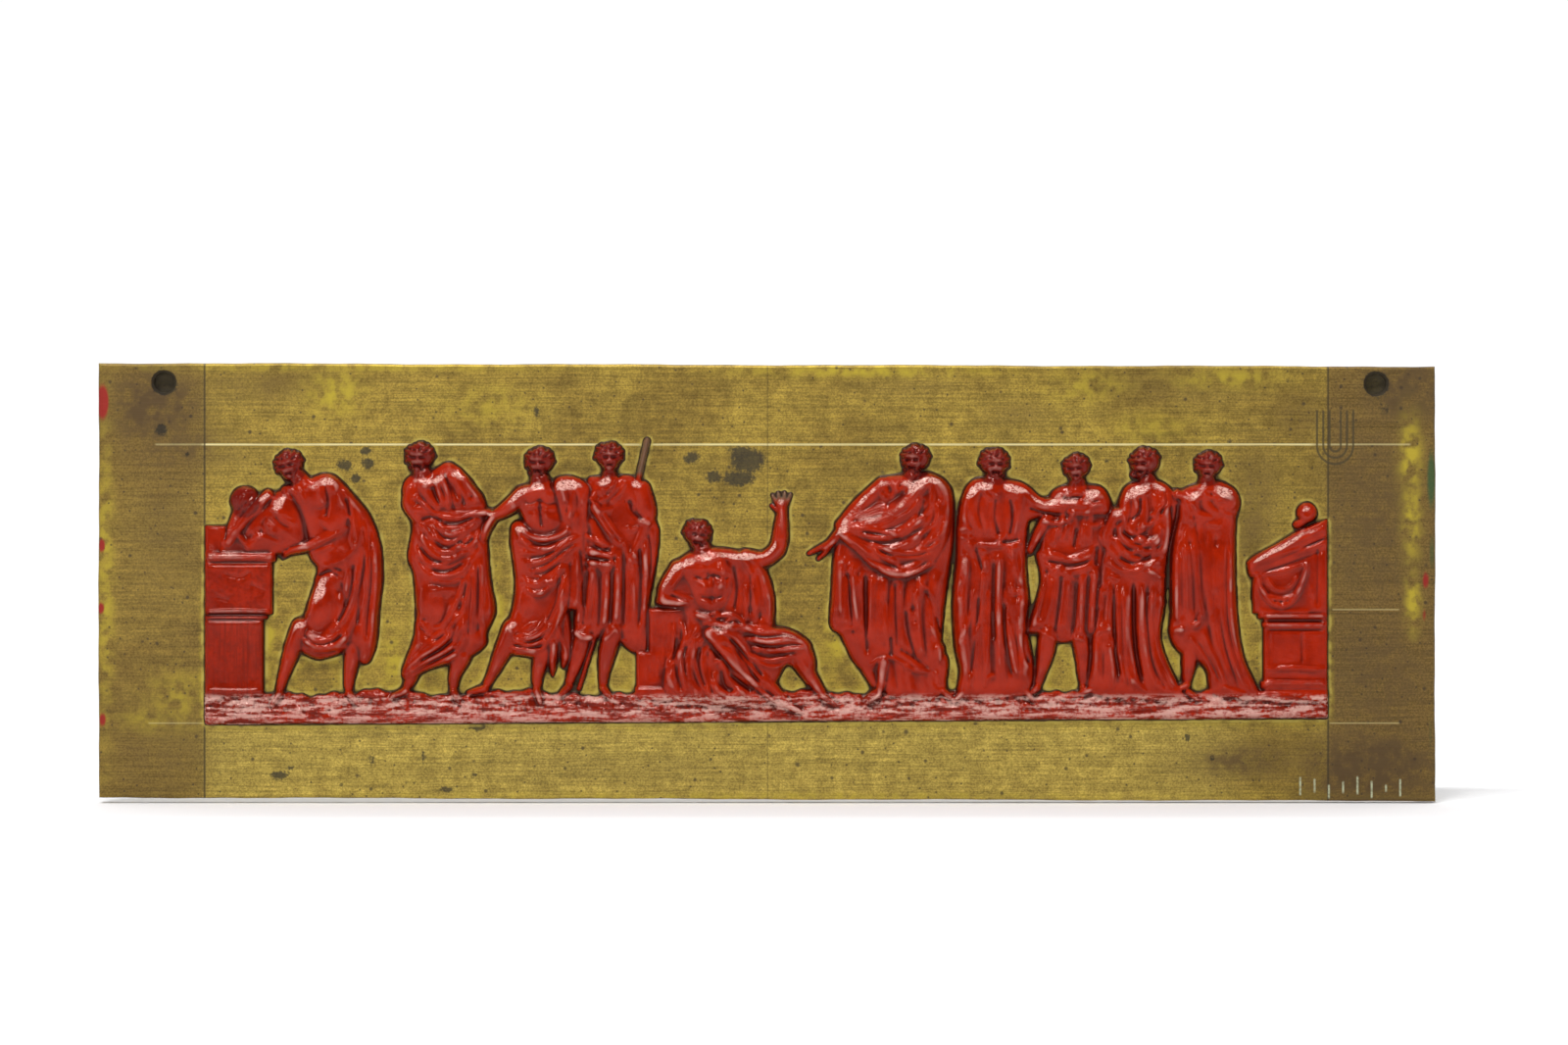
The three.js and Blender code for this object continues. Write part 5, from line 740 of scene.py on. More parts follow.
def fine_leaner():
    pressed(0.26, 0.2, (-69.5, 13.1, -68.7, 12.3, -68.2, 11.6), (-68.8, 13.6, -67.7, 12.4, -67, 11),
            (-68, 13.9, -66.8, 12.6, -66.2, 11))
    pressed(0.34, 0.24, (-64, 15, -64.1, 12.6, -63.4, 10.8), (-63, 14.7, -62, 14.3, -61.6, 13.2,
        -61.8, 12.6),
            (-61.4, 12.7, -61, 11.2, -60.4, 10.6), (-60.4, 13.4, -59.3, 11.8, -58.3, 9.6, -57.9, 7),
            (-59.9, 12.4, -59.3, 10, -58.8, 7, -58.6, 5.4, -59.4, 4.1, -61, 2.8, -63, 2.2),
            (-60.3, 9.6, -59.3, 8.2, -59.5, 6, -59.1, 4.6), (-61, 7, -64, 5.6, -67, 4.5))
    pressed(0.26, 0.22, (-62, 5, -64, 4.3, -66.5, 3.7), (-63.6, 2.3, -62, 1.5, -60.8, 0.8),
            (-65.6, 14.9, -65.4, 13.8, -66.2, 13), (-59.6, -3.4, -60.8, -5.6, -62.6, -7.4),
            (-57.6, 6, -57.2, 0, -57.8, -5, -57.8, -11), (-58.9, 0, -59.6, -3.4, -61, -6.2),
            (-56.3, 4, -56, -1, -56.4, -6, -56.9, -10.4), (-60.6, 3.2, -60, 0.8, -60.4, -2))
    pressed(0.4, 0.24, (-66.8, -6.4, -66.3, -8.4, -64.4, -9.5, -61.6, -9.2, -59.9, -7.8),
            (-65.9, -7.2, -64.6, -8.5, -62.4, -8.4, -61, -7.2), (-65.9, -9.8, -63.8, -10.2, -61.4, -9.7,
                -60, -9.3),
            (-66.8, -9.9, -64.6, -10.8, -62.4, -10.8, -60.8, -10.2))
    pressed(-0.32, 0.28, (-58.3, 10, -57.5, 4, -58.5, -2, -58.6, -7),
        (-57, 8, -56.6, 2, -57.1, -4, -57.4, -9),
            (-59.2, 2.6, -59.5, -1, -60.4, -4), (-64.8, 0.6, -62.8, 1.2, -61.2, 0.6),
                (-63.4, 14.4, -62.9, 11.4, -63.2, 8.8),
            (-60.4, 12, -59.9, 9.6, -60.2, 7.6), (-66.6, -7.6, -65, -9, -62.6, -8.9, -60.6, -7.6),
            (-66.2, -10.2, -64.2, -10.5, -61.4, -10.1), (-66, -4.8, -65.4, -1.6, -64.2, 0.4),
                (-61, 0, -60.4, -3.6, -61.6, -6.4))
    pressed(0.2, 0.2, (-71.5, 4.2, -69.6, 4.2), (-71.6, 3.5, -69.8, 3.4), (-68.6, -11, -69.4, -13.6),
        (-59.2, -10, -59.4, -13))


def fine_folded():
    pressed(0.42, 0.3, (-46.9, 15.8, -46, 13.6, -45.4, 10.6), (-45.7, 16.6, -44.5, 14.4, -43.8, 11),
            (-44.4, 16.4, -43.2, 14.6, -42.4, 12), (-47.6, 15, -46.9, 12.4, -46.4, 10.4),
                (-43.4, 15.2, -42.2, 13.2, -41.4, 11.6))
    pressed(-0.34, 0.24, (-46.4, 15.8, -45.2, 12, -44.8, 10), (-45.2, 16, -44.1, 13, -43.2, 10.6),
            (-43.9, 15.8, -42.8, 13.6, -42, 11.6), (-48, 14.4, -47.4, 12, -46.6, 10.4),
                (-49.7, 8.6, -48, 9.2, -46.4, 8.5))
    pressed(0.36, 0.26, (-50.3, 14.6, -48.8, 13.5, -47, 14.3), (-50.6, 12.2, -49, 10.9, -47.4, 9.2),
            (-47.2, 9.2, -44.6, 8.9, -42, 9.5, -39.6, 9.8), (-47, 7.6, -44.5, 7.6, -42.2, 8.5, -41, 8.7),
            (-46.6, 6.9, -45, 6.5, -43.2, 7.1, -41.4, 8.3), (-50, 8.2, -48.4, 6.7, -46.8, 5.6),
            (-49.8, 6.6, -48.4, 4.6, -46.8, 3.3, -44.9, 3.1), (-50, 4.2, -48.2, 2.3, -46.4, 2.3,
                -44.2, 3.3, -42.6, 4.2),
            (-44.8, 5, -43.2, 4.7, -41.8, 5.6, -41, 7.4), (-44.2, 3.8, -42.6, 4.3, -41.4, 6))
    pressed(-0.3, 0.24, (-49.4, 7.2, -47.4, 5, -45, 4.4), (-49.9, 5, -48.2, 3.2, -46.4, 2.7),
        (-46.4, 8.2, -44.2, 8.2, -42, 9),
            (-50.2, 3.2, -48, 1.4, -45.6, 1.4, -43.4, 2.6), (-44.4, 5.6, -43, 5.3, -42, 6.2))
    pressed(0.3, 0.22, (-48.4, 0.8, -46.2, 0.4, -43.8, 1.2, -42.4, 2.6),
        (-48.2, 0, -45.6, -0.4, -43.6, 0.2),
            (-42.6, 2, -42.9, -2, -44.4, -5.4, -46.4, -7.6, -48.6, -8.3, -49.8, -7.2, -50, -5.2),
            (-43.4, 0.4, -44.5, -3, -46, -5.8, -47.8, -7), (-41.8, 3, -42, -2, -42.3, -6, -42.2, -9.6),
            (-40.9, 3, -40.7, -2, -40.5, -7), (-43.6, -2, -43.4, -6, -43.3, -9),
                (-50.9, 2.6, -50.7, -1, -50.6, -5))
    pressed(0.4, 0.26, (-45, -7.6, -47, -9.5, -49.6, -11, -51.8, -12.8),
        (-44.2, -9, -46.6, -10.6, -49.2, -11.8, -51.4, -13.4),
            (-44, -10.4, -46.6, -11.6, -49, -12.6, -51.2, -14), (-49.6, -8.8, -50.8, -10.2, -51.8, -12))
    pressed(-0.34, 0.26, (-42.2, 1.4, -42.4, -3, -42.8, -8), (-41.3, 2.4, -41.3, -2, -41.4, -8),
        (-43, 0, -43.8, -4, -45.2, -7.2),
            (-44.8, -8.4, -47, -10.1, -50, -11.6), (-44.4, -9.8, -46.8, -11.1, -50.6, -13.2),
                (-50.4, -3.6, -49.9, -6.4, -48.8, -7.6))
    soft_lumps(-0.35, (-49.2, -5.6, 0.5, 0.5, 0))
    soft_lumps(0.25, (-48.8, 10.8, 0.7, 0.4, -30), (-48.2, 14, 1.2, 0.5, 0), (-46.8, -1.4, 1.6, 0.6, 0),
        (-47.8, -9.2, 1, 0.3, 20))


def fine_bare_chest():
    pressed(0.22, 0.3, (-34.8, 13.3, -33.4, 12.9, -31.2, 12.9))
    soft_lumps(0.3, (-33.9, 12.5, 1.1, 0.7, 10), (-31.2, 12.4, 1.1, 0.7, -10), (-31.6, 9.2, 0.7, 1.2, 20),
        (-33.3, 9, 0.7, 1.1, 0), (-36.6, 11, 0.6, 0.7, 0))
    pressed(-0.3, 0.22, (-35, 11.3, -33.8, 11, -32.6, 11.5, -31.4, 10.9, -30.2, 11.1),
        (-32.6, 11.4, -32.5, 9.4, -32.3, 7.6),
            (-29.4, 14.6, -28.5, 12, -28.7, 9.4), (-28.2, 14.6, -27.3, 12.2, -27.2, 9.2),
                (-29.6, 1, -30.2, -3, -31.6, -6),
            (-26.9, 5, -26.3, 0, -26.2, -4), (-28.2, 3, -28.2, -1, -28.6, -5),
                (-34, 3.4, -31.4, 3.7, -28.4, 5.6),
            (-33.6, 0.9, -31.6, 1.2, -29.4, 2.6), (-36.6, -7.6, -34.6, -8.8, -32, -8.2),
                (-36.6, -9.1, -34.4, -9.6, -32, -9.4),
            (-35.6, 6.4, -34.4, 5.2, -32.4, 5.1, -30, 5.8))
    pressed(0.4, 0.26, (-30, 14.4, -29.3, 12.6, -28.8, 11), (-29, 14.7, -28, 13, -27.9, 10.6, -28.5, 8.6),
            (-27.8, 14.2, -26.8, 12.6, -26.5, 10.6), (-35.5, 8.6, -34.8, 7, -33.4, 6.1, -31.4, 5.9,
                -29.4, 6.6, -28.2, 7.5),
            (-35.9, 7.6, -35.2, 5.9, -34, 4.9))
    pressed(0.32, 0.22, (-34, 2.4, -32, 2.9, -30, 4.2, -27.5, 6), (-33.6, 1.5, -31.6, 1.9, -29.4, 3.4,
        -27, 5.2),
            (-32.6, 4.6, -30.4, 4.5, -28.6, 5.3), (-32, -0.6, -30.6, 0, -29.8, 0.9),
                (-34.6, -0.9, -33.6, -1.8, -32, -1.7, -31, -0.7),
            (-29, 1, -29.3, -3, -30, -6, -30.8, -8), (-27.2, 4, -27.1, -1, -27.7, -4.6),
                (-25.9, 9, -26, 4, -26.6, -1))
    pressed(0.42, 0.24, (-37.2, -6.2, -36.2, -8, -34.6, -8.4, -32.4, -7.7, -30.8, -6.2),
        (-36.4, -8.6, -34, -9.2, -31.5, -8.6),
            (-37, -9.6, -35, -9.9, -32.6, -10, -31.4, -8.8), (-36.2, -10.5, -34.4, -10.7, -32.8, -10.5),
            (-29.8, -6.6, -29.5, -8.4, -28.8, -10.4, -29.4, -12.6),
                (-30.4, -8.6, -30.7, -11, -30.6, -13.4))
    soft_lumps(0.3, (-33.9, -6.8, 1.2, 0.45, 30), (-32.4, -1.9, 0.5, 0.3, 0), (-28.9, -11.2, 0.4, 0.4, 0))


def fine_staff_man():
    pressed(0.32, 0.2, (-20.6, 15, -21.4, 13.2, -22.8, 11.9, -24.2, 11.3),
        (-21.3, 15, -22.1, 13.5, -23.5, 12.7),
            (-20.1, 14.6, -21, 12.6, -22.4, 11.2), (-22.2, 10.3, -23.4, 10.1, -24.4, 9.8),
                (-24.8, 14.4, -23.6, 13.7, -22.6, 13.9))
    pressed(0.4, 0.28, (-25.5, 12.2, -24.7, 10.6, -23.4, 8.2, -21.8, 5.9),
        (-18.5, 8.1, -17.3, 8.5, -16.5, 7.9),
            (-26.2, 6.6, -24.6, 5.7, -23.2, 5.3), (-25.4, 3.9, -24, 3.9, -22, 3.3),
                (-26, 2.7, -24.2, 2.4, -22.6, 2.4))
    pressed(0.28, 0.22, (-24.8, 1.6, -24.6, -2, -25, -6.4), (-21.6, 2, -21.4, -2, -21.6, -5.8),
        (-19.2, 0, -18.9, -4, -19, -8),
            (-23, 1.8, -23, -2, -23.4, -7), (-26.4, 1, -26.8, -3, -27.2, -6.4),
                (-17.6, 4, -17.2, 0, -17.6, -5),
            (-20.2, 7.6, -19.2, 7.2, -18.4, 7.7), (-20.4, 5.6, -20, 3.6, -19.4, 1.6),
                (-26.4, 11.6, -25.6, 9, -25.8, 6.8))
    pressed(-0.36, 0.26, (-23.9, 1.4, -23.9, -2, -24.2, -7), (-20.7, 4.4, -20.5, -2, -20.5, -7),
        (-18.3, 5, -18, 0, -18.3, -7),
            (-25.7, 1.6, -25.8, -2, -26.4, -7), (-22.4, 1.6, -22.3, -2, -22.4, -6.4),
                (-19.9, 11.6, -19.2, 9.8, -17.8, 8.8),
            (-24, 9.6, -22.4, 7.2, -20.9, 5.4), (-25.6, 4.8, -24, 4.6, -22, 4.2),
                (-25.8, 3.3, -24, 3.1, -22.4, 2.8), (-17, 7, -16.6, 3, -17.2, -2))
    pressed(0.34, 0.22, (-27.8, -6.8, -26.8, -7.9, -25.2, -7.8), (-23.8, -8.8, -22.6, -8, -21.6, -7.1,
        -20.9, -8.6, -19.8, -9),
            (-27.2, -8.4, -26, -8.5, -25, -8.4))


def fine_seated():
    soft_lumps(0.26, (-8.8, 1.7, 1.3, 0.9, 10), (-6.3, 1.4, 1.0, 0.8, -10), (-8.6, -1, 0.7, 0.6, 0),
        (-6.9, -1, 0.7, 0.6, 0), (-4.6, 3.2, 1.2, 0.5, -30))
    pressed(-0.28, 0.22, (-10.6, 0.6, -9, 0.2, -7.6, 0.8, -6.2, 0.2, -5.2, 0.6),
        (-7.7, 1, -7.7, -0.6, -7.8, -3.2), (-9.6, -2.2, -7.8, -2.5, -6, -2.2))
    soft_lumps(-0.3, (-7.8, -3.3, 0.22, 0.4, 0))
    pressed(0.3, 0.22, (-10.8, 3.2, -8.6, 2.7, -6.6, 3.6, -5.4, 3), (-12, 2.6, -12.1, 1.2, -13.2, -0.4,
        -13.7, -1.2),
            (-13.8, -1.6, -12, -2.4, -10.4, -2.8), (-13, -3.6, -11.8, -3.2, -11, -3.4),
                (-2.2, -0.4, -1.6, -3.6, -1.8, -6.2),
            (-3, -0.6, -2.9, -3.4, -3.2, -6), (0, -0.6, 0.4, -3.4, 0.4, -6.2))
    pressed(0.4, 0.28, (-4.7, 4.1, -3.2, 2.8, -2, 0.6), (-3, 3.8, -1.6, 2.4, -0.4, 0, 0.2, -3),
            (-9.4, -6.6, -7.6, -5.4, -5.6, -4.9, -4.2, -5.3, -3, -6.4),
                (-8.6, -6.3, -6.6, -6.4, -4.6, -7), (-10.6, -5, -8.8, -5, -6.6, -4.5))
    pressed(-0.32, 0.26, (-4.8, 2.4, -4.3, -1, -4.7, -4.4), (-1.2, 1.6, -0.8, -2, -1, -6),
        (-2.6, 2.4, -2.3, -1, -2.5, -5),
            (-9, -5.8, -7, -5.8, -4.6, -6.2), (-3.6, -7.2, -0.6, -8.1, 2.6, -7.9, 5, -8.8),
                (-2.2, -9, 0.6, -9.5, 3.4, -9.2, 5.4, -9.3),
            (-2.4, -10, -0.4, -10.9, 2, -10.7, 4.6, -10.2))
    pressed(0.4, 0.26, (-3.4, -6.8, -0.6, -7.4, 2.6, -7.3, 5, -8.3),
        (-2.6, -8.4, 0.4, -8.8, 3, -8.4, 5.3, -9),
            (-2.2, -9.5, 0.6, -10, 3.4, -9.8, 5.5, -9.6), (-2.8, -10.4, -0.6, -12, 1.6, -12.4, 4, -11),
                (-1.6, -10.9, 0.8, -11.4, 3.6, -10.8))
    pressed(0.36, 0.26, (-8.9, -9.4, -7.8, -8.2, -5.6, -7.6, -4, -8.8, -2.8, -10.6, -1.4, -13.4,
        0, -15.4),
            (-7.5, -12, -6.6, -11.4, -5.6, -12.4, -3.8, -14, -1.4, -14.8, 0.4, -16),
                (-8.8, -15, -8, -16.6, -6.2, -17.4),
            (-7.4, -13, -7.1, -15.6, -5.8, -16.4), (-5.2, -16.8, -4.2, -15.6, -3.2, -16.4, -2.8, -17),
                (3.2, -11.6, 3.6, -14, 3.4, -16))
    limb((-8, -7.6, -6.4, -9, -4, -12.2, -1.4, -15.2), [1.4, 1.7, 1.4, 0.8], 2.05, 0.5)
    pressed(-0.45, 0.3, (-5.4, -8.2, -3, -10.8, -0.4, -14), (-8.2, -9.4, -6.2, -11.6, -3.6, -14.6,
        -2, -16.2))
    foot(-1.1, -15.6, -38, 3.4, 1.1)
    oval(-4.4, -16.4, 1.0, 0.85, 10, 1.3, 0.7)
    pressed(-0.36, 0.28, (-6.6, -9, -4.4, -10.2, -3, -12.8, -1, -14.6),
        (-8.3, -10, -8.6, -13, -7.6, -16.6), (-6.5, -12.6, -6.2, -15, -5, -16),
            (-11.6, -9, -11.8, -13, -10.2, -16.6), (-9.8, -9, -9.6, -13, -8.6, -16),
                (-13, -8, -13.2, -12, -12, -16), (-5.4, -13.4, -3.4, -15, -1.6, -15.8))
    pressed(0.34, 0.24, (-12.4, -5.6, -11.8, -8, -12.5, -11, -11.6, -14, -9.6, -17),
        (-13.4, -6, -13.5, -10, -14.4, -12.6, -13.6, -15, -11.6, -17),
            (-10.4, -8, -10.4, -12, -8.8, -16), (-14.4, -15.8, -12.8, -16.8, -11.6, -17.3),
                (-2, -17, 0, -17.2, 1.6, -16.8))
    soft_lumps(0.35, (-4, -16.2, 0.8, 0.6, 0), (-5.1, -5.6, 0.7, 0.5, 0), (0.6, -8.8, 1.8, 0.35, 0))
    soft_lumps(-0.35, (-5.1, -5.9, 0.35, 0.25, 0), (-12.4, -9.6, 0.7, 0.5, 20))


def fine_orator():
    pressed(0.36, 0.26, (11, 8, 13.2, 9.4, 15.4, 10.3, 17.4, 10.8),
        (11.4, 7.7, 14, 7.3, 16.6, 7, 18.8, 6.6),
            (13.6, 6.6, 16.4, 6.1, 19, 6.4), (14.6, 5.6, 17, 4.4, 20, 3.9, 22.6, 4.2, 25, 5.6),
                (15.2, 4.6, 17, 3, 19.9, 1.4),
            (16.4, 4.9, 18.6, 3.5, 21, 3.3, 23.6, 3.8), (19.4, 0.5, 21.2, 1.2, 22.6, 1.9, 24.2, 2.6),
                (10.4, 6.7, 12.6, 4.6, 15.6, 1.6),
            (11, 6.6, 13, 5.1, 14.8, 3.6))
    pressed(-0.3, 0.24, (12, 8.4, 15.4, 9, 18.6, 9.9), (13.4, 7, 16.6, 6.5, 19.4, 5.8),
        (15, 5.2, 17.6, 3.8, 20.4, 3.5, 23.6, 4.2),
            (15.8, 3.6, 18, 2.2, 20.6, 1.4, 23.4, 2.9), (12, 5.2, 14, 3.2, 16.4, 1.2),
                (20, 7.4, 21.8, 9.2, 22.6, 11.8))
    pressed(0.26, 0.24, (18, 8.6, 20.4, 9.8, 22.2, 12.2), (19.4, 7.4, 21.8, 8.4, 23.6, 10.8),
        (20.4, 5.9, 23, 7.2, 25, 9.8),
            (22.4, 5, 24.8, 6.6, 25.8, 8.8), (17.4, 10.6, 19.4, 12, 20.8, 13.8),
                (22.8, 15, 23.6, 12.6, 23.7, 10.6), (24, 14.9, 25, 12.6, 25.2, 10.8))
    pressed(0.34, 0.24, (16.1, 14.3, 16.2, 12.6, 17.2, 11.6), (17.6, 14.8, 18.4, 13.2, 17.8, 11.8),
        (21, 15.3, 20, 13.8, 18.6, 12.6),
            (19.2, 14.8, 18.6, 13.6, 18.8, 12.4))
    pressed(0.32, 0.26, (12.2, 2.4, 12.4, -2, 13.2, -6), (15, 0.8, 14.8, -4, 14.4, -9),
        (17, -0.4, 17, -6, 17.6, -10.6),
            (19.2, -0.6, 19.4, -6, 19.8, -10.8), (22, -0.4, 23.4, -2, 24.6, -5.6),
                (23.4, -6.4, 24.6, -9, 24.8, -12), (10.6, 2, 10.5, -2, 10.6, -5.4),
            (21.2, -1, 21.8, -6, 22.4, -11), (13.6, 1.6, 13.6, -3, 13.8, -8))
    pressed(-0.42, 0.3, (14.1, 1, 14.2, -4, 14.4, -11), (11.6, 1.4, 12, -3, 12.4, -8),
        (18.4, 0, 18.4, -4, 18.7, -10), (17.8, -8, 17.8, -11),
            (22.8, -1, 24, -4, 25, -8), (19.9, -4, 20.4, -8, 21.4, -11.4))
    pressed(0.38, 0.22, (9.2, -6.2, 10.2, -7.6, 11.4, -7, 12.8, -6.8), (14.6, -12.4, 16, -11.4, 17.6, -11,
        19, -11.6, 19.8, -12),
            (19.6, -12.2, 21.4, -13, 23.4, -13.1), (17, -14.4, 16.6, -15.8), (24.2, -13, 24.8, -15))
    soft_lumps(0.3, (22.5, 13.6, 0.7, 0.4, 20), (18.2, 2.8, 1.5, 0.3, -35), (21.4, 8.4, 1, 0.7, 30))
    limb((16.7, -11.8, 16.4, -14.6, 16.1, -16.2), [1.05, 0.8, 0.6], 1.35, 0.6)
    foot(16.1, -16.4, 215, 2, 0.8)
    soft_lumps(-0.3, (21, -4, 0.4, 0.5, 0), (21.4, -5.8, 0.3, 0.3, 0), (17.6, 13.2, 0.3, 0.7, 10))


def fine_listener():
    pressed(0.34, 0.24, (30.2, 13.8, 31.2, 12.6, 32.4, 11.6), (31, 13.9, 32, 12.9, 33.4, 12),
        (28.6, 12, 28.3, 9.6, 28.8, 7.4),
            (27.4, 7.2, 28.6, 7.4, 29.4, 7), (27.6, 6.3, 28.6, 6, 29.2, 6.4),
                (30.2, 5.2, 32, 5.1, 34, 5.2), (33, 5, 34, 6.2, 34.4, 6.9),
            (34.6, 4.8, 35.4, 4.6, 36.2, 4.9), (36, 14.2, 38, 12.9, 40, 11.4),
                (38.6, 8.8, 41, 8.2, 43, 8.5, 44.4, 10), (40.4, 11.4, 42.4, 11.2, 44.6, 11.6))
    pressed(0.32, 0.26, (28.4, 4, 28.6, 1, 27.4, -1, 27.6, -3.6), (29.6, -1, 29, -5.6, 27.2, -9.6),
        (31.2, 3.6, 31, 0, 30.6, -5, 29.6, -9),
            (31.8, -1, 31.7, -8, 31.2, -15), (33.4, 4, 33.2, 0, 33.2, -8, 33.4, -13),
                (35, -2, 36.6, -1.6, 36.8, -4), (34.9, 4.4, 35.6, 2, 36.4, -0.6),
            (36, -5, 36.3, -9, 37.6, -13), (34.4, -5, 34.9, -9.6, 36, -14),
                (30.4, -6, 29.8, -11, 28.8, -16), (31.2, -15.4, 31.6, -14.2, 32.6, -13.4))
    pressed(-0.42, 0.28, (32.6, 3, 32.5, -3, 32.6, -9), (30.4, -2, 30, -8, 29.2, -14),
        (34, -3, 34.2, -8, 35.2, -14), (37, -7, 36.9, -10, 37.6, -12),
            (29.8, 4.8, 30.6, 2.4, 31.4, 0.6), (32.8, 12, 32.6, 9, 33.2, 6.4), (28.2, 1, 27.5, -2.4),
                (37.4, 10.4, 39.6, 9.8, 42, 9.4),
            (34.8, 12, 35.2, 9, 34.8, 6.4), (33.4, 5.6, 35, 5.6, 36.2, 6))
    soft_lumps(0.34, (35.2, 13, 1, 0.8, -30), (35.2, 4, 0.5, 0.6, 0), (35.2, -1.2, 0.4, 0.6, 20),
        (30.8, 4.2, 0.5, 0.5, 0), (31, 13.2, 0.7, 0.5, -30))


def fine_youth():
    pressed(0.3, 0.22, (41, 12.8, 43, 12.4, 46, 12.6, 48, 12.9), (42, 11.2, 43.6, 10.8, 45.2, 11.4),
        (46, 11.2, 47, 11.8, 48.4, 12.4),
            (45.4, 9.6, 46.8, 10.6, 48.2, 11.3), (39.8, 8.4, 41.6, 8.2, 43, 8.7),
                (46.4, 7.8, 47.6, 8, 48.4, 8.4), (44, 8.8, 43.2, 10),
            (40.4, 3.4, 41.6, 3.8, 42.8, 3.2), (43.6, 3.2, 45, 2.9, 46.6, 3.6), (41.4, 1.4, 42.4, 2.2),
                (43.4, 0.8, 44, 0))
    pressed(0.3, 0.26, (41, 0.6, 40.6, -3, 39.6, -7), (43.4, 0, 43.2, -4, 42.8, -8),
        (45.2, 1, 45.1, -3, 45, -8), (47, 2, 46.8, -3, 46.6, -8),
            (39.6, 0, 38.8, -4, 38, -7), (43, 8, 42.4, 5.6), (41.4, 7.6, 41, 5), (45.6, 8, 45.4, 5))
    pressed(-0.36, 0.26, (42.2, 1, 41.9, -3, 41.2, -8), (44.4, 0, 44.2, -4, 43.8, -8),
        (46.2, 1, 46, -3, 45.8, -8), (40.2, 2.4, 39.8, -2, 38.8, -6),
            (40, 2.8, 42, 2.6, 44, 2.2, 46.4, 2.8), (44.4, 7.6, 44, 4.6),
                (42.2, 11.8, 44, 11.7, 45.6, 12.1), (47.4, 5, 47.2, 2))
    pressed(0.32, 0.2, (37.4, -7.2, 39, -7.3, 40.4, -8, 42, -8.9), (43.2, -9, 44.2, -8.3, 45.6, -8.7),
        (44.2, -13.2, 45, -13.8))
    soft_lumps(0.3, (43, 11.2, 1, 0.5, 0), (46, 9.6, 0.6, 0.4, 30), (41.2, 0.9, 0.3, 0.5, 0))


def fine_cloaked():
    pressed(0.34, 0.22, (60.4, 12.8, 61.6, 13.4, 63.4, 13.5), (62, 12.8, 63.6, 12.9, 65, 12.3),
        (61.4, 13.4, 62.6, 12.4, 64.4, 11.6),
            (64.8, 12, 66, 12, 66.8, 11.4), (65, 10.4, 65.8, 9.5, 67, 9.2),
                (60.4, 11.4, 61.2, 10.6, 61.6, 9.9), (59.6, 12.2, 60.6, 10, 61, 7.6),
            (65.4, 13.4, 66.8, 12.9, 67.6, 11.6), (63, 8, 64, 8.1, 65, 7.8),
                (64.6, 11.4, 65.6, 11.2, 66.6, 11.6))
    pressed(0.22, 0.26, (58.6, 4, 58.6, 0, 58.6, -6), (59.8, 7, 60, 2, 60.2, -5),
        (61, 7.4, 61.4, 3, 61.8, -2, 62.4, -5.2), (63.4, 7, 63.2, 0, 63.4, -5),
            (65.2, 6, 65, -1, 65.4, -6, 67.4, -13, 69.6, -16.6), (66.6, 5, 66.5, -2, 67, -8, 68.6, -13.4),
                (64, -5, 64.4, -9, 66.4, -14.6),
            (62.4, -7, 64, -11, 65.8, -15.4), (60.6, -8, 62.4, -10.6, 64.2, -14), (64.2, 5, 64.1, -2))
    pressed(-0.16, 0.28, (61.9, 6, 62.2, 1, 62.8, -4.6), (60.6, 6, 60.9, 0, 61.2, -5),
        (59.2, 5, 59.2, 0, 59.4, -6), (65.9, 6, 65.7, -1, 66.3, -7, 68.2, -13),
            (63.2, -6, 64.4, -10, 66.6, -15), (61.6, -8.6, 63.4, -11.4, 65, -14.6),
                (60.9, 9.8, 61.6, 7, 61.8, 5), (64.4, 7, 64.3, 0, 64.6, -5))
    pressed(0.42, 0.26, (58.1, -7.6, 58.8, -7, 59.9, -7.1), (60.7, -6.6, 61.6, -6.2, 62.3, -5.6),
        (62.4, -4.8, 61.8, -5.6), (66, -16, 68, -16.6, 70, -17),
            (65, -15.2, 67, -15.8, 69, -16.4))
    soft_lumps(0.4, (66, 12, 0.9, 0.35, 10), (62, 11.9, 0.6, 0.35, 0), (59.2, -7.2, 0.5, 0.35, 0),
        (61.6, -6.3, 0.5, 0.3, 20))


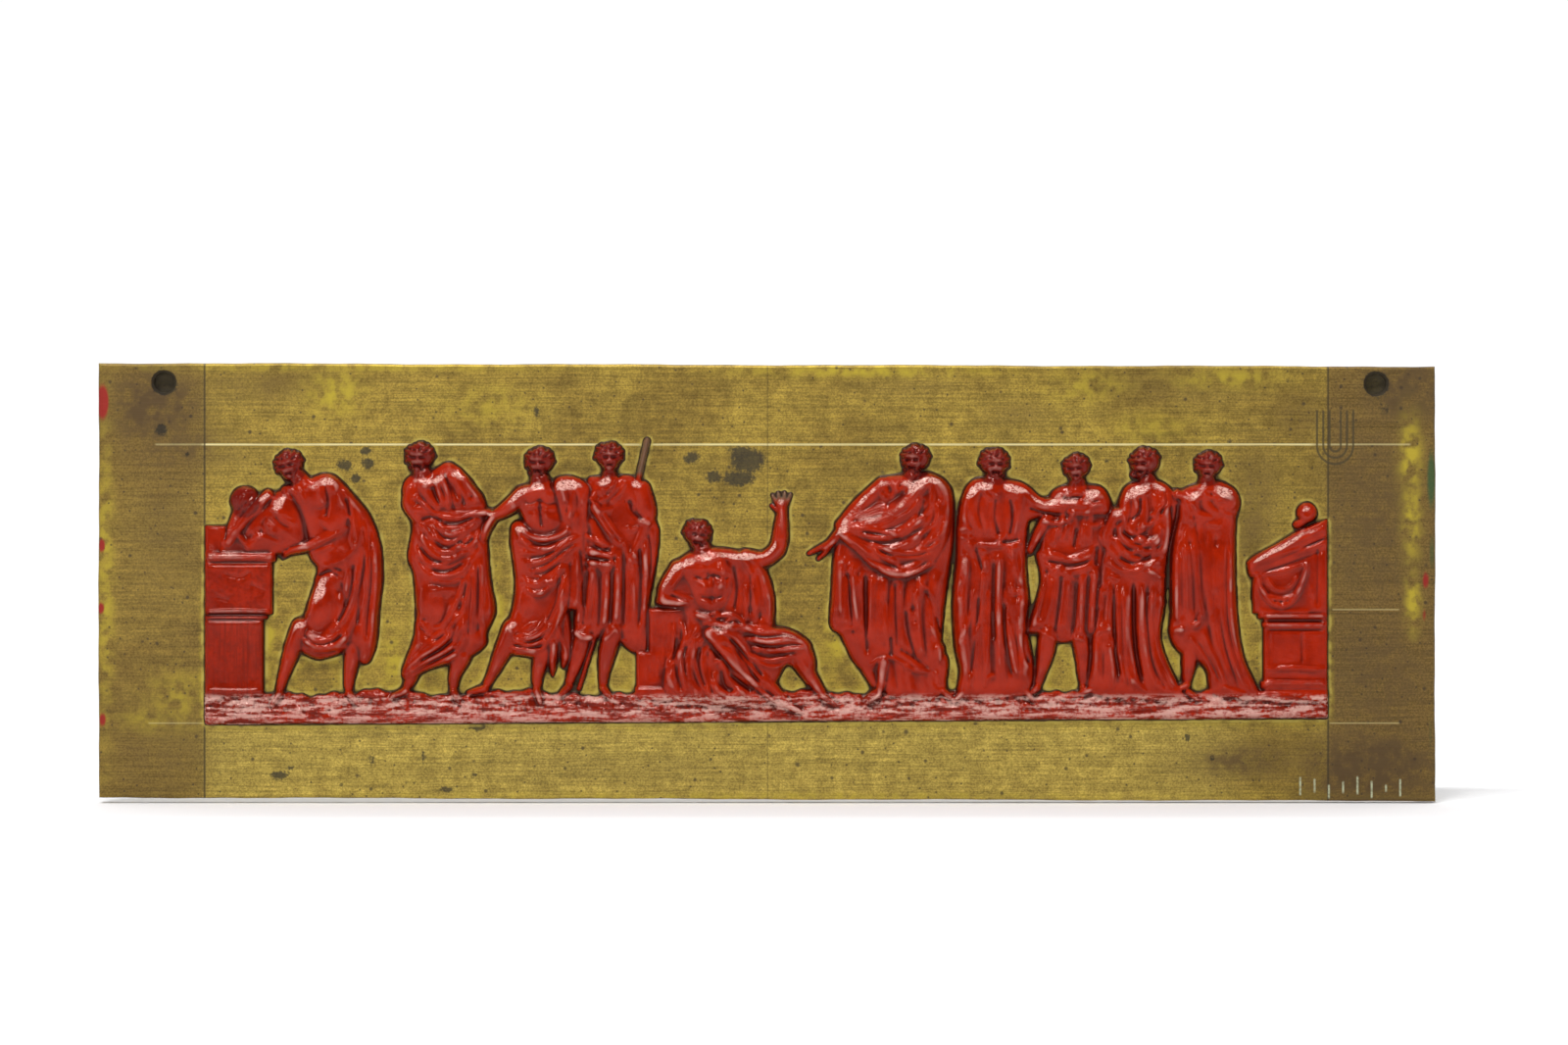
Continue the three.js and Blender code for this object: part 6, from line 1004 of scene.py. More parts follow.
def fine_elder():
    pressed(0.34, 0.22, (52, 13, 53.4, 12.4, 54.8, 12.4), (51.6, 12.2, 52.6, 11.6, 53, 10),
        (55.4, 14.2, 56.6, 13.2, 56.9, 11.4, 55.9, 9.8, 54.8, 9.2),
            (56.2, 14.3, 57.4, 13, 57.6, 11, 56.6, 9), (57, 14, 58.4, 12.4, 59, 10.6),
                (50.6, 10.4, 51.2, 9, 51.2, 8.2), (50.2, 7, 51.4, 5.8, 53, 5.6, 54.4, 5.8),
            (51, 4, 52.6, 4, 54, 4.6), (50.4, 6.2, 51.8, 5.1, 54, 5, 55.6, 6),
                (48.6, 3.4, 50, 1.8, 52.4, 1.3, 54.2, 1.9), (54.4, 1.4, 55.4, 1, 56.6, 0.2),
            (49, 0.6, 50.4, 0.2), (48.4, 8.2, 47.9, 6.4, 48.4, 4.6), (53, 7.6, 54.8, 8, 56, 9.6),
                (55, 3, 56, 5.6, 56.6, 8))
    pressed(0.32, 0.28, (50.2, -0.4, 50.3, -6, 50.6, -12), (51.2, -0.4, 51.3, -6, 51.5, -12, 52.6, -16),
        (53.8, -0.4, 53.9, -6, 54.6, -12, 56, -16),
            (55.4, -1, 55.2, -6, 56.2, -11, 58.4, -15.6), (56.2, -2, 57, -3.8),
                (46.8, -8.2, 47.8, -7.2, 49.6, -6.8), (49.4, -8, 50.4, -11, 51.4, -15),
            (47.8, -1, 47.6, -4), (52, -14, 53.4, -15.2, 54.6, -16.2), (48.4, -2, 48.9, -0.4),
                (49, -9, 49.6, -13, 49.4, -16))
    pressed(-0.44, 0.3, (52.5, 0, 52.6, -5, 52.9, -10, 53.8, -15),
        (54.6, 0, 54.5, -6, 55.4, -12, 57.4, -16), (49.7, 0, 49.7, -6, 50, -10, 50.6, -14),
            (50.9, 7, 52.4, 6.3, 54.6, 6.9), (50.2, 3.4, 52.2, 2.6, 54.6, 3.2, 56.4, 5.4),
                (56.8, 13, 57.3, 11, 56.4, 9.4), (53.6, 12, 53.3, 9.8, 52.2, 8.6),
            (57.9, 11, 58, 7, 57.4, 3), (51.2, 8.6, 50.2, 8, 49.8, 6))
    soft_lumps(0.34, (52.6, 12.1, 0.8, 0.4, 20), (59.2, -16, 0.8, 0.5, -30), (54.9, 1.3, 0.6, 0.4, 0),
        (53, 10.6, 0.6, 0.9, 0))


def fine_lectern():
    ridge((70.2, 1.4, 71, -1.4, 73, -2.6, 75.4, -2.2, 77, 0.4, 77.6, 3), 0.5, 0.32)
    ridge((71.6, 0.6, 73, -1.2, 75, -1, 76.2, 0.8), 0.3, 0.22)
    pressed(0.3, 0.22, (69.2, 2, 74, 3.9, 78, 4.8, 80.2, 5.9), (69.3, 0.8, 74, 1.4, 78, 2.6),
        (70.4, 3.8, 75, 6.2, 80.2, 8.6),
            (71.2, -5.2, 75, -5.1, 80.2, -5.1), (71.2, -6.5, 75, -6.5, 80.2, -6.5),
                (70.6, -4.6, 78, -4.5), (71.2, -14.5, 75, -14.6, 80.2, -14.6),
            (73, -12.6, 76, -12.4, 79.4, -13), (75, -17.1, 80, -17))
    pressed(-0.24, 0.22, (69.4, 1.5, 74, 3, 78, 4.2, 80.2, 5), (71.2, -5.8, 80.2, -5.8),
        (71.2, -7.1, 80.2, -7.1), (71.2, -15.2, 80.2, -15.2), (79, 5, 78.9, -4))


# ---- the ground strip: rough above, ribbed below ----
FIELD_LEFT, FIELD_RIGHT = -80.7, 80.5
GROUND_LOW, GROUND_RISE, GROUND_TOP, GROUND_HEIGHT = -20.7, 0.9, -16.1, 0.75


def rough(x, z, seed, coarse, fine, waves=15):
    """An even, rough surface from waves of many directions, about 1 high."""
    total = np.zeros(np.shape(x))
    for k in range(waves):
        pitch = coarse * (fine / coarse) ** (k / (waves - 1))
        angle = 2.4 * k + seed
        phase = 1.7 * k * k + 3 * seed
        warp = 0.8 * np.sin(x * math.sin(angle) / pitch + phase)
        total += np.sin(2 * math.pi * (x * math.cos(angle) + z * math.sin(angle)) / pitch + phase + warp)
    return total / math.sqrt(waves)


def ground():
    """The strip that the figures stand on: lumpy above, with long ribs along its lower edge."""
    x, z = np.meshgrid(xs, zs)
    low = GROUND_LOW + GROUND_RISE * (x - FIELD_LEFT) / (FIELD_RIGHT - FIELD_LEFT)
    top = GROUND_TOP + 0.35 * np.sin(0.31 * x) + 0.2 * np.sin(1.1 * x + 1) + 0.12 * np.sin(2.9 * x)
    inside = np.minimum(np.minimum(z - low, top - z), np.minimum(x - FIELD_LEFT, FIELD_RIGHT - x))
    band = np.clip((low + 2.1 + 0.4 * np.sin(0.23 * x + 1) - z) / 0.5, 0, 1)
    bend = 0.22 * np.sin(0.21 * x) + 0.1 * np.sin(0.83 * x + 2) + 0.06 * rough(x, z, 5, 3, 1)
    rib = 0.16 * np.sin((z - low + bend) * 9.5) + 0.1 * np.sin((z - low + 0.5 * bend) * 17 + 1)
    lumps = 0.17 * rough(0.75 * x, z, 1, 2.4, 0.6) + 0.1 * rough(0.6 * x, z, 9, 0.9, 0.5)
    height = GROUND_HEIGHT + lumps * (1 - band) + rib * band
    put((slice(None), slice(None)), np.maximum(height, 0.15), inside)


def blur(field, sigma):
    """A field made softer, as far as sigma says in mm."""
    reach = max(1, int(3 * sigma / CELL))
    weights = np.exp(-0.5 * (np.arange(-reach, reach + 1) * CELL / sigma) ** 2)
    weights /= weights.sum()
    for axis in (0, 1):
        padded = np.pad(field, [(reach, reach) if k == axis else (0, 0) for k in (0, 1)], mode="edge")
        field = sum(w * np.take(padded, np.arange(field.shape[axis]) + k, axis=axis) for k,
            w in enumerate(weights))
    return field


ground()
for figure, folds in ((pedestal, fine_pedestal), (weeper, fine_weeper), (leaner, fine_leaner),
    (folded, fine_folded),
                      (staff_man, fine_staff_man), (bare_chest, fine_bare_chest), (seated, fine_seated),
                      (youth, fine_youth), (orator, fine_orator), (listener, fine_listener),
                          (cloaked, fine_cloaked),
                      (elder, fine_elder), (lectern, fine_lectern)):
    figure()
    folds()
gx, gz = np.meshgrid(xs, zs)
head_share = np.zeros(relief.shape)
for hx, hz, hsize in head_places:
    head_share = np.maximum(head_share, ease((2.9 * hsize - np.hypot(gx - hx, 0.9 * (gz - hz))) / 0.7))
relief = blur(relief, SOFTNESS) * (1 - head_share) + blur(relief, HEAD_SOFTNESS) * head_share

# A thin film of wax is left round every form; the material paints the lowest wax dark.
FILM_HEIGHT, FILM_REACH = 0.06, 0.17
FILM_SLOPE = 0.6
film_width = FILM_REACH * (1 + 0.35 * np.sin(1.7 * gx + 0.9 * gz) * np.sin(1.1 * gx - 2.1 * gz))
figure_mask = relief > 0
relief = np.maximum(relief, np.minimum(FILM_HEIGHT, (relief / WALL + film_width) * FILM_SLOPE))

# ---- masks for the materials, from how the form lies to its surroundings; the widths are in mm ----
NEAR_REACH, HALO_REACH = 1.1, 0.4
HOLLOW_NEAR, HOLLOW_FAR, HOLLOW_HEAD = 0.4, 1.3, 0.28
RIM_REACH, RIM_SHARE = 0.35, 0.93
BODY_REACH, ROUND_REACH = 0.55, 1.5
# The painted highlight grows between these slopes, is weaker where the form faces right, and fades below
# the knees.
HIGHLIGHT_SLOPE, HIGHLIGHT_RANGE, HIGHLIGHT_RIGHT = 0.07, 0.25, 0.8
HIGHLIGHT_LOW, HIGHLIGHT_LOW_RANGE, HIGHLIGHT_LEFT_LOW = -9, 6, 0.35
HIGHLIGHT_LOST_AT_HEADS = 0.85
RIDGE_REACH, RIDGE_BLUR = 0.45, 0.2

covered = figure_mask.astype(float)
near_figures = blur(covered, NEAR_REACH)
close_form = np.maximum(relief, 0)
# Painted shade: hollow is high in creases, hollows and the heads' eye sockets, and the wax is darkened
# there as shade would darken it.
hollow = np.clip((blur(close_form, HOLLOW_NEAR) - relief) / 0.2, 0, 1)
hollow = hollow + 0.5 * np.clip((blur(close_form, HOLLOW_FAR) - relief) / 0.6, -0.3, 1)
well_inside = np.clip((blur(covered, RIM_REACH) - RIM_SHARE) / 0.06, 0, 1)
hollow = hollow + 1.3 * head_share * np.clip((blur(close_form, HOLLOW_HEAD) - relief) / 0.16, 0, 1)
body = blur(close_form, BODY_REACH)
facing_up, facing_right = np.zeros(relief.shape), np.zeros(relief.shape)
facing_up[1:-1] = (body[:-2] - body[2:]) / (2 * CELL)
facing_right[:, 1:-1] = (body[:, :-2] - body[:, 2:]) / (2 * CELL)
facing_up = facing_up - HIGHLIGHT_RIGHT * np.maximum(facing_right, 0)
rounded = np.clip((body - blur(close_form, ROUND_REACH)) / 0.35 + 0.25, 0, 1)
# Painted highlight: the mask is high on rounded forms that face up towards the light, and the wax is
# painted pale pink there.
highlight_mask = np.clip((facing_up - HIGHLIGHT_SLOPE) / HIGHLIGHT_RANGE, 0, 1) * rounded * well_inside
highlight_mask = highlight_mask * (1 - HIGHLIGHT_LOST_AT_HEADS * head_share)
highlight_mask = highlight_mask * (HIGHLIGHT_LEFT_LOW + (1 - HIGHLIGHT_LEFT_LOW) * ease((gz - HIGHLIGHT_LOW) / HIGHLIGHT_LOW_RANGE))
# Painted highlight: high along the tops of folds, where the wax is painted pale.
ridge_highlight = np.clip((relief - blur(close_form, RIDGE_REACH)) / 0.3, 0, 1) * well_inside


def sample(field, x, z):
    """A field's value at places on the plate."""
    i = np.round((x - X_LO) / CELL).astype(int)
    j = np.round((z - Z_LO) / CELL).astype(int)
    known = (i >= 0) & (i < columns) & (j >= 0) & (j < rows)
    return np.where(known, field[np.clip(j, 0, rows - 1), np.clip(i, 0, columns - 1)], 0.0)


# ---- the wax as one closed mesh ----
plate_low = np.array(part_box("brass_plate")[0]) / MM
FRONT = plate_low[1]


def wax_surface(relief, xs, zs):
    """The relief's triangles, cut off where it meets the plate."""
    number = np.full(relief.shape, -1)
    up = relief > 0
    number[up] = np.arange(up.sum())
    j, i = np.nonzero(up)
    points = [(xs[a], FRONT - relief[b, a], zs[b]) for b, a in zip(j, i)]
    rim = {}

    def crossing(p, q):
        key = (p, q) if p < q else (q, p)
        if key not in rim:
            hp, hq = relief[key[0]], relief[key[1]]
            t = min(max(hp / (hp - hq), 0.02), 0.98)
            (pj, pi), (qj, qi) = key
            rim[key] = len(points)
            points.append((xs[pi] + (xs[qi] - xs[pi]) * t, FRONT, zs[pj] + (zs[qj] - zs[pj]) * t))
        return rim[key]

    faces = []
    a, b = up[:-1, :-1], up[:-1, 1:]
    c, d = up[1:, 1:], up[1:, :-1]
    whole = a & b & c & d
    flip = np.abs(relief[:-1, :-1] - relief[1:, 1:]) > np.abs(relief[:-1, 1:] - relief[1:, :-1])
    for crossed, tris in ((False, ((0, 1, 2), (0, 2, 3))), (True, ((0, 1, 3), (1, 2, 3)))):
        pick = whole & (flip == crossed)
        corners = (number[:-1, :-1], number[:-1, 1:], number[1:, 1:], number[1:, :-1])
        quad = [corner[pick] for corner in corners]
        for t in tris:
            faces.extend(np.stack([quad[k] for k in t], 1).tolist())
    some = (a | b | c | d) & ~whole
    for row, column in zip(*np.nonzero(some)):
        corner = [(row, column), (row, column + 1), (row + 1, column + 1), (row + 1, column)]
        for t in ((0, 1, 2), (0, 2, 3)):
            tri = [corner[k] for k in t]
            ring = []
            for k in range(3):
                p, q = tri[k], tri[(k + 1) % 3]
                if up[p]:
                    ring.append(int(number[p]))
                if up[p] != up[q]:
                    ring.append(crossing(p, q))
            for k in range(1, len(ring) - 1):
                faces.append([ring[0], ring[k], ring[k + 1]])
    return points, faces


def link(name, mesh):
    """A named object with its mesh, put in the scene."""
    piece = bpy.data.objects.new(name, mesh)
    bpy.context.scene.collection.objects.link(piece)
    return piece


def close_flat(bm):
    """Closes a mesh's open rims with flat faces."""
    rims = [e for e in bm.edges if e.is_boundary]
    bmesh.ops.triangle_fill(bm, edges=rims, normal=(0, 1, 0), use_beauty=False)


def write(mesh, name, values):
    """Stores one number for each corner point, for the materials to read."""
    layer = mesh.attributes.new(name, "FLOAT", "POINT")
    layer.data.foreach_set("value", np.asarray(values, np.float32))


def finish_mesh(bm, name):
    """A mesh with all its faces outward."""
    bmesh.ops.recalc_face_normals(bm, faces=bm.faces)
    mesh = bpy.data.meshes.new(name)
    bm.to_mesh(mesh)
    bm.free()
    return mesh


def thin_out(piece, limit):
    """Leaves fewer triangles, mostly where the surface is flat."""
    modifier = piece.modifiers.new("thin", "DECIMATE")
    modifier.ratio = min(1, limit / len(piece.data.polygons))
    whole = piece.evaluated_get(bpy.context.evaluated_depsgraph_get())
    thinned = bpy.data.meshes.new_from_object(whole)
    piece.modifiers.clear()
    piece.data = thinned


WAX_FACES = 195000
kept_rows = [j for j, z in enumerate(zs) if j % THIN == 0 or HEAD_ROWS[0] < z < HEAD_ROWS[1]]
kept_columns = list(range(0, columns, THIN))
points, faces = wax_surface(relief[np.ix_(kept_rows, kept_columns)], xs[kept_columns], zs[kept_rows])
bm = bmesh.new()
made = [bm.verts.new((x * MM, y * MM, z * MM)) for x, y, z in points]
for face in faces:
    bm.faces.new([made[k] for k in face]).smooth = True
bm.verts.index_update()
close_flat(bm)
wax = link("wax_relief", finish_mesh(bm, "wax_relief"))
thin_out(wax, WAX_FACES)
wax_mesh = wax.data
wx, _, wz = (np.array([v.co for v in wax_mesh.vertices]) / MM).T
for mask, field in (("hollow", hollow), ("highlight_mask", highlight_mask), ("ridge", blur(ridge_highlight, RIDGE_BLUR)),
    ("head", head_share)):
    write(wax_mesh, mask, sample(field, wx, wz))
# The wax is missing its red at the top of the staff and at the raised hand.
STAFF_X, STAFF_REACH, STAFF_Z = -17.7, 1.6, (14.6, 1.2)
HAND_X, HAND_REACH, HAND_Z = 2.4, 3, (10.8, 1.4)
staff_top = ease((wz - STAFF_Z[0]) / STAFF_Z[1]) * (np.abs(wx - STAFF_X) < STAFF_REACH)
raised_hand = ease((wz - HAND_Z[0]) / HAND_Z[1]) * (np.abs(wx - HAND_X) < HAND_REACH)
write(wax_mesh, "grey", 0.85 * np.maximum(staff_top, raised_hand))
print("wax triangles", len(wax_mesh.polygons))

# ---- the brass plate: a fine grid on its face, so that its stains can be painted on it ----
HALF_LENGTH, HALF_HEIGHT, SLOPE, BEVEL, THICKNESS = 96.0, 31.2, 0.5, 0.35, -FRONT
HOLE_RADIUS = 1.5
HOLES = ((-86.6, 28.4), (87.5, 28.2))
STEPS_X, STEPS_Z, HOLE_CELLS = 480, 156, 12
# A dark plug stops each hole between these depths, as painted shade: it stands in for the shade seen
# through the hole.
SHADE_PLUG_FRONT, SHADE_PLUG_BACK = 1.7, 1.1
SHADE_PLUG_SPREAD = 0.6


def edge_wave(t, seed):
    """How far a hand-cut edge strays from straight."""
    waves = ((0.05, 9, 1), (0.025, 31, 2), (0.012, 83, 1))
    return sum(size * math.sin(pace * t + shift * seed) for size, pace, shift in waves)


def plate_point(u, v, inset):
    """A place on the plate's face from its shares of the length and height."""
    half, side = HALF_LENGTH - inset, HALF_HEIGHT - inset
    left, right = -half + edge_wave(v, 1), half + edge_wave(v, 2)
    low, high = -side - SLOPE * u + edge_wave(3 * u, 3), side - SLOPE * u + edge_wave(3 * u, 4)
    return left + (right - left) * u, low + (high - low) * v


def circle_rows(bm, around, centre, levels):
    """Rings from a rim to a round hole and into it. Returns the last ring."""
    cx, cz = centre
    for radius, level in levels:
        ring = []
        for vert in around:
            a = math.atan2(vert.co.z / MM - cz, vert.co.x / MM - cx)
            ring.append(bm.verts.new(((cx + radius * math.cos(a)) * MM, level * MM,
                (cz + radius * math.sin(a)) * MM)))
        for k in range(len(ring)):
            bm.faces.new((around[k - 1], around[k], ring[k], ring[k - 1]))
        around = ring
    return around


def plate_mesh():
    """The plate as one closed mesh: face, edges, back, and the two holes stopped with a dark plug that
    stands in for the shade in them.
    """
    bm = bmesh.new()
    grid = []
    for j in range(STEPS_Z + 1):
        grid.append([])
        for i in range(STEPS_X + 1):
            x, z = plate_point(i / STEPS_X, j / STEPS_Z, BEVEL)
            grid[j].append(bm.verts.new((x * MM, -THICKNESS * MM, z * MM)))
    pitch_x, pitch_z = 2 * HALF_LENGTH / STEPS_X, 2 * HALF_HEIGHT / STEPS_Z
    skip, squares, bore = set(), [], []
    for cx, cz in HOLES:
        i0 = round((cx + HALF_LENGTH) / pitch_x) - HOLE_CELLS // 2
        drop = SLOPE * (cx + HALF_LENGTH) / (2 * HALF_LENGTH)
        j0 = round((cz + HALF_HEIGHT + drop) / pitch_z) - HOLE_CELLS // 2
        i1, j1 = i0 + HOLE_CELLS, j0 + HOLE_CELLS
        skip |= {(i, j) for i in range(i0, i1) for j in range(j0, j1)}
        ring = [grid[j0][i] for i in range(i0, i1)] + [grid[j][i1] for j in range(j0, j1)]
        ring += [grid[j1][i] for i in range(i1, i0, -1)] + [grid[j][i0] for j in range(j1, j0, -1)]
        squares.append((ring, (cx, cz)))
        for j in range(j0 + 1, j1):
            for i in range(i0 + 1, i1):
                bm.verts.remove(grid[j][i])
    for j in range(STEPS_Z):
        for i in range(STEPS_X):
            if (i, j) not in skip:
                bm.faces.new((grid[j][i], grid[j][i + 1], grid[j + 1][i + 1], grid[j + 1][i]))
    for ring, centre in squares:
        stop = circle_rows(bm, ring, centre, ((HOLE_RADIUS + 0.35, -THICKNESS),
            (HOLE_RADIUS, -THICKNESS + 0.4),
                                              (HOLE_RADIUS - 0.05, -SHADE_PLUG_FRONT),
                                                  (0.5, -SHADE_PLUG_FRONT + 0.2)))
        bm.faces.new(stop)
        bore.append((len(ring), centre))
    border = [(i, 0) for i in range(STEPS_X)] + [(STEPS_X, j) for j in range(STEPS_Z)]
    border += [(i, STEPS_Z) for i in range(STEPS_X, 0, -1)] + [(0, j) for j in range(STEPS_Z, 0, -1)]
    around = [grid[j][i] for i, j in border]
    for inset, level in ((0.1, -THICKNESS + 0.12), (0, -THICKNESS + BEVEL), (0, -THICKNESS / 2),
        (0, -BEVEL / 2),
                         (BEVEL / 2, 0)):
        ring = []
        for i, j in border:
            x, z = plate_point(i / STEPS_X, j / STEPS_Z, inset)
            ring.append(bm.verts.new((x * MM, level * MM, z * MM)))
        for k in range(len(ring)):
            bm.faces.new((around[k - 1], around[k], ring[k], ring[k - 1]))
        around = ring
    for count, (cx, cz) in bore:
        turns = [2 * math.pi * k / count for k in range(count)]
        reach = HOLE_RADIUS + SHADE_PLUG_SPREAD
        rim = [bm.verts.new(((cx + reach * math.cos(a)) * MM, 0,
            (cz + reach * math.sin(a)) * MM)) for a in turns]
        for k in range(count):
            bm.edges.new((rim[k - 1], rim[k]))
        levels = ((HOLE_RADIUS, 0), (HOLE_RADIUS, -SHADE_PLUG_BACK), (0.5, -SHADE_PLUG_BACK - 0.2))
        bm.faces.new(circle_rows(bm, rim, (cx, cz), levels))
    close_flat(bm)
    return finish_mesh(bm, "brass_plate_worn")


def patches(x, z, places):
    """Soft spots: each is x, z, its two half widths and its strength."""
    total = np.zeros(x.shape)
    for x0, z0, rx, rz, strength in places:
        total = np.maximum(total, strength * np.exp(-((x - x0) / rx) ** 2 - ((z - z0) / rz) ** 2))
    return total


# Where the colours lie on the face: each spot is x, z, its two half widths and its strength.
BROWN = ((-88, 25, 7, 6, 0.9), (-84, 19, 9, 4, 0.55), (-72, 28, 12, 3, 0.35), (-87, 8, 5, 12, 0.3),
    (-86, -24, 9, 8, 0.35),
         (92, 27, 6, 6, 0.8), (88, 10, 9, 16, 0.5), (88, -14, 9, 12, 0.45), (87, -27, 11, 6, 0.9),
             (68, -26, 10, 3, 0.6),
         (60, 28, 14, 3, 0.3), (36, 24, 5, 2, 0.3), (20, 28, 8, 2, 0.25), (70, 9, 4, 12, 0.4),
             (-20, -27, 20, 2, 0.15), (77, 24, 5, 4, 0.3))
YELLOW = ((92.4, 18, 1.5, 5, 0.9), (92.6, 9, 1.3, 6, 0.8), (92.8, -3, 1, 4, 0.9), (15, 30, 17, 0.8, 0.8),
    (-62, 27, 4, 3, 0.75),
          (-40, 25, 6, 3, 0.35), (46, 28, 6, 2.5, 0.45), (66, 29, 8, 1.5, 0.6), (-95, 0, 1.2, 20, 0.6),
              (-84, -17, 5, 4, 0.45),
          (-89, -20, 4, 2, 0.4), (-60, 30.6, 30, 0.6, 0.5), (0, -31, 60, 0.5, 0.5), (55, 22, 6, 2, 0.4),
              (-71.6, -7, 0.9, 2.5, 1),
          (-53.6, -12, 1.2, 4, 1), (-38.8, -4, 0.9, 5, 0.7), (9.6, -8, 1.2, 4, 0.8), (29, -14, 1, 3, 0.3),
              (57, -9, 1, 4, 0.9))
DARK = ((-2.7, 17.2, 2.9, 2.1, 1.3), (-4, 18.6, 2, 0.8, 1.1), (-4.1, 14.6, 2.8, 1.2, 1.25),
    (-10.8, 17.6, 1.5, 1, 1.1),
        (-7.6, 14.9, 1.6, 1.1, 1.1), (-60.6, 16.5, 1.5, 1, 1.1), (-57.6, 18.6, 1, 0.8, 1.1),
            (-57.3, 16.8, 1.1, 1.1, 1.1),
        (-58.9, 14.6, 1, 0.9, 1.1), (-87, 21.6, 1.1, 1.1, 1.2), (-83.4, 18.1, 0.6, 0.6, 0.9),
            (-33, 24.2, 0.7, 1.3, 0.9),
        (-41.5, -20.9, 1.5, 0.8, 1.3), (-70, -28, 1.5, 0.7, 1.2), (-68.4, -27, 0.7, 0.6, 1),
            (-46, -30, 1.5, 0.6, 0.9),
        (-56.7, -25.7, 0.7, 1.3, 0.8), (-49.3, -25.4, 0.4, 1.6, 0.9), (-42, -28, 0.7, 0.5, 0.9),
            (60.4, -22.5, 0.35, 0.9, 1.2),
        (64, -25.5, 0.6, 0.5, 1), (48.8, 17.2, 0.6, 0.5, 0.8), (72.6, -12.4, 0.8, 0.6, 1.1),
            (66.4, 20, 0.5, 0.5, 0.9),
        (75, 28.6, 0.6, 0.5, 0.8), (-76, 26, 1, 0.5, 0.6), (88.6, 24.6, 1.2, 1.2, 0.7),
            (-27.5, -20.9, 0.6, 0.4, 0.8))
RED = ((-95.4, 25.6, 0.9, 2.6, 1.2), (-95.5, 5, 0.5, 1.2, 1), (-95.6, -4, 0.5, 1, 1),
    (-95.4, -20, 0.6, 1.2, 0.9), (94.6, 0, 0.6, 1.6, 0.8),
       (94.4, -5, 0.5, 1.4, 0.6))
GREEN = ((95.4, 14.5, 0.7, 5, 1), (95.5, 4, 0.5, 4, 0.7), (95.3, -22, 0.5, 5, 0.5),
    (-95.7, -16, 0.4, 6, 0.4))

plate_data = plate_mesh()
plate = link("brass_plate_worn", plate_data)
px, py, pz = (np.array([v.co for v in plate_data.vertices]) / MM).T
depth = -py
on_face = np.select([depth > 0.55 * THICKNESS, depth > BEVEL], [1.0, 0.35], 0.0)
on_edge = np.where(depth > BEVEL, 1.0, 0.0)
close_by = sample(near_figures, px, pz)
low_down = ease((2 - pz) / 14)
write(plate_data, "brown", patches(px, pz, BROWN) * on_face)
write(plate_data, "yellow", (patches(px, pz, YELLOW) + 0.75 * close_by * (0.3 + low_down)) * on_face)
# Painted shade: the holes' plugs, their walls and a thin ring round each are painted dark, where shade
# falls in a hole.
hole_shade = np.zeros(px.shape)
for hx, hz in HOLES:
    off = np.hypot(px - hx, pz - hz)
    spread = 0.9 * np.exp(-((off - HOLE_RADIUS) / 0.5) ** 2) * on_edge
    hole_shade = np.maximum(hole_shade, np.where(off < HOLE_RADIUS + 0.1, 1.6, spread))
write(plate_data, "dark", np.maximum(patches(px, pz, DARK) * on_face, hole_shade))
write(plate_data, "red", patches(px, pz, RED) * on_edge)
write(plate_data, "halo", sample(blur(covered, HALO_REACH), px, pz))
write(plate_data, "green", patches(px, pz, GREEN) * on_edge)
print("plate triangles", sum(len(f.vertices) - 2 for f in plate_data.polygons))


# ---- small marks on the brass ----
# A row of pale painted strokes near the lower right corner: each is x, lowest z and highest z.
STROKES = tuple((76.6 + 2.05 * k, -31.0 + 0.5 * math.sin(2.3 * k), -28.6 + 0.6 * math.sin(1.7 * k + 1))
                for k in range(8))
# U-shaped scratches, one in the other, near the right hole.
LOOP_X, LOOP_Z, LOOP_LOW, LOOP_TOP = 81.6, 19.3, 15, 24.6
LOOP_RADII = (0.8, 1.7, 2.6)

# Pits of three sizes: the pattern's scale, a pit's size, the share of places without one, and a shift.
PITS = ((0.42, 0.16, 0.42, (0, 0, 0)), (0.9, 0.2, 0.5, (31, 0, 17)), (0.16, 0.085, 0.5, (9, 0, 51)))
# Scored lines: faint level ones, with their z and their two ends, and dark upright ones, with their x.
LEVEL_LINES = ((-20.5, -89, -80.7), (-20.5, 80.6, 91), (-4.2, 81, 91))
UPRIGHT_LINES = ((-80.75, 0.2, 0.8), (80.6, 0.2, 0.8), (0.1, 0.13, 0.4))

# ---- the colours, as linear red, green and blue ----
BRASS_LIGHT = (0.33, 0.226, 0.038)
BRASS_DULL = (0.232, 0.151, 0.025)
BRASS_BELOW = (0.43, 0.32, 0.07)
SIDE_LIGHT = (0.2, 0.12, 0.03)
SIDE_DARK = (0.14, 0.083, 0.022)
BROWN_PATINA = (0.105, 0.062, 0.022)
BARE_YELLOW = (0.45, 0.34, 0.028)
STAIN_AND_HOLE_SHADE = (0.03, 0.027, 0.02)
PIT = (0.045, 0.03, 0.018)
LINE_HIGHLIGHT = (0.72, 0.62, 0.3)
FAINT_LINE = (0.6, 0.5, 0.22)
DARK_LINE = (0.05, 0.035, 0.015)
HALO_PALE = (0.5, 0.39, 0.08)
HALO_DARK = (0.06, 0.04, 0.012)
PALE_PAINT = (0.52, 0.55, 0.36)
LOOP_DARK = (0.06, 0.045, 0.02)
RED_TRACE = (0.3, 0.02, 0.012)
GREEN_PATINA = (0.03, 0.09, 0.03)
WAX_LIGHT = (0.345, 0.0145, 0.0016)
WAX_DULL = (0.25, 0.0095, 0.001)
WAX_SHAFT = (0.12, 0.006, 0.001)
WAX_HOLLOW_SHADE = (0.05, 0.003, 0.002)
WAX_HEAD = (0.085, 0.005, 0.004)
HIGHLIGHT_PINK = (0.8, 0.46, 0.39)
GROUND_HIGHLIGHT = (0.68, 0.4, 0.34)
GROUND_SHADE = (0.07, 0.006, 0.003)
GREY_DIRT = (0.13, 0.095, 0.055)
FILM_EDGE_DARK = (0.03, 0.018, 0.009)


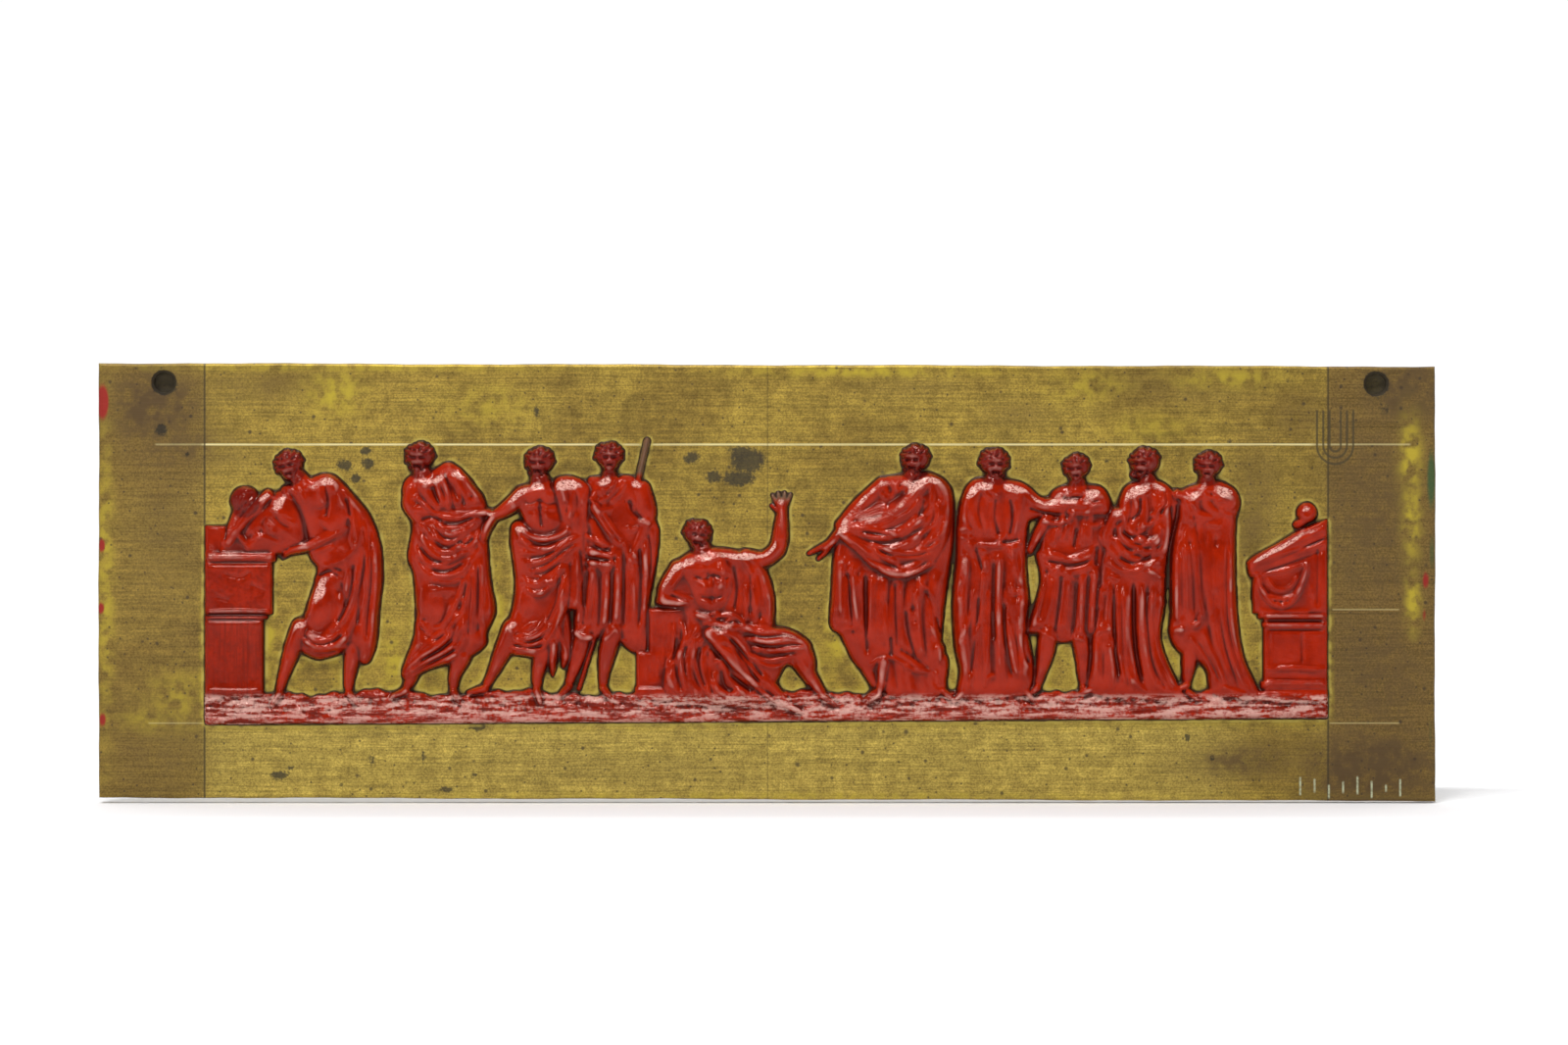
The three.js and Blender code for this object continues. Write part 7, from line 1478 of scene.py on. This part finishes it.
# ---- materials ----
class Nodes:
    """A short way to write node trees: each call adds a node and gives back its output."""

    def __init__(self, name):
        self.material = bpy.data.materials.new(name)
        self.material.use_nodes = True
        self.tree = self.material.node_tree
        self.shader = self.tree.nodes["Principled BSDF"]
        coordinates = self.tree.nodes.new("ShaderNodeTexCoord")
        self.mm = self.vector("SCALE", coordinates.outputs["Object"], scale=1 / MM)
        parts = self.tree.nodes.new("ShaderNodeSeparateXYZ")
        self.join(self.mm, parts.inputs[0])
        self.x, self.y, self.z = parts.outputs
        self.front = self.fit(self.y, -0.7 * THICKNESS, -0.85 * THICKNESS)

    def join(self, value, socket):
        if isinstance(value, bpy.types.NodeSocket):
            self.tree.links.new(value, socket)
        elif isinstance(value, tuple) and len(value) == 3 and len(socket.default_value) == 4:
            socket.default_value = (*value, 1)
        else:
            socket.default_value = value

    def vector(self, operation, value, other=None, scale=None):
        node = self.tree.nodes.new("ShaderNodeVectorMath")
        node.operation = operation
        self.join(value, node.inputs[0])
        if other is not None:
            self.join(other, node.inputs[1])
        if scale is not None:
            self.join(scale, node.inputs["Scale"])
        return node.outputs[0]

    def math(self, operation, a, b=0.0, clamp=False):
        node = self.tree.nodes.new("ShaderNodeMath")
        node.operation = operation
        node.use_clamp = clamp
        self.join(a, node.inputs[0])
        self.join(b, node.inputs[1])
        return node.outputs[0]

    def times(self, a, b, clamp=False):
        return self.math("MULTIPLY", a, b, clamp)

    def plus(self, a, b):
        return self.math("ADD", a, b)

    def minus(self, a, b):
        return self.math("SUBTRACT", a, b)

    def most(self, a, b):
        return self.math("MAXIMUM", a, b)

    def least(self, a, b):
        return self.math("MINIMUM", a, b)

    def uneven(self, colour, pattern, low, high, darker, lighter):
        """A colour made darker and lighter by a pattern."""
        return self.mix(self.fit(pattern, low, high), self.mix(1.0, colour, darker, "MULTIPLY"),
                        self.mix(1.0, colour, lighter, "MULTIPLY"))

    def fit(self, value, low, high, to_low=0.0, to_high=1.0):
        node = self.tree.nodes.new("ShaderNodeMapRange")
        node.interpolation_type = "SMOOTHSTEP"
        for socket, entry in zip(node.inputs, (value, low, high, to_low, to_high)):
            self.join(entry, socket)
        return node.outputs[0]

    def noise(self, scale, stretch=(1, 1, 1), detail=3.0, roughness=0.55, shift=(0, 0, 0)):
        node = self.tree.nodes.new("ShaderNodeTexNoise")
        place = self.vector("ADD", self.vector("MULTIPLY", self.mm, stretch), shift)
        self.join(place, node.inputs["Vector"])
        node.inputs["Scale"].default_value = scale
        node.inputs["Detail"].default_value = detail
        node.inputs["Roughness"].default_value = roughness
        return node.outputs["Fac"]

    def specks(self, scale, shift=(0, 0, 0), stretch=(1, 1, 1)):
        """The distance to the nearest of many scattered points, and a random number for each."""
        node = self.tree.nodes.new("ShaderNodeTexVoronoi")
        place = self.vector("ADD", self.vector("MULTIPLY", self.mm, stretch), shift)
        self.join(place, node.inputs["Vector"])
        node.inputs["Scale"].default_value = scale
        return node.outputs["Distance"], node.outputs["Color"]

    def painted(self, name):
        node = self.tree.nodes.new("ShaderNodeAttribute")
        node.attribute_name = name
        return node.outputs["Fac"]

    def mix(self, share, a, b, blend="MIX"):
        node = self.tree.nodes.new("ShaderNodeMix")
        node.data_type = "RGBA"
        node.blend_type = blend
        self.join(share, node.inputs["Factor"])
        self.join(a, node.inputs[6])
        self.join(b, node.inputs[7])
        return node.outputs[2]

    def line(self, across, place, width, along=None, start=0, end=0):
        """A thin straight scored line, as a mask."""
        near = self.math("ABSOLUTE", self.minus(across, place))
        mask = self.fit(near, width * 0.4, width, 1, 0)
        if along is not None:
            middle = self.math("ABSOLUTE", self.minus(along, (start + end) / 2))
            mask = self.times(mask, self.fit(middle, (end - start) / 2 - 0.4, (end - start) / 2, 1, 0))
        return self.times(mask, self.front)

    def bump(self, height, strength, distance):
        node = self.tree.nodes.new("ShaderNodeBump")
        node.inputs["Strength"].default_value = strength
        node.inputs["Distance"].default_value = distance
        self.join(height, node.inputs["Height"])
        self.join(node.outputs[0], self.shader.inputs["Normal"])


def worn_brass():
    """Brushed brass with its patina, stains, pits, scored lines and remnants of paint and wax, with a
    painted highlight on the long scored line and painted shade in the holes.
    """
    n = Nodes("worn_brass")
    cloud = n.noise(0.06, detail=5)
    small = n.noise(0.5, detail=5, shift=(7, 3, 1))
    fine = n.noise(2.2, detail=4, shift=(2, 9, 4))
    brushed = n.noise(1.6, stretch=(0.06, 1, 2.4), detail=3, roughness=0.7)
    scratched = n.noise(2.6, stretch=(0.03, 1, 3.5), detail=2, shift=(5, 0, 8))
    colour = n.mix(n.fit(cloud, 0.38, 0.62), BRASS_LIGHT, BRASS_DULL)
    # The band below the frieze is rubbed brighter, except at its ends.
    below = n.times(n.fit(n.z, -19, -21), n.times(n.front, n.fit(n.x, 74, 60, 0, 0.8)))
    colour = n.mix(n.times(below, n.fit(n.x, -84, -78)), colour, BRASS_BELOW)
    # Beyond the two upright scored lines the brass is browner.
    sides = n.most(n.fit(n.x, -80.2, -81.4, 0, 0.5), n.fit(n.x, 79.9, 81.2, 0, 0.85))
    sides = n.times(sides, n.front)
    colour = n.mix(sides, colour, n.mix(n.fit(small, 0.3, 0.7), SIDE_LIGHT, SIDE_DARK))
    colour = n.uneven(colour, brushed, 0.3, 0.7, (0.72, 0.71, 0.68), (1.24, 1.23, 1.2))
    grit = n.noise(3.4, detail=3, roughness=0.7, shift=(12, 5, 6))
    colour = n.uneven(colour, grit, 0.32, 0.68, (0.68, 0.67, 0.63), (1.28, 1.28, 1.24))
    colour = n.uneven(colour, small, 0.3, 0.7, (0.78, 0.77, 0.72), (1.2, 1.21, 1.16))
    brown = n.times(n.painted("brown"), n.fit(small, 0.3, 0.62, 0.25, 1.5), clamp=True)
    colour = n.mix(brown, colour, BROWN_PATINA)
    yellow = n.times(n.painted("yellow"), n.fit(small, 0.36, 0.64, 0.1, 1.5), clamp=True)
    colour = n.mix(yellow, colour, BARE_YELLOW)
    # The dark mask holds real stains and the painted shade of the holes.
    ragged = n.plus(n.painted("dark"), n.times(n.minus(fine, 0.5), 1.2))
    dark = n.fit(ragged, 0.42, 0.85, 0, 0.82)
    colour = n.mix(dark, colour, STAIN_AND_HOLE_SHADE)
    for scale, size, share, shift in PITS:
        distance, chance = n.specks(scale, shift, (1, 0, 1))
        picked = n.fit(chance, share + 0.12, share + 0.14)
        speck = n.times(n.fit(distance, size * 0.35, size, 0.75, 0), picked)
        colour = n.mix(speck, colour, PIT)
    # The long scored line over the heads, painted bright: a painted highlight where its groove catches the
    # light.
    weaker_ends = n.least(n.fit(n.x, -81.4, -80.6, 0.3, 1), n.fit(n.x, 77.6, 79, 1, 0.45))
    line_highlight = n.times(n.line(n.z, 19.5, 0.19, n.x, -88, 92.6), weaker_ends)
    colour = n.mix(n.times(line_highlight, n.fit(scratched, 0.3, 0.5, 0.35, 1)), colour, LINE_HIGHLIGHT)
    for level, start, end in LEVEL_LINES:
        faint = n.times(n.line(n.z, level, 0.14, n.x, start, end), 0.45)
        colour = n.mix(faint, colour, FAINT_LINE)
    for place, width, strength in UPRIGHT_LINES:
        colour = n.mix(n.times(n.line(n.x, place, width), strength), colour, DARK_LINE)
    # A pale ring and a dark line follow the figures' outline.
    halo = n.painted("halo")
    pale = n.times(n.fit(halo, 0.02, 0.16, 0, 0.7), n.fit(small, 0.38, 0.6, 0.15, 1))
    colour = n.mix(pale, colour, HALO_PALE)
    colour = n.mix(n.fit(halo, 0.2, 0.42, 0, 0.75), colour, HALO_DARK)
    for place, low, high in STROKES:
        stroke = n.times(n.line(n.x, place, 0.2, n.z, low, high), n.fit(fine, 0.35, 0.6, 0.45, 0.9))
        colour = n.mix(stroke, colour, PALE_PAINT)
    across, down = n.minus(n.x, LOOP_X), n.least(n.minus(n.z, LOOP_Z), 0.0)
    far = n.math("SQRT", n.plus(n.times(across, across), n.times(down, down)))
    for radius in LOOP_RADII:
        loop = n.times(n.line(far, radius, 0.22, n.z, LOOP_LOW, LOOP_TOP), 0.8)
        colour = n.mix(loop, colour, LOOP_DARK)
    colour = n.mix(n.fit(n.painted("red"), 0.3, 0.7), colour, RED_TRACE)
    colour = n.mix(n.fit(n.painted("green"), 0.3, 0.8, 0, 0.8), colour, GREEN_PATINA)
    n.join(colour, n.shader.inputs["Base Color"])
    n.shader.inputs["Metallic"].default_value = 0.55
    roughness = n.plus(n.fit(brushed, 0.3, 0.7, 0.42, 0.54), n.times(n.plus(brown, dark), 0.2))
    n.join(roughness, n.shader.inputs["Roughness"])
    grain = n.plus(n.times(brushed, 0.5), n.plus(n.times(scratched, 0.4), n.times(small, 0.5)))
    n.bump(grain, 0.25, 0.00012)
    return n.material


def glossy_wax():
    """Sealing wax: painted shade in its hollows, painted highlights on the broad forms that face up and
    along fold ridges, and a dark edge.
    """
    n = Nodes("red_wax")
    hollows = n.painted("hollow")
    mottled = n.noise(0.35, detail=5)
    fine = n.noise(1.8, detail=5, shift=(3, 1, 7))
    finer = n.noise(5, detail=3, shift=(8, 2, 1))
    streaks = n.noise(1.0, stretch=(0.3, 1, 1.6), detail=5, shift=(4, 6, 2))
    height = n.minus(FRONT, n.y)
    colour = n.mix(n.fit(mottled, 0.35, 0.65), WAX_LIGHT, WAX_DULL)
    grain = n.noise(1.0, stretch=(2.4, 1, 0.12), detail=4, shift=(1, 4, 4))
    blocks = n.times(n.fit(n.x, -71.4, -72.2), n.fit(n.z, 4.6, 3.9))
    shaft = n.times(n.fit(n.z, -3.4, -4.2), n.fit(grain, 0.3, 0.6, 0.75, 0.15))
    shade = n.most(shaft, n.fit(fine, 0.3, 0.65, 0.55, 0.1))
    colour = n.mix(n.times(blocks, shade), colour, WAX_SHAFT)
    # Painted shade: the wax is darkened in its hollows and creases.
    colour = n.mix(n.fit(hollows, 0.0, 0.9, 0, 0.88), colour, WAX_HOLLOW_SHADE)
    heads = n.fit(n.painted("head"), 0.2, 0.8, 0, 0.66)
    colour = n.mix(heads, colour, WAX_HEAD)
    # Painted highlight: pale pink where the broad forms face up towards the light, broken up by noise.
    highlight_breakup = n.noise(2.6, stretch=(1, 1, 1.5), detail=5, roughness=0.7, shift=(6, 3, 9))
    highlight_share = n.times(n.painted("highlight_mask"), n.fit(mottled, 0.36, 0.6, 0.25, 1))
    painted_sheen = n.times(n.fit(highlight_share, 0.16, 0.6, 0, 0.86), n.fit(highlight_breakup, 0.4, 0.54, 0.08, 1))
    # Painted highlight: pale lines along the fold ridges, except on the heads.
    thin = n.times(n.fit(n.painted("ridge"), 0.32, 0.85, 0, 0.5), n.fit(mottled, 0.38, 0.6, 0.1, 1))
    lit = n.most(painted_sheen, n.times(thin, n.minus(1.0, heads)))
    colour = n.mix(lit, colour, HIGHLIGHT_PINK)
    # Painted highlight and painted shade on the ground strip: pale streaks, a little weaker at its lower
    # edge, and dark streaks.
    strip_highlight_streaks = n.fit(n.plus(streaks, n.times(fine, 0.5)), 0.66, 0.9, 0.0, 0.85)
    low = n.fit(n.z, -16.0, -17.0)
    strip = n.times(n.times(low, n.fit(n.z, -19.7, -18.8, 0.7, 1)), strip_highlight_streaks)
    colour = n.mix(strip, colour, GROUND_HIGHLIGHT)
    strip_shade_streaks = n.times(low, n.fit(n.minus(streaks, n.times(fine, 0.3)), 0.35, 0.22, 0, 0.6))
    colour = n.mix(strip_shade_streaks, colour, GROUND_SHADE)
    colour = n.mix(n.painted("grey"), colour, GREY_DIRT)
    # The lowest wax, the film and the foot of each form, is painted dark.
    edge = n.fit(height, 0.08, 0.2, 1, 0)
    colour = n.mix(edge, colour, FILM_EDGE_DARK)
    n.join(colour, n.shader.inputs["Base Color"])
    roughness = n.plus(n.fit(fine, 0.3, 0.7, 0.11, 0.2), n.times(edge, 0.2))
    n.join(roughness, n.shader.inputs["Roughness"])
    n.shader.inputs["Specular IOR Level"].default_value = 0.33
    n.shader.inputs["Specular Tint"].default_value = (1, 0.62, 0.55, 1)
    curls = n.times(n.times(n.specks(2.1, (4, 0, 2), (1, 0, 1))[0], heads), 1.6)
    n.bump(n.plus(curls, n.plus(fine, n.times(finer, 0.25))), 0.3, 0.0001)
    return n.material


plate.data.materials.append(worn_brass())
wax.data.materials.append(glossy_wax())
for piece, node, slot in ((plate, "brass_plate", "brass"), (wax, "wax_frieze", "wax")):
    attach(piece, "root")
    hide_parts(node)


# ---- stage: a pale floor that curves up far behind, and soft studio light ----
FLOOR_GAP = 0.0003
FLOOR_NEAR, FLOOR_FAR, FLOOR_CURVE, WALL_TOP, FLOOR_HALF, CURVE_PARTS = -3.0, 2.2, 0.8, 3.5, 6.0, 12
PAPER = (0.9, 0.9, 0.91, 1)
# Each lamp: its name, place, target, size and power.
LAMPS = (("key_top", (-0.10, -0.50, 0.85), (0, 0, 0), (0.4, 0.13), 7.5),
         ("key_front", (-0.25, -1.2, 0.5), (0, 0, 0), (0.16, 0.12), 3.0),
         ("fill_left", (-1.0, -0.6, 0.25), (0, 0, 0), (0.2, 0.5), 0.9),
         ("fill_right", (1.0, -0.6, 0.2), (0, 0, 0), (0.2, 0.5), 0.5),
         ("back_wash", (0, 0.9, 1.5), (0, 2.0, 0.2), (2.5, 1.0), 30))
# The world's light rises from its first strength in front to its second behind, between two values of Y.
WORLD_LEVELS = (("From Min", -0.6), ("From Max", 0.5), ("To Min", 0.04), ("To Max", 0.85))


def backdrop():
    """One sheet: a floor that turns up into a wall."""
    floor_z = plate_low[2] * MM - FLOOR_GAP
    profile = [(FLOOR_NEAR, floor_z)]
    for k in range(CURVE_PARTS + 1):
        a = math.radians(90 * k / CURVE_PARTS)
        out, up = FLOOR_CURVE * math.sin(a), FLOOR_CURVE * math.cos(a)
        profile.append((FLOOR_FAR - FLOOR_CURVE + out, floor_z + FLOOR_CURVE - up))
    profile.append((FLOOR_FAR, WALL_TOP))
    bm = bmesh.new()
    sides = [[bm.verts.new((side * FLOOR_HALF, y, z)) for y, z in profile] for side in (-1, 1)]
    for k in range(len(profile) - 1):
        bm.faces.new((sides[0][k], sides[1][k], sides[1][k + 1], sides[0][k + 1])).smooth = True
    mesh = bpy.data.meshes.new("backdrop")
    bm.to_mesh(mesh)
    bm.free()
    piece = link("backdrop", mesh)
    paper = bpy.data.materials.new("pale_paper")
    paper.use_nodes = True
    shader = paper.node_tree.nodes["Principled BSDF"]
    shader.inputs["Base Color"].default_value = PAPER
    shader.inputs["Roughness"].default_value = 0.9
    piece.data.materials.append(paper)


def softbox(name, place, target, size, power):
    """A flat lamp that faces its target."""
    light = bpy.data.lights.new(name, "AREA")
    light.shape = "RECTANGLE"
    light.size, light.size_y = size
    light.energy = power
    lamp = bpy.data.objects.new(name, light)
    lamp.location = place
    lamp.rotation_euler = (Vector(target) - Vector(place)).to_track_quat("-Z", "Y").to_euler()
    bpy.context.scene.collection.objects.link(lamp)


def studio_world():
    """Dim in front of the plaque, where the studio is dark, and pale above and behind it."""
    world = bpy.data.worlds.new("studio")
    world.use_nodes = True
    tree = world.node_tree
    direction = tree.nodes.new("ShaderNodeTexCoord")
    parts = tree.nodes.new("ShaderNodeSeparateXYZ")
    level = tree.nodes.new("ShaderNodeMapRange")
    tree.links.new(direction.outputs["Generated"], parts.inputs[0])
    tree.links.new(parts.outputs["Y"], level.inputs["Value"])
    for name, value in WORLD_LEVELS:
        level.inputs[name].default_value = value
    background = tree.nodes["Background"]
    background.inputs["Color"].default_value = (1, 1, 1, 1)
    tree.links.new(level.outputs["Result"], background.inputs["Strength"])
    bpy.context.scene.world = world


backdrop()
for lamp in LAMPS:
    softbox(*lamp)
studio_world()
bpy.context.scene.view_settings.view_transform = "Standard"
